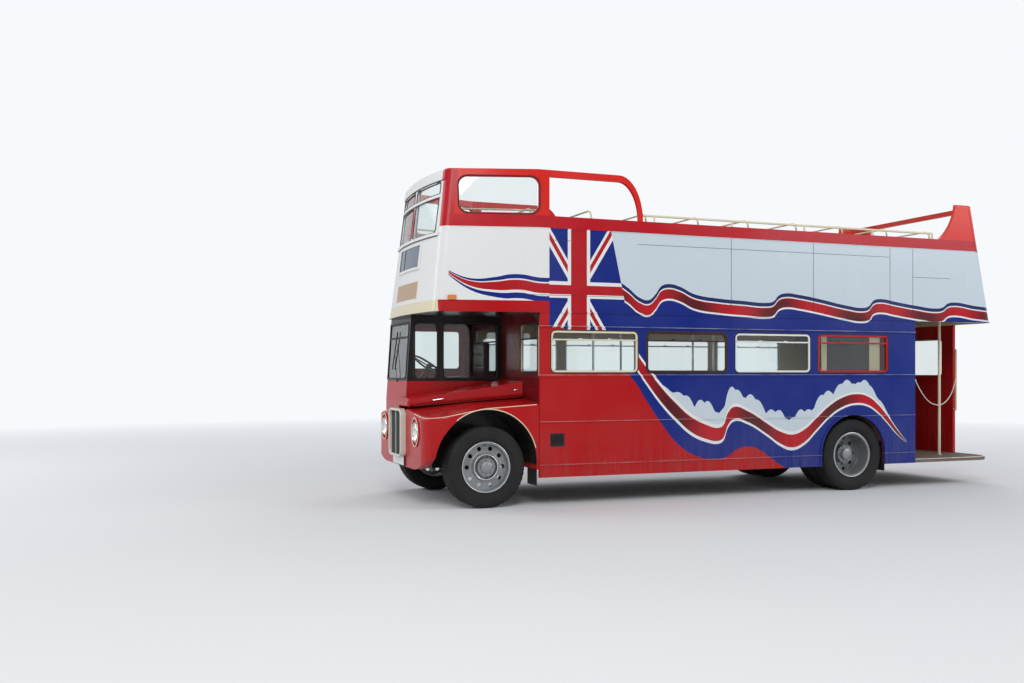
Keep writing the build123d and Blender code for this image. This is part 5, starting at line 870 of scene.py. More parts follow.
def sweep(path: Points, section: np.ndarray, normal: Points, closed: bool = False) -> np.ndarray:
    """Carry a section along a path that bends about one direction, as an array of n by m by 3.

    Each section point (a, b) goes to path + a * normal + b * side, where side is the path's direction crossed
    with the normal, widened at a corner by one over the cosine of half its turn.

    Args:
        path: n by 3 points.
        section: m by 2 points, first along the normal and then to the side.
        normal: one direction, or one for each path point.
        closed: the path's last point joins its first.
    """
    path = np.asarray(path, float)
    after = np.roll(path, -1, axis=0) - path
    before = path - np.roll(path, 1, axis=0)
    if not closed:
        after[-1] = before[-1]
        before[0] = after[0]
    after /= np.linalg.norm(after, axis=1, keepdims=True)
    before /= np.linalg.norm(before, axis=1, keepdims=True)
    along = after + before
    along /= np.linalg.norm(along, axis=1, keepdims=True)
    up = np.broadcast_to(np.asarray(normal, float), path.shape)
    side = np.cross(along, up)
    side /= np.linalg.norm(side, axis=1, keepdims=True)
    widen = 1.0 / np.clip(np.sum(along * after, axis=1), 0.35, 1.0)
    rise = section[None, :, :1] * up[:, None, :]
    return path[:, None, :] + rise + section[None, :, 1:] * (side * widen[:, None])[:, None, :]


def disc_section(radius: float, sides: int = 10) -> np.ndarray:
    """Round section: a point at each equal angle round a circle."""
    angle = np.arange(sides) * 2 * np.pi / sides
    return radius * np.stack((np.cos(angle), np.sin(angle)), axis=1)


def bead_section(width: float, height: float, points: int = 7, sink: float = 0.0015) -> np.ndarray:
    """Half-round bead: half an ellipse that stands on a foot sunk a little into the panel."""
    angle = np.linspace(0, np.pi, points)
    curve = np.stack((height * np.sin(angle), width / 2 * np.cos(angle)), axis=1)
    return np.vstack((curve, [[-sink, -width / 2], [-sink, width / 2]]))


def box_section(height: float, width: float, sink: float = 0.001) -> np.ndarray:
    """Flat strip: a rectangle that stands on the panel by its height."""
    return np.array([[-sink, -width / 2], [height, -width / 2], [height, width / 2], [-sink, width / 2]])


def round_bar(height: float, width: float, nose: float, steps: int = 5) -> np.ndarray:
    """Bar that stands on a panel: straight sides and front corners rounded by a quarter circle."""
    quarter = np.linspace(0.0, np.pi / 2, steps)
    left = np.stack((height - nose + nose * np.sin(quarter), -width / 2 + nose - nose * np.cos(quarter)), axis=1)
    return np.vstack(([[0.0, -width / 2]], left, left[::-1] * (1.0, -1.0), [[0.0, width / 2]]))


def rounded_loop(centre: Points, half: Points, radius: float, corner: int = 7) -> np.ndarray:
    """Rounded rectangle as n by 2 points, running round once: four quarter circles joined by straight sides."""
    quarter = np.linspace(0, np.pi / 2, corner)
    turns = np.concatenate([quarter + k * np.pi / 2 for k in range(4)])
    signs = np.repeat(np.array([[1, 1], [-1, 1], [-1, -1], [1, -1]], float), corner, axis=0)
    arc = radius * np.stack((np.cos(turns), np.sin(turns)), axis=1)
    return np.asarray(centre) + signs * (np.asarray(half) - radius) + arc


def rounded_box(low: Pair, high: Pair, radius: float, corner: int = 7, inset: float = 0.0) -> np.ndarray:
    """Rounded rectangle inside two opposite corners by an inset."""
    low, high = np.array(low), np.array(high)
    return rounded_loop((low + high) / 2, (high - low) / 2 - inset, radius, corner)


def window_loop(middle: float, inset: float) -> np.ndarray:
    """Outline (x, z) of a lower window, inside its opening by an inset."""
    return rounded_loop((middle, WINDOW_Z), np.array(WINDOW_HALF) - inset, WINDOW_CORNER - inset)


def on_x(loop: np.ndarray, x: float) -> np.ndarray:
    """Points (y, z) put on a plane of one x."""
    return np.column_stack((np.full(len(loop), x), loop))


def on_side(loop: np.ndarray, y: float) -> np.ndarray:
    """Points (x, z) put on a plane of one y."""
    return np.column_stack((loop[:, 0], np.full(len(loop), y), loop[:, 1]))


def on_top(loop: np.ndarray, z: float) -> np.ndarray:
    """Points (x, y) put on a plane of one z."""
    return np.column_stack((loop, np.full(len(loop), z)))


def on_front(loop: np.ndarray, proud: float) -> np.ndarray:
    """Points (y, z) laid on the upper front, in front of its skin by a distance."""
    return np.column_stack((nose_x(loop[:, 0], loop[:, 1]) + proud, loop))


def on_skin(loop: np.ndarray, side: int, proud: float) -> np.ndarray:
    """Points (x, z) laid on the upper body's side, outside its skin by a distance."""
    return np.column_stack((loop[:, 0], side * (skin_y(loop[:, 0], loop[:, 1]) + proud), loop[:, 1]))


def line(start: Pair, end: Pair, count: int) -> np.ndarray:
    """Evenly spaced points on a straight line in a plane."""
    return np.linspace(start, end, count)


def arc(centre: Pair, radii: Pair, turns: np.ndarray) -> np.ndarray:
    """Points of an ellipse in a plane at the angles given."""
    return np.column_stack((centre[0] + radii[0] * np.cos(turns), centre[1] + radii[1] * np.sin(turns)))


def eased(points: Points, radius: float, steps: int = 7) -> np.ndarray:
    """Path whose corners are rounded: each corner's two cut points joined by a parabola."""
    points = np.asarray(points, float)
    share = np.linspace(0.0, 1.0, steps)[:, None]
    parts = [points[:1]]
    for before, corner, after in zip(points, points[1:], points[2:]):
        first, last = (
            corner + (end - corner) * min(radius / np.linalg.norm(end - corner), 0.5) for end in (before, after)
        )
        parts.append((1 - share) ** 2 * first + 2 * share * (1 - share) * corner + share**2 * last)
    return np.concatenate((*parts, points[-1:]))


@dataclass
class Studio:
    """Camera, world, lamps and the plain floor."""

    camera_at: Point = (7.3167, 12.1, 1.5624)
    turn: float = 158.893
    lens: float = 35.7
    shift_y: float = 0.03
    floor_size: float = 60.0
    gloss_share: float = 0.45
    white: Colour = (0.93, 0.95, 0.98)
    sky: Colour = (0.80, 0.86, 0.95)
    sky_strength: float = 0.48
    aim: Point = (0.0, 0.0, 1.8)
    # Name, place, size, power and tint of each lamp
    lamps: tuple[tuple[str, Point, float, float, Colour], ...] = (
        ("key", (9.0, 12.0, 11.0), 7.0, 1000.0, (1.0, 0.98, 0.95)),
        ("fill", (-10.0, 9.0, 8.0), 8.0, 560.0, (0.94, 0.97, 1.0)),
        ("front", (14.0, -6.0, 7.0), 7.0, 500.0, (1.0, 1.0, 1.0)),
        ("back", (-8.0, -12.0, 9.0), 9.0, 560.0, (1.0, 1.0, 1.0)),
    )

    def build(self) -> None:
        """Make the camera, the floor and the lights."""
        scene = bpy.context.scene
        scene.view_settings.view_transform = "Standard"
        scene.camera = self.put("camera", bpy.data.cameras.new("camera"), self.camera_at, math.pi / 2, self.turn)
        scene.camera.data.lens = self.lens
        scene.camera.data.shift_y = self.shift_y
        scene.camera.data.clip_end = 200
        self.floor()
        self.world()
        for lamp in self.lamps:
            self.lamp(*lamp)

    def put(self, name: str, data: bpy.types.ID, place_at: Point, pitch: float, turn: float) -> bpy.types.Object:
        """Link a camera or a lamp into the scene, pitched in radians and turned in degrees."""
        obj = bpy.data.objects.new(name, data)
        obj.location = place_at
        obj.rotation_euler = (pitch, 0, math.radians(turn))
        bpy.context.scene.collection.objects.link(obj)
        return obj

    def floor(self) -> None:
        """A pale floor, white to the camera far from the bus, with soft variation."""
        half = self.floor_size / 2
        mesh = bpy.data.meshes.new("studio_floor")
        corners = [(-half, -half, 0), (half, -half, 0), (half, half, 0), (-half, half, 0)]
        mesh.from_pydata(corners, [], [(0, 1, 2, 3)])
        floor = bpy.data.objects.new("studio_floor", mesh)
        bpy.context.scene.collection.objects.link(floor)
        canvas = Canvas("studio_floor")
        x, y, _ = canvas.axes()
        base = canvas.noise(0.4, 2.0).span(0.3, 0.7, 0.0, 0.3).mix((0.80, 0.80, 0.80), (0.76, 0.76, 0.77))
        matte = canvas.node("ShaderNodeBsdfPrincipled", {"Base Color": base, "Roughness": 0.85})
        glow = canvas.node("ShaderNodeEmission", {"Color": self.white})
        far = x.radius(y).span(6.0, 22.0) * canvas.seen(1.0)
        blend = canvas.node("ShaderNodeMixShader", {0: far, 1: matte, 2: glow})
        canvas.node("ShaderNodeOutputMaterial", {0: blend})
        mesh.materials.append(canvas.owner)

    def world(self) -> None:
        """A pale world that looks white to the camera, to glossy and to transmitted rays."""
        canvas = Canvas("studio", bpy.data.worlds)
        soft = canvas.node("ShaderNodeBackground", {0: self.sky, 1: self.sky_strength})
        white = canvas.node("ShaderNodeBackground", {0: self.white, 1: 1.0})
        blend = canvas.node("ShaderNodeMixShader", {0: canvas.seen(self.gloss_share), 1: soft, 2: white})
        canvas.node("ShaderNodeOutputWorld", {0: blend})
        bpy.context.scene.world = canvas.owner

    def lamp(self, name: str, place_at: Point, size: float, power: float, tint: Colour) -> None:
        """One square soft lamp that faces the middle of the bus."""
        data = bpy.data.lights.new(name, "AREA")
        data.size = size
        data.energy = power
        data.color = tint
        toward = np.array(self.aim) - np.array(place_at)
        pitch = math.atan2(math.hypot(toward[0], toward[1]), -toward[2])
        self.put(name, data, place_at, pitch, math.degrees(math.atan2(toward[1], toward[0])) - 90.0)


@dataclass
class BarrierRope:
    """White rope that hangs across the platform from an eye by the doorway to one on the rear wall's rail."""

    diameter: float = 0.014
    length: float = 1.69
    route: tuple[Point, ...] = (
        (-2.7772, 1.1907, 1.4449),
        (-2.906, 1.130, 1.328),
        (-3.058, 1.056, 1.219),
        (-3.228, 0.975, 1.140),
        (-3.400, 0.892, 1.104),
        (-3.560, 0.826, 1.096),
        (-3.724, 0.752, 1.130),
        (-3.880, 0.676, 1.208),
        (-4.022, 0.600, 1.316),
        (-4.1226, 0.5424, 1.4432),
    )

    def build(self) -> None:
        """Make the rope as one smooth curve on the route's points."""
        curve = bpy.data.curves.new("barrier_rope_line", "CURVE")
        curve.dimensions = "3D"
        curve.resolution_u = 12
        curve.bevel_depth = self.diameter / 2
        curve.bevel_resolution = 4
        curve.use_fill_caps = True
        spline = curve.splines.new("NURBS")
        spline.points.add(len(self.route) - 1)
        for point, place_at in zip(spline.points, self.route):
            point.co = (*place_at, 1.0)
        spline.order_u = 3
        spline.use_endpoint_u = True
        rope = bpy.data.objects.new("platform_rope", curve)
        bpy.context.scene.collection.objects.link(rope)
        curve.materials.append(Finishes.get("rope"))
        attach(rope, "body")
        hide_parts("barrier_rope")
        LOG.info("platform_rope on body")


@dataclass
class Coachwork:
    """Finishes of the CAD nodes whose shapes stay."""

    # Each finish with its nodes
    kept: tuple[tuple[str, str], ...] = (
        ("chassis", "underframe front_suspension rear_axle driveline fuel_tank staircase cab_floor"),
        ("chassis", "knuckle_near knuckle_far"),
        ("iron", "engine_block"),
        ("boards", "lower_floor"),
        ("platform_boards", "platform"),
        ("upper_boards", "upper_floor"),
        ("side_livery", "lower_side_near lower_side_far upper_side_near upper_side_far upper_rear"),
        ("bulkhead", "front_bulkhead"),
        ("red", "lower_rear cab_door bonnet"),
        ("canopy", "canopy"),
        ("front_livery", "upper_front"),
        # The bay frames and the fins get the lighter red of painted sunlight
        ("sunlit_red", "bay_frame_near bay_frame_far"),
        ("fin_sunlit_red", "rear_frame"),
        ("cream", "handrails stair_guard platform_pole rope_eyes"),
        ("cab", "cab_shell"),
        ("wing", "near_wing cab_front"),
        ("glass", "window_glass cab_door_glass"),
        ("plastic", "steering_wheel steering_column"),
        ("aluminium", "lower_seat_frames upper_seat_frames"),
        ("marker", "marker_lamps"),
        ("seal", "mudflaps"),
        ("white", "destination_box"),
        ("wheel", "front_rim_near front_rim_far rear_rims_near rear_rims_far"),
    )

    def build(self) -> None:
        """Give each kept node its finish."""
        for finish, nodes in self.kept:
            for node in nodes.split():
                mesh = frame["nodes"][node].data
                mesh.materials.clear()
                mesh.materials.append(Finishes.get(finish))


class Wheel(Enum):
    """Sizes of the front wheels and of the rear pairs.

    Name, axle's place, middles of the tyres, nut circles (face, circle, count, nut's radius and height), cap
    (face, radius), valve (face, rise) and bright rings (across, radius, size).
    """

    FRONT = (
        ("front", "tyre"),
        FRONT_AXLE_X,
        (1.000,),
        ((1.054, 0.1215, 10, 0.0125, 0.020), (1.108, 0.087, 8, 0.008, 0.009)),
        ((1.124, 0.0), (1.124, 0.066), (1.128, 0.066), (1.136, 0.052), (1.141, 0.030), (1.1425, 0.0)),
        ((1.050, 0.246), (1.072, 0.250), (1.100, 0.262)),
        ((0.109, 0.290, 0.0048), (0.0965, 0.144, 0.0070), (0.0545, 0.176, 0.003)),
    )
    REAR = (
        ("rear", "tyres"),
        REAR_AXLE_X,
        (1.045, 0.733),
        ((0.903, 0.1500, 10, 0.0145, 0.024), (1.019, 0.0965, 10, 0.010, 0.011)),
        ((1.059, 0.0), (1.059, 0.072), (1.063, 0.072), (1.070, 0.060), (1.075, 0.034), (1.0765, 0.0)),
        (),
        ((0.109, 0.290, 0.0048), (0.104, 0.2715, 0.003)),
    )


@dataclass
class RoadWheels:
    """Tyres with zigzag grooves, shoulder notches and ribbed walls, wheel nuts, hub caps and rim rings."""

    half_tread: float = 0.1075
    grooves: tuple[float, ...] = (-0.064, -0.022, 0.022, 0.064)
    groove_half: Pair = (0.0035, 0.0055)
    groove_depth: float = 0.009
    zigzag: float = 0.004
    notch: float = 0.007
    rows: int = 192
    # Across, radius and share of the notch
    shoulder: tuple[Point, ...] = (
        (0.1045, 0.4695, 1.0), (0.115, 0.467, 1.0), (0.1235, 0.463, 1.0), (0.1295, 0.448, 0.4),
    )  # fmt: skip
    # Radius and lift in millimetres of the wall's ribs
    wall: tuple[Pair, ...] = (
        (0.440, 0), (0.434, 0), (0.431, 2), (0.425, 2), (0.422, 0), (0.410, 0), (0.396, 0), (0.380, 0), (0.362, 0),
        (0.347, 0), (0.342, 2), (0.332, 2), (0.327, 0), (0.314, 0), (0.306, 0), (0.303, 2), (0.297, 1),
    )  # fmt: skip
    bead: Pair = (0.0987, 0.2863)

    def columns(self) -> np.ndarray:
        """Columns of the tyre's section: place across, radius, share of the zigzag and share of the notch."""
        edge, (foot, lip) = self.half_tread - 0.012, self.groove_half
        tread = [(-edge, TYRE_R, 0.0, 0.0), (edge, TYRE_R, 0.0, 0.0)]
        tread[1:1] = [
            (place_at + across, TYRE_R - depth * self.groove_depth, 1.0, 0.0)
            for place_at in self.grooves
            for across, depth in ((-lip, 0.0), (-foot, 1.0), (foot, 1.0), (lip, 0.0))
        ]
        shoulder = [(across, radius, 0.0, share) for across, radius, share in self.shoulder]
        radii, lift = np.array(self.wall).T
        bend = np.polyfit((0.448, 0.378, 0.297), (0.1295, 0.1375, 0.0990), 2)
        wall = np.column_stack((np.polyval(bend, radii) + lift / 1000.0, radii, 0 * radii, 0 * radii))
        half = np.vstack((shoulder, wall, [(*self.bead, 0.0, 0.0)]))
        return np.vstack((half[::-1] * (-1, 1, 1, 1), tread, half))

    def tyre(self, centre: Point) -> np.ndarray:
        """One tyre about the Y axis, as rows by columns by 3 that close both ways.

        At angle t each column (s, r) goes to s plus its zigzag share of a triangle wave, and to r less its
        notch share of a square wave, both with 48 turns round the tyre.
        """
        place_at, radius, zigzag, notch = self.columns().T[:, None, :]
        row = np.arange(self.rows)
        wave = np.array((0.0, 1.0, 0.0, -1.0))[row % 4][:, None] * self.zigzag
        cut = np.array((1.0, 0.0, 0.0, 0.0, 1.0, 0.0, 0.0, 0.0))[row % 8][:, None] * self.notch
        across = place_at + wave * zigzag
        radius = radius - cut * notch
        angle = (row * 2 * np.pi / self.rows)[:, None]
        return np.stack((radius * np.cos(angle), across, radius * np.sin(angle)), axis=-1) + np.asarray(centre, float)

    def nut(self, side: int, radius: float, height: float) -> np.ndarray:
        """Profile (along, radius) of a nut on its washer, with the stud's end."""
        half = (
            (-0.001, 0), (-0.001, radius * 1.25), (0.003, radius * 1.25), (0.003, radius), (height - 0.004, radius),
            (height, radius * 0.8), (height, radius * 0.45), (height + 0.007, radius * 0.4), (height + 0.007, 0),
        )  # fmt: skip
        return np.array(half) * (side, 1)

    def wheel(self, sizes: Wheel, side: int, name: str) -> None:
        """Tyres, nuts, cap, valve and rings of one corner."""
        (end, word), axle_x, middles, circles, cap, valve, rings = sizes.value
        body, node = f"{end}_wheel_{name}", f"{end}_{word}_{name}"
        tyres = Piece(f"{node}_treaded")
        for y in middles:
            tyres.grid(self.tyre((axle_x, side * y, TYRE_R)), True, True)
        tyres.build("rubber", body, (node,), 28)
        metal = Piece(f"{end}_hub_{name}_nuts")
        for y, circle, count, radius, height in circles:
            for angle in np.arange(count) * 2 * np.pi / count:
                spot = (axle_x + circle * math.cos(angle), side * y, TYRE_R + circle * math.sin(angle))
                metal.turned(self.nut(side, radius, height), spot, "Y", 12)
        metal.turned(np.array(cap) * (side, 1), (axle_x, 0, TYRE_R), "Y", 40)
        if valve:
            stem = eased([(axle_x, side * y, TYRE_R + rise) for y, rise in valve], 0.012)
            metal.strip(stem, disc_section(0.0045, 8), FORWARD)
        metal.build("wheel", body)
        bright = Piece(f"{end}_rim_{name}_rings")
        for across, radius, size in rings:
            profile = disc_section(size, 8) + np.array((side * across, radius))
            bright.turned(profile, (axle_x, side * middles[0], TYRE_R), "Y", 96, True)
        bright.build("aluminium", body)

    def build(self) -> None:
        """Make all four corners."""
        for side, name in SIDES:
            for sizes in Wheel:
                self.wheel(sizes, side, name)


@dataclass(frozen=True)
class Cushion:
    """One stuffed pad: a crowned face, sides that pull in between the corners, sewn channels and piping."""

    half_depth: float
    half_width: float
    thick: float
    channels: tuple[float, ...] = (0.0,)
    cross: tuple[float, ...] = ()
    drop: float = 0.024
    pull: float = 0.007
    corner: float = 0.045
    groove: float = 0.012
    groove_width: float = 0.009
    piping: float = 0.0045
    swell: float = 0.012

    def samples(self, half: float, count: int, seams: Sequence[float]) -> np.ndarray:
        """Places across the pad, closer together at its edges and at its seams."""
        base = half * np.sin(np.pi / 2 * np.linspace(-1, 1, count))
        if not seams:
            return base
        offsets = np.array((-0.020, -0.011, -0.005, 0.0, 0.005, 0.011, 0.020))
        seam = (np.asarray(seams)[:, None] + offsets).ravel()
        far = np.min(np.abs(base[:, None] - seam[None, :]), axis=1) > 0.007
        return np.sort(np.concatenate((base[far], seam)))

    def bells(self, across: np.ndarray, seams: Sequence[float]) -> np.ndarray:
        """Sum of a bell curve about each seam."""
        return sum((np.exp(-(((across - seam) / self.groove_width) ** 2)) for seam in seams), 0.0 * across)

    def add(self, pieces: Sequence[Piece], origin: Point, axes: Sequence[Point]) -> None:
        """Add the pad's faces to the first piece and the cord of its piping to the second.

        Over (a, b) from -1 to 1 the face rises by the square root of (1 - |a|^3)(1 - |b|^3), less a bell curve
        along each seam. The outline pulls in by a share of 1 - b^2 and 1 - a^2, and its corners are quarter
        circles. The band round it swells by a sine from the face's edge down to the flat base.

        Args:
            pieces: piece of pads and piece of piping.
            origin: middle of the pad's base.
            axes: directions of its depth, its width and its thickness.
        """
        u = self.samples(self.half_depth, 13, self.cross)
        v = self.samples(self.half_width, 21, self.channels)
        u, v = np.meshgrid(u, v, indexing="ij")
        a, b = u / self.half_depth, v / self.half_width
        x = u - a * self.pull * (1 - b**2)
        y = v - b * self.pull * (1 - a**2)
        flat_x, flat_y = self.half_depth - self.corner, self.half_width - self.corner
        over_x, over_y = np.abs(x) - flat_x, np.abs(y) - flat_y
        both = (over_x > 0) & (over_y > 0)
        length = np.where(both, np.hypot(over_x, over_y), 1.0)
        share = np.where(both, np.maximum(over_x, over_y) / np.maximum(length, 1e-9), 1.0)
        x = np.where(both, np.sign(x) * (flat_x + over_x * share), x)
        y = np.where(both, np.sign(y) * (flat_y + over_y * share), y)
        crown = np.sqrt(np.clip((1 - np.abs(a) ** 3) * (1 - np.abs(b) ** 3), 0, None))
        seams = self.bells(v, self.channels) + self.bells(u, self.cross)
        shoulder = self.thick - self.drop
        height = shoulder + self.drop * crown - self.groove * crown * np.clip(seams, 0, 1)

        def world(*parts: object) -> np.ndarray:
            """Points of the pad put at its place."""
            return np.stack(np.broadcast_arrays(*parts), axis=-1) @ np.asarray(axes, float) + np.asarray(origin, float)

        loop = [np.concatenate((g[0, :-1], g[:-1, -1], g[-1, :0:-1], g[:0:-1, 0])) for g in (x, y)]
        level = np.linspace(0, 1, 6)[:, None]
        swell = 1 + self.swell * np.sin(np.pi * level)
        band = world(loop[0] * swell, loop[1] * swell, shoulder * (1 - level))
        pieces[0].grid(world(x, y, height)).grid(world(x, y, 0.0)).grid(band, wrap_columns=True)
        pieces[1].strip(world(*loop, shoulder), disc_section(self.piping, 6), axes[2], True)


@dataclass
class DeckSeats:
    """Cushions and backs of every double seat, the benches over the wheels and the driver's seat."""

    half_width: float = 0.430
    wall_y: float = 1.156
    depth: float = 0.430
    pitch: float = 0.735
    cushion_base: float = 0.345
    cushion_thick: float = 0.095
    back_gap: float = 0.012
    back_base: float = 0.455
    back_height: float = 0.435
    back_thick: float = 0.062
    bench: Pair = (-2.640, -1.180)
    bench_z: float = 1.0443
    bench_wall_y: float = 1.1737
    bench_back: float = 0.385
    handle_z: Pair = (3.070, 3.500)
    handle_r: float = 0.011
    handle_inset: float = 0.03
    handle_bend: float = 0.11
    cab_floor_z: float = 1.235
    # Columns: front edge of the first cushion, rows, side, shift towards the aisle
    lower_rows: tuple[tuple[float, int, int, float], ...] = ((2.180, 4, 1, 0.0), (2.180, 4, -1, 0.0))
    upper_rows: tuple[tuple[float, int, int, float], ...] = (
        (3.330, 1, 1, 0.110), (3.330, 1, -1, 0.110), (2.595, 8, 1, 0.0), (2.595, 7, -1, 0.0),
    )  # fmt: skip

    def places(self, rows: Iterable[tuple[float, int, int, float]]) -> Iterable[Pair]:
        """Front edge and middle of each double seat."""
        for front_x, count, side, shift in rows:
            for index in range(count):
                yield front_x - index * self.pitch, side * (self.wall_y - shift - self.half_width)

    def deck(self, name: str, rows: Iterable[tuple[float, int, int, float]], floor_z: float) -> None:
        """All the double seats of one deck."""
        seat = Cushion(self.depth / 2 - 0.006, self.half_width - 0.008, self.cushion_thick)
        half_back = self.back_height / 2 - 0.006
        back = Cushion(half_back, self.half_width - 0.008, self.back_thick, cross=(0.09,), drop=0.018)
        pads = Piece(f"{name}_seat_cushions"), Piece(f"{name}_seat_piping")
        backs = Piece(f"{name}_seat_backs"), Piece(f"{name}_back_piping")
        for x, y in self.places(rows):
            seat.add(pads, (x - self.depth / 2, y, floor_z + self.cushion_base), LYING)
            rear_x = x - self.depth - self.back_gap - self.back_thick
            back.add(backs, (rear_x, y, floor_z + self.back_base + self.back_height / 2), STANDING)
        if name == "lower":
            self.benches(pads, backs)
        node = f"{name}_seat_pads"
        pads[0].build(f"{name}_cloth", "body", (node,), 60)
        backs[0].build(f"{name}_cloth", "body", (node,), 60)
        pads[1].build(f"{name}_piping", "body", (node,))
        backs[1].build(f"{name}_piping", "body", (node,))

    def benches(self, pads: Sequence[Piece], backs: Sequence[Piece]) -> None:
        """Long benches over the rear wheels, with three places each."""
        half, middle = (self.bench[1] - self.bench[0]) / 2, (self.bench[1] + self.bench[0]) / 2
        seams = (-half / 3, half / 3)
        inner, outer = self.wall_y - self.depth, self.wall_y - 0.074
        seat = Cushion((outer - inner) / 2 - 0.005, half - 0.008, self.cushion_thick - 0.0005, seams)
        back = Cushion(self.bench_back / 2 - 0.006, half - 0.008, self.back_thick, seams, drop=0.018)
        back_z = self.bench_z + self.cushion_thick + 0.015 + self.bench_back / 2
        for side, _ in SIDES:
            seat.add(pads, (middle, side * (inner + outer) / 2, self.bench_z), ((0, side, 0), FORWARD, UP))
            back.add(backs, (middle, side * self.bench_wall_y, back_z), (UP, FORWARD, (0, -side, 0)))

    def handles(self) -> None:
        """Pale tubes that stand up from the upper seats' backs and bend over their tops."""
        piece = Piece("upper_seat_handles")
        foot, top = self.handle_z
        for x, y in self.places(self.upper_rows):
            plane_x = x - self.depth - self.back_gap - self.back_thick - 0.0163 - self.handle_r + 0.001
            low, high = y - self.half_width + self.handle_inset, y + self.half_width - self.handle_inset
            corners = [(plane_x, low, foot), (plane_x, low, top), (plane_x, high, top), (plane_x, high, foot)]
            piece.strip(eased(corners, self.handle_bend), disc_section(self.handle_r, 10), FORWARD)
        piece.build("cream")

    def driver(self) -> None:
        """The driver's seat on its pedestal."""
        pads = Piece("driver_seat_pads"), Piece("driver_seat_piping")
        seat = Cushion(0.198, 0.222, 0.100, (), (0.0,))
        seat.add(pads, (3.098, CAB_Y, self.cab_floor_z + 0.180), LYING)
        back = Cushion(0.234, 0.222, 0.088, (), (-0.08, 0.08), drop=0.022)
        back.add(pads, (2.801, CAB_Y, self.cab_floor_z + 0.480), STANDING)
        pads[0].build("vinyl", "body", ("driver_seat",), 60)
        pads[1].build("lower_piping", "body", ("driver_seat",))
        stand = Piece("driver_seat_stand")
        profile = (
            (0.0, 0.0), (0.0, 0.145), (0.010, 0.145), (0.016, 0.075), (0.120, 0.055), (0.165, 0.120), (0.180, 0.150),
            (0.180, 0.0),
        )  # fmt: skip
        stand.turned(profile, (3.080, CAB_Y, self.cab_floor_z), "Z", 32)
        stand.build("chassis", "body", ("driver_seat",))

    def build(self) -> None:
        """Make the seats of both decks and of the cab."""
        self.deck("lower", self.lower_rows, LOWER_FLOOR_Z)
        self.deck("upper", self.upper_rows, UPPER_FLOOR_Z)
        self.handles()
        self.driver()


class WindowStyle(Enum):
    """Finish of each lower window's frame, from the front rearwards."""

    FIRST = "cream"
    SECOND = "brown"
    THIRD = "white"
    FOURTH = "crimson"


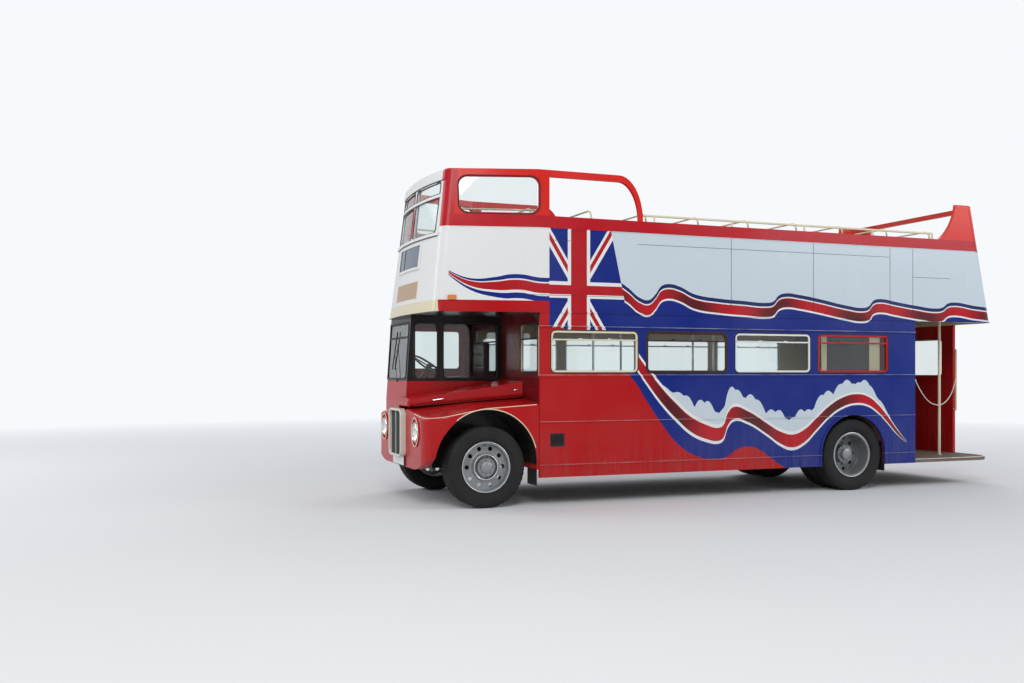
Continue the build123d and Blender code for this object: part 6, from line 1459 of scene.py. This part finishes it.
@dataclass
class LowerTrim:
    """Window frames and vents, seals, panel joints, the black vent panel and the rear window."""

    frame_y: float = 1.2005
    frame_depth: float = 0.0175
    frame_width: float = 0.024
    vent_z: float = 1.945
    catch_x: float = 0.19
    catch_half: float = 0.02
    joints_x: tuple[float, ...] = (1.429, 0.171, -1.087, -2.345)
    arch_reach: Pair = (-1.718, 0.66)
    vent_panel: tuple[Pair, Pair] = ((2.456, 0.695), (2.637, 0.848))
    board_z: Pair = (1.544, 2.068)
    rear_middle: Pair = (-0.180, 1.780)

    def windows(self) -> None:
        """Frames inside each opening with a bar below the vents and two catches, and a rubber round the outside."""
        for side, name in SIDES:
            rubber = Piece(f"lower_window_rubber_{name}")
            normal, y = (0, side, 0), side * self.frame_y
            for number, (middle, style) in enumerate(zip(WINDOW_MIDDLES, WindowStyle), 1):
                casing = Piece(f"lower_window_frame_{name}_{number}")
                loop = on_side(window_loop(middle, self.frame_width / 2), y)
                casing.strip(loop, round_bar(self.frame_depth, self.frame_width, 0.004), normal, True)
                bars = [(middle, WINDOW_HALF[0] - 0.010, self.vent_z, round_bar(self.frame_depth, 0.018, 0.004))]
                for x in (middle - self.catch_x, middle + self.catch_x):
                    bars.append((x, self.catch_half, self.vent_z + 0.014, round_bar(0.016, 0.012, 0.003)))
                for x, reach, z, section in bars:
                    casing.strip(((x - reach, y, z), (x + reach, y, z)), section, normal)
                casing.build(style.value if side > 0 else "aluminium")
                loop = on_side(window_loop(middle, -0.007), side * HALF_WIDTH)
                rubber.strip(loop, bead_section(0.014, 0.004), normal, True)
            rubber.build("seal")

    def joints(self) -> None:
        """Cover strips over the joints between the side panels, in the colours of the side."""
        for side, name in SIDES:
            piece = Piece(f"lower_joint_strips_{name}")
            y = side * HALF_WIDTH
            for x in self.joints_x:
                clear = abs(x - self.arch_reach[0]) > self.arch_reach[1]
                below = ((0.492, 0.964), (0.996, 1.500)) if clear else ((1.06, 1.500),)
                for low, high in (*below, (2.112, 2.252)):
                    piece.strip(((x, y, low), (x, y, high)), box_section(0.0018, 0.012), (0, side, 0))
            piece.build("side_livery")

    def vent(self) -> None:
        """Black louvred panel low down behind the front bulkhead, on the near side."""
        (rear_x, low_z), (front_x, high_z) = self.vent_panel
        piece = Piece("side_vent_panel")
        piece.board(on_side(rounded_box(*self.vent_panel, 0.010), HALF_WIDTH - 0.001), (0, 0.003, 0))
        y = HALF_WIDTH + 0.001
        loop = on_side(rounded_box(*self.vent_panel, 0.008, inset=0.006), y)
        piece.strip(loop, bead_section(0.010, 0.005), (0, 1, 0), True)
        blade = np.array(((-0.001, -0.009), (0.010, 0.006), (0.011, 0.009), (-0.001, 0.009)))
        for z in np.linspace(low_z + 0.026, high_z - 0.026, 6):
            piece.strip(((rear_x + 0.016, y, z), (front_x - 0.016, y, z)), blade, (0, 1, 0))
        piece.build("plastic")

    def boards_in_window(self) -> None:
        """Plain dark board inside the fourth near window, between two pale side boards."""
        low_z, high_z = self.board_z
        dark, pale = Piece("window_board"), Piece("window_side_boards")
        for piece, low_x, high_x, y, thick in (
            (dark, -2.000, -1.330, 1.1655, 0.0083),
            (pale, -1.318, -1.235, 1.1665, 0.0073),
            (pale, -2.180, -2.012, 1.1665, 0.0073),
        ):
            piece.board(on_side(rounded_box((low_x, low_z), (high_x, high_z), 0.012), y), (0, thick, 0))
        dark.build("plastic")
        pale.build("inside_cream")

    def rear_window(self) -> None:
        """Rubber and frame of the lower rear window, and the blank plate on its box."""
        rubber, metal, plate = Piece("rear_window_rubber"), Piece("rear_window_frame"), Piece("rear_plate_blank")
        loop = on_x(rounded_loop(self.rear_middle, (0.440, 0.280), WINDOW_CORNER), -4.175)
        rubber.strip(loop, bead_section(0.020, 0.006), (-1, 0, 0), True).build("seal")
        loop = on_x(rounded_loop(self.rear_middle, (0.430, 0.270), 0.05), -4.158)
        metal.strip(loop, round_bar(0.015, 0.020, 0.004), (-1, 0, 0), True).build("aluminium")
        outline = on_x(rounded_loop((-0.100, 1.220), (0.262, 0.056), 0.010), -4.1905)
        plate.board(outline, (0.003, 0, 0)).build("white")

    def bulkhead(self) -> None:
        """Rubber and bars of the bulkhead's two windows, towards the front."""
        rubber, bars = Piece("bulkhead_window_rubber"), Piece("bulkhead_window_bars")
        bar_x, bar_z = BULKHEAD_X - 0.014, 1.960
        for low, high in ((0.600, 1.145), (-1.060, -0.260)):
            loop = on_x(rounded_box((low, 1.560), (high, 2.140), WINDOW_CORNER), BULKHEAD_X)
            rubber.strip(loop, bead_section(0.018, 0.006), FORWARD, True)
            ends = ((bar_x, low + 0.001, bar_z), (bar_x, high - 0.001, bar_z))
            bars.strip(ends, round_bar(0.013, 0.018, 0.004), FORWARD)
        rubber.build("seal")
        bars.build("seal")

    def build(self) -> None:
        """Make all the lower trim."""
        self.windows()
        self.joints()
        self.vent()
        self.boards_in_window()
        self.rear_window()
        self.bulkhead()


@dataclass
class UpperTrim:
    """Panel joints, window rubbers, the front's bars and wedge, the blank blind and the bay rails."""

    joint_x: tuple[float, ...] = (0.171, -1.076, -2.319, -2.704)
    joint_z: Pair = (2.345, 3.232)
    # Ends and height of each level joint
    levels: tuple[Point, ...] = (
        (1.48, 0.176, 3.105), (0.166, -1.071, 3.105), (-1.081, -2.314, 3.105), (2.62, 2.38, 3.105),
        (-2.710, -3.36, 2.850), (3.10, 1.60, 2.462),
    )  # fmt: skip
    line_size: Pair = (0.010, 0.0022)
    bay_middle: Pair = (3.2252, 3.6175)
    bay_half: Pair = (0.4592, 0.2225)
    bay_corner: float = 0.110
    rail_z: float = 3.455
    front_middle: Pair = (0.4175, 3.4775)
    front_half: Pair = (0.3725, 0.2975)
    front_normal: Point = (0.993, 0.0, 0.117)

    def joints(self) -> None:
        """Thin dark joints between the panels above the windows: upright lines and long level ones."""
        width, height = self.line_size
        for side, name in SIDES:
            piece = Piece(f"upper_panel_joints_{name}")
            normal, y = (0, side, 0), side * HALF_WIDTH
            for x in self.joint_x:
                piece.strip([(x, y, z) for z in self.joint_z], bead_section(width * 0.6, height), normal)
            for start, end, z in self.levels:
                path = on_skin(line((start, z), (end, z), 24), side, 0.0)
                piece.strip(path, bead_section(width * 0.5, height * 0.8), normal)
            piece.build("seal")

    def bays(self) -> None:
        """Rubbers of the first bay's windows, and the pale rails across them inside."""
        for side, name in SIDES:
            lean = np.array((0.26, side, 0.08))
            lean /= np.linalg.norm(lean)
            loop = on_skin(rounded_loop(self.bay_middle, self.bay_half, self.bay_corner, 10), side, -0.001)
            Piece(f"bay_window_rubber_{name}").strip(loop, bead_section(0.016, 0.005), lean, True).build("seal")
            inner = rounded_loop(self.bay_middle, np.array(self.bay_half) - 0.008, self.bay_corner, 10)
            lining = Piece(f"bay_window_lining_{name}")
            lining.strip(on_skin(inner, side, -0.020), round_bar(0.016, 0.016, 0.004), lean, True).build("crimson")
            corners = [
                (x, side * (float(skin_y(x, self.rail_z)) - inset), self.rail_z)
                for x, inset in ((2.74, 0.050), (2.74, 0.085), (3.70, 0.085), (3.70, 0.050))
            ]
            Piece(f"bay_rail_{name}").strip(eased(corners, 0.03), disc_section(0.011, 10), UP).build("cream")

    def front(self) -> None:
        """Rubbers of the front windows, dark lines by the bars, and the red wedge on the middle pillar."""
        rubber = Piece("front_window_rubber")
        for side in (-1, 1):
            loop = rounded_loop((side * self.front_middle[0], self.front_middle[1]), self.front_half, 0.040)
            rubber.strip(on_front(loop, -0.001), bead_section(0.022, 0.007), self.front_normal, True)
        for heights, reach, proud, bead in (
            ((3.590, 3.636), 0.80, -0.004, bead_section(0.014, 0.010)),
            ((3.137, 3.790), 0.86, 0.0, bead_section(0.010, 0.005)),
        ):
            for z in heights:
                rubber.strip(on_front(line((-reach, z), (reach, z), 33), proud), bead, self.front_normal)
        rubber.build("seal")
        outline = np.array(((0.0, 3.592), (-0.040, 3.225), (-0.030, 3.205), (0.030, 3.205), (0.040, 3.225)))
        Piece("front_pillar_wedge").board(on_front(outline, 0.0), (0.004, 0, 0)).build("crimson")

    def sheet(self, name: str, finish: str, half: float, heights: Pair, rows: int, proud: float) -> None:
        """A thin sheet laid on the upper front, in front of its skin by a distance."""
        y, z = np.meshgrid(np.linspace(-half, half, 25), np.linspace(*heights, rows), indexing="ij")
        Piece(name).grid(np.stack((nose_x(y, z) + proud, y, z), axis=-1)).build(finish)

    def blind(self) -> None:
        """Blank blind behind its rubber, with the bar that splits it, and the blank board below."""
        self.sheet("blind_pane", "blind", 0.425, (2.815, 3.085), 7, 0.0095)
        rubber = Piece("blind_rubber")
        loop = rounded_box((-0.415, 2.825), (0.415, 3.075), 0.015)
        rubber.strip(on_front(loop, 0.009), bead_section(0.020, 0.006), self.front_normal, True)
        bar = line((-0.170, 2.825), (-0.170, 3.075), 7)
        rubber.strip(on_front(bar, 0.009), bead_section(0.018, 0.006), self.front_normal)
        rubber.build("seal")
        self.sheet("front_blank_board", "panel_board", 0.455, (2.440, 2.640), 5, 0.0022)
        loop = on_front(rounded_loop((0.0, 2.540), (0.460, 0.105), 0.015), 0.0)
        Piece("front_board_rim").strip(loop, bead_section(0.014, 0.006), self.front_normal, True).build("cream")

    def build(self) -> None:
        """Make all the upper trim."""
        self.joints()
        self.bays()
        self.front()
        self.blind()


@dataclass
class FrontEnd:
    """Radiator grille, headlamps with oval rings, wing beads and the bonnet's fittings."""

    grille_middle: Pair = (0.0, 0.8325)
    grille_half: Pair = (0.285, 0.2925)
    grille_depth: float = 0.070
    rim: float = 0.032
    slat_pitch: float = 0.038
    slat_half: float = 0.2615
    plate_middle: Pair = (0.0, 0.494)
    lamp_y: float = 0.720
    lamp_z: float = 0.866
    bowl_r: float = 0.104
    lens_r: float = 0.105
    # Wing: its sections, the heights of its inner and outer edges there, and its edges' places
    wing_x: Point = (BULKHEAD_X, 3.450, GRILLE_X)
    wing_inner_z: Point = (1.275, 1.212, 1.122)
    wing_outer_z: Point = (1.200, 1.156, 1.027)
    wing_y: Pair = (0.262, 1.205)
    wing_corner: float = 0.300
    bead_inset: float = 0.0125
    bonnet_x: Pair = (2.776, 4.125)
    bonnet_round: float = 0.060

    def grille(self) -> None:
        """Rounded frame, upright blades with bright edges, a middle bar, the back and the blank plate."""
        node = ("radiator_grille",)
        half = np.array(self.grille_half)
        path = on_x(rounded_loop(self.grille_middle, half - self.rim / 2, 0.074, 12), GRILLE_X)
        shell = Piece("grille_frame")
        shell.strip(path, round_bar(self.grille_depth, self.rim, 0.014, 7), FORWARD, True)
        shell.build("grille_shell", "body", node)
        blades, edges = Piece("grille_blades"), Piece("grille_blade_edges")
        low, high = self.grille_middle[1] - self.slat_half, self.grille_middle[1] + self.slat_half
        for y in [side * (0.017 + (i + 0.7) * self.slat_pitch) for side in (-1, 1) for i in range(5)]:
            path = np.array(((GRILLE_X, y, low), (GRILLE_X, y, high)))
            blades.strip(path, round_bar(0.045, 0.006, 0.002), FORWARD)
            edges.strip(path + (0.0435, 0.0, 0.0), bead_section(0.007, 0.004), FORWARD)
        blades.build("chassis", "body", node)
        edges.build("wheel_dark", "body", node)
        bar = Piece("grille_middle_bar")
        bar.strip(((GRILLE_X, 0, low), (GRILLE_X, 0, high)), round_bar(0.056, 0.034, 0.010), FORWARD)
        bar.build("wheel", "body", node)
        back, plate = Piece("grille_back"), Piece("front_plate_blank")
        back.board(on_x(rounded_loop(self.grille_middle, half - 0.01, 0.08, 12), GRILLE_X), (0.006, 0, 0))
        back.board(on_x(rounded_loop(self.plate_middle, (0.265, 0.058), 0.012), GRILLE_X), (0.016, 0, 0))
        back.build("plastic", "body", node)
        plate.board(on_x(rounded_loop(self.plate_middle, (0.250, 0.050), 0.010), GRILLE_X + 0.0155), (0.003, 0, 0))
        plate.build("white", "body", node)

    def lamps(self) -> None:
        """A reflector bowl, a bulb, a domed lens and a bright ring in each wing, with the oval ring round it.

        The bowl's depth and the lens's dome go with the square of the radius.
        """
        node = ("headlamps",)
        for side, name in SIDES:
            centre = (0.0, side * self.lamp_y, self.lamp_z)
            radius = np.linspace(0.012, self.bowl_r, 12)
            inner = np.column_stack((GRILLE_X - 0.050 + 0.056 * (radius / self.bowl_r) ** 2, radius))
            bowl = np.vstack((inner, inner[::-1] + (-0.003, 0.002)))
            Piece(f"headlamp_bowl_{name}").turned(bowl, centre, "X", 48, True).build("mirror", "body", node)
            bulb = arc((GRILLE_X - 0.030, 0.0), (-0.020, 0.013), np.linspace(0, np.pi, 9))
            Piece(f"headlamp_bulb_{name}").turned(bulb, centre, "X", 16).build("chrome", "body", node)
            radius = np.linspace(0.0, self.lens_r, 14)
            front = np.column_stack((GRILLE_X + 0.012 + 0.030 * (1 - (radius / self.lens_r) ** 2), radius))
            lens = np.vstack((front, front[::-1] + (-0.004, 0.0)))
            Piece(f"headlamp_lens_{name}").turned(lens, centre, "X", 48).build("lamp_glass", "body", node)
            ring = Piece(f"headlamp_ring_{name}")
            ring.turned(disc_section(0.007, 10) * (1.2, 1.0) + (GRILLE_X + 0.010, 0.108), centre, "X", 56, True)
            ring.turned(disc_section(0.004, 8) + (GRILLE_X - 0.002, 0.1185), centre, "X", 56, True)
            ring.build("chrome", "body", node)
            oval = arc(centre[1:], (0.1425, 0.1645), np.arange(72) * 2 * np.pi / 72)
            piece = Piece(f"wing_lamp_oval_{name}")
            piece.strip(on_x(oval, GRILLE_X + 0.0125), bead_section(0.015, 0.004), FORWARD, True).build("cream")

    def wing_top(self, x: np.ndarray, y: np.ndarray) -> np.ndarray:
        """Height of a wing's top: straight lines between its three sections, falling outwards."""
        inner = np.interp(x, self.wing_x, self.wing_inner_z)
        outer = np.interp(x, self.wing_x, self.wing_outer_z)
        return inner - (inner - outer) * (y - self.wing_y[0]) / (self.wing_y[1] - self.wing_y[0])

    def beads(self) -> None:
        """Thin cream beads along the wing's crown, partly a painted highlight there, and over the front wheel arch, and
        a rubber lip in the arch.
        """
        inset, quarter = self.bead_inset, np.linspace(0, np.pi / 2, 10)
        reach, side_y = self.wing_corner - inset, self.wing_y[1]
        turn = (GRILLE_X - self.wing_corner, side_y - self.wing_corner)
        # The crown's plan with its outward direction: along the side, round the corner, across the front
        x = np.concatenate((np.linspace(2.80, 3.78, 12), turn[0] + reach * np.sin(quarter), [GRILLE_X - inset]))
        y = np.concatenate((np.full(12, side_y - inset), turn[1] + reach * np.cos(quarter), [0.62]))
        z = self.wing_top(x, y + inset) - inset
        ahead = np.concatenate((np.zeros(12), np.sin(quarter), [1.0]))
        beside = np.concatenate((np.ones(12), np.cos(quarter), [0.0]))
        for side, name in SIDES:
            normal = np.column_stack((ahead, side * beside, np.ones(len(x))))
            normal /= np.linalg.norm(normal, axis=1, keepdims=True)
            piece = Piece(f"wing_beads_{name}")
            # Crown bead: a thin cream line and a painted highlight along the crown
            piece.strip(np.column_stack((x, side * y, z)), bead_section(0.012, 0.005), normal)
            arch = arc((ARCH_X, ARCH_Z), (0.611, 0.611), np.radians(np.linspace(8, 172, 49)))
            arch = arch[(arch[:, 0] < 3.80) & (arch[:, 1] > 0.66)]
            piece.strip(on_side(arch, side * side_y), bead_section(0.012, 0.005), (0, side, 0)).build("cream")
            arch = arc((ARCH_X, ARCH_Z), (0.6035, 0.6035), np.radians(np.linspace(4, 176, 49)))
            arch = on_side(arch[arch[:, 0] < 3.86], side * 1.190)
            lip = Piece(f"wing_arch_lip_{name}")
            lip.strip(arch, round_bar(0.012, 0.006, 0.002), (0, side, 0)).build("seal")

    def bonnet_edge(self, x: np.ndarray) -> tuple[np.ndarray, np.ndarray, np.ndarray]:
        """Near edge, underside and top of the bonnet's side at a place along it."""
        share = (x - self.bonnet_x[0]) / (self.bonnet_x[1] - self.bonnet_x[0])
        return 0.695 - 0.303 * share, 1.255 - 0.115 * share, 1.447 - 0.215 * share

    def bonnet(self) -> None:
        """Bonnet handle, catch and the beads along its lower edge and its ridge, which lift with it. The lower bead's
        dark red is partly a painted shadow of the gap under the bonnet's side, and the ridge bead's cream is partly a
        painted highlight on the ridge.
        """
        handle = Piece("bonnet_handle")
        for x, length, rise in ((3.775, 0.130, 0.58), (2.86, 0.050, 0.55)):
            corners = []
            for place_at, outs in ((x - length / 2, (-0.002, 0.018)), (x + length / 2, (0.018, -0.002))):
                y, low, top = self.bonnet_edge(place_at)
                corners += [(place_at, y + out, low + (top - low) * rise) for out in outs]
            handle.strip(eased(corners, 0.010), disc_section(0.0055, 8), (0.157, 0.0, 0.988))
        handle.build("chrome", "bonnet")
        x = np.linspace(2.80, 4.06, 20)
        y, low, _ = self.bonnet_edge(x)
        # Bead on the lower edge, dark red as a painted shadow of the gap below it
        bead = Piece("bonnet_edge_bead")
        bead.strip(np.column_stack((x, y, low + 0.012)), bead_section(0.010, 0.004), (0.219, 0.976, 0.0))
        bead.build("dark_red", "bonnet")
        x = np.linspace(2.80, 3.98, 20)
        y, _, top = self.bonnet_edge(x)
        cut = self.bonnet_round * (1 - math.cos(math.radians(45)))
        # Bead on the ridge, cream as a painted highlight where the ridge rounds over
        ridge = Piece("bonnet_ridge_bead")
        ridge.strip(np.column_stack((x, y - cut, top - cut)), bead_section(0.008, 0.003), (0.12, 0.70, 0.70))
        ridge.build("cream", "bonnet")

    def irons(self) -> None:
        """Two grey bumper irons below each wing's front."""
        piece = Piece("wing_irons")
        for y in (0.88, 0.955, -0.88, -0.955):
            path = eased([(3.99, y, 0.70), (4.01, y, 0.50), (3.985, y, 0.43)], 0.04)
            piece.strip(path, box_section(0.006, 0.030), (0.98, 0, 0.18))
        piece.build("iron")

    def build(self) -> None:
        """Make the whole front end."""
        self.grille()
        self.lamps()
        self.beads()
        self.bonnet()
        self.irons()


@dataclass
class CabTrim:
    """Rubbers of the cab's windows, the screen's bar and wiper, and the door's rubber."""

    near_y: float = -0.040
    near_windows: tuple[Pair, ...] = ((2.830, 3.556), (3.622, 3.925))
    screen: Pair = (-1.080, -0.110)
    screen_normal: Point = (0.998, 0, 0.067)
    corner: float = 0.055
    shell_x: float = 4.035
    shell_lean: float = 0.070
    shell_r: float = 0.230
    door_window: tuple[Pair, Pair] = ((2.940, 1.600), (3.620, 2.130))

    def on_screen(self, line_of: np.ndarray, proud: float) -> np.ndarray:
        """Points (y, z) laid on the cab's front: it leans back and turns the far corner by a quarter circle."""
        y, z = line_of[:, 0], line_of[:, 1]
        face = self.shell_x - self.shell_lean * (z - CAB_BASE_Z) / (UPPER_BASE_Z - CAB_BASE_Z)
        past = np.minimum(y - CAB_CORNER_Y, 0.0)
        skin = face - (self.shell_r - np.sqrt(self.shell_r**2 - past**2))
        return np.column_stack((skin + proud, line_of))

    def rubbers(self) -> None:
        """Rubbers round the near windows and the screen, with the screen's bar."""
        piece = Piece("cab_window_rubber")
        bead = bead_section(0.026, 0.008)
        for rear_x, front_x in self.near_windows:
            loop = rounded_box((rear_x, CAB_SILL_Z), (front_x, CAB_HEAD_Z), self.corner)
            piece.strip(on_side(loop, self.near_y), bead, (0, 1, 0), True)
        low, high = self.screen
        loop = rounded_box((low, CAB_SILL_Z), (high, CAB_HEAD_Z), self.corner, 9)
        piece.strip(self.on_screen(loop, 0.0), bead, self.screen_normal, True)
        bar = self.on_screen(line((low + 0.002, 2.000), (high - 0.002, 2.000), 17), -0.016)
        piece.strip(bar, round_bar(0.014, 0.022, 0.005), self.screen_normal)
        piece.build("seal")

    def wiper(self) -> None:
        """Wiper: arm, blade and spindle on the screen."""
        piece = Piece("cab_wiper")
        foot = (-0.50, 1.455)
        arm = self.on_screen(line(foot, (-0.72, 1.86), 9), 0.006)
        piece.strip(arm, box_section(0.004, 0.010), self.screen_normal)
        blade = self.on_screen(line((-0.80, 1.60), (-0.64, 2.08), 9), -0.006)
        piece.strip(blade, box_section(0.012, 0.008), self.screen_normal)
        spindle = self.on_screen(np.array((foot,)), 0.0)[0]
        piece.turned(((-0.002, 0.0), (-0.002, 0.018), (0.010, 0.016), (0.014, 0.0)), spindle, "X", 20)
        piece.build("plastic")

    def door(self) -> None:
        """Rubber round the sliding door's window."""
        piece = Piece("cab_door_rubber")
        loop = rounded_box(*self.door_window, self.corner - 0.007, inset=0.007)
        piece.strip(on_side(loop, -1.243), round_bar(0.0095, 0.014, 0.003), (0, -1, 0), True)
        piece.build("seal", "cab_door")

    def build(self) -> None:
        """Make the cab's trim."""
        self.rubbers()
        self.wiper()
        self.door()


@dataclass
class PlatformTrim:
    """Platform slats and edge strip, stair nosings, rail feet and the rear lamps' rims."""

    slat_pitch: float = 0.085
    slat_height: float = 0.003
    slat_front_x: float = -2.790
    near_y: float = 1.205
    corner: float = 0.330
    step_x: float = -2.752
    wall_y: float = 0.500
    stair_near_y: float = -0.520
    stair_far_y: float = -1.1737
    stair_x: Pair = (-3.560, -2.420)
    steps: int = 10
    winders: int = 3
    winder_x: Pair = (-3.950, -3.575)
    winder_going: float = 0.170
    nosing: float = 0.014
    pole: Pair = (-3.615, 0.750)

    def edge_x(self, y: float) -> float:
        """Rear edge of the platform: straight, then a quarter circle round the near corner."""
        past = max(y - (self.near_y - self.corner), 0.0)
        return REAR_X + self.corner - math.sqrt(max(self.corner**2 - past**2, 0.0))

    def edge_path(self, inset: float) -> np.ndarray:
        """The platform's open edge, inside it by an inset: along the side, round the corner, along the rear."""
        reach = self.corner - inset
        turns = np.linspace(np.pi / 2, np.pi, 16)
        turn = arc((REAR_X + self.corner, self.near_y - self.corner), (reach, reach), turns)
        plan = np.vstack(([[self.step_x, self.near_y - inset]], turn, [[REAR_X + inset, self.wall_y]]))
        return on_top(plan, PLATFORM_Z)

    def platform(self) -> None:
        """Raised slats along the platform, a bright strip that follows its open edge and a red kerb on it."""
        slats = Piece("platform_slats")
        rows = [(y, self.edge_x(y) + 0.045) for y in np.arange(0.53, 1.17, self.slat_pitch)]
        rows += [(y, -4.110) for y in np.arange(-1.03, self.wall_y, self.slat_pitch) if y > -0.50]
        for y, rear_x in rows:
            ends = ((self.slat_front_x, y, PLATFORM_Z), (rear_x, y, PLATFORM_Z))
            slats.strip(ends, round_bar(self.slat_height, 0.045, 0.0015, 3), UP)
        slats.build("platform_boards")
        Piece("platform_edge_strip").strip(self.edge_path(0.016), round_bar(0.006, 0.030, 0.003), UP).build("aluminium")
        face = np.array(((0.0005, 0.002), (0.0005, -0.0038), (-0.0425, -0.0038), (-0.0425, 0.002)))
        Piece("platform_kerb").strip(self.edge_path(0.004), face, UP).build("dark_red")

    def stairs(self) -> None:
        """White nosings on the stair treads and on the saloon step."""
        nosings = Piece("stair_nosings")
        rise = (UPPER_FLOOR_Z - PLATFORM_Z) / self.steps
        going = (self.stair_x[1] - self.stair_x[0]) / 6
        for index in range(self.steps - 1):
            top = PLATFORM_Z + (index + 1) * rise
            if index < self.winders:
                y = self.stair_near_y - index * self.winder_going - self.nosing
                ends = [(x, y, top) for x in self.winder_x]
            else:
                x = self.stair_x[0] + (index - self.winders) * going + self.nosing
                ends = ((x, self.stair_far_y + 0.02, top), (x, self.stair_near_y - 0.01, top))
            nosings.strip(ends, round_bar(0.004, 0.026, 0.002, 3), UP)
        ends = ((-2.760, -0.50, LOWER_FLOOR_Z), (-2.760, 1.150, LOWER_FLOOR_Z))
        nosings.strip(ends, round_bar(0.004, 0.022, 0.002, 3), UP).build("cream")

    def feet(self) -> None:
        """Round feet where the rail posts and the platform pole meet the bodywork."""
        flange = Piece("rail_feet")
        profile = ((0.0, 0.010), (0.0, 0.026), (0.004, 0.026), (0.010, 0.016), (0.010, 0.010))
        for side, _ in SIDES:
            for x in (1.250, 0.150, -0.950, -2.050, -3.060):
                flange.turned(profile, (x, side * 1.1965, BAND_TOP_Z), "Z", 20, True)
        wide = ((0.0, 0.018), (0.0, 0.046), (0.004, 0.046), (0.012, 0.026), (0.018, 0.021), (0.018, 0.018))
        for way, z in ((1, PLATFORM_Z), (-1, 2.420)):
            flange.turned(np.array(wide) * (way, 1), (*self.pole, z), "Z", 28, True)
        flange.build("aluminium")

    def rear_lamps(self) -> None:
        """Bright rims round the red rear lamps."""
        rims = Piece("rear_lamp_rims")
        for y in (-0.960, 0.380):
            rims.turned(disc_section(0.004, 8) + (-4.178, 0.051), (0, y, 0.960), "X", 40, True)
        rims.build("chrome")

    def build(self) -> None:
        """Make the platform's and the stairs' trim."""
        self.platform()
        self.stairs()
        self.feet()
        self.rear_lamps()


def main() -> None:
    """Build the classes in order."""
    logging.basicConfig(level=logging.INFO, format="%(name)s %(message)s")
    for assembly in (
        Studio(), BarrierRope(), Coachwork(), RoadWheels(), DeckSeats(), LowerTrim(), UpperTrim(), FrontEnd(),
        CabTrim(), PlatformTrim(),
    ):  # fmt: skip
        assembly.build()


if __name__ == "__main__":
    main()
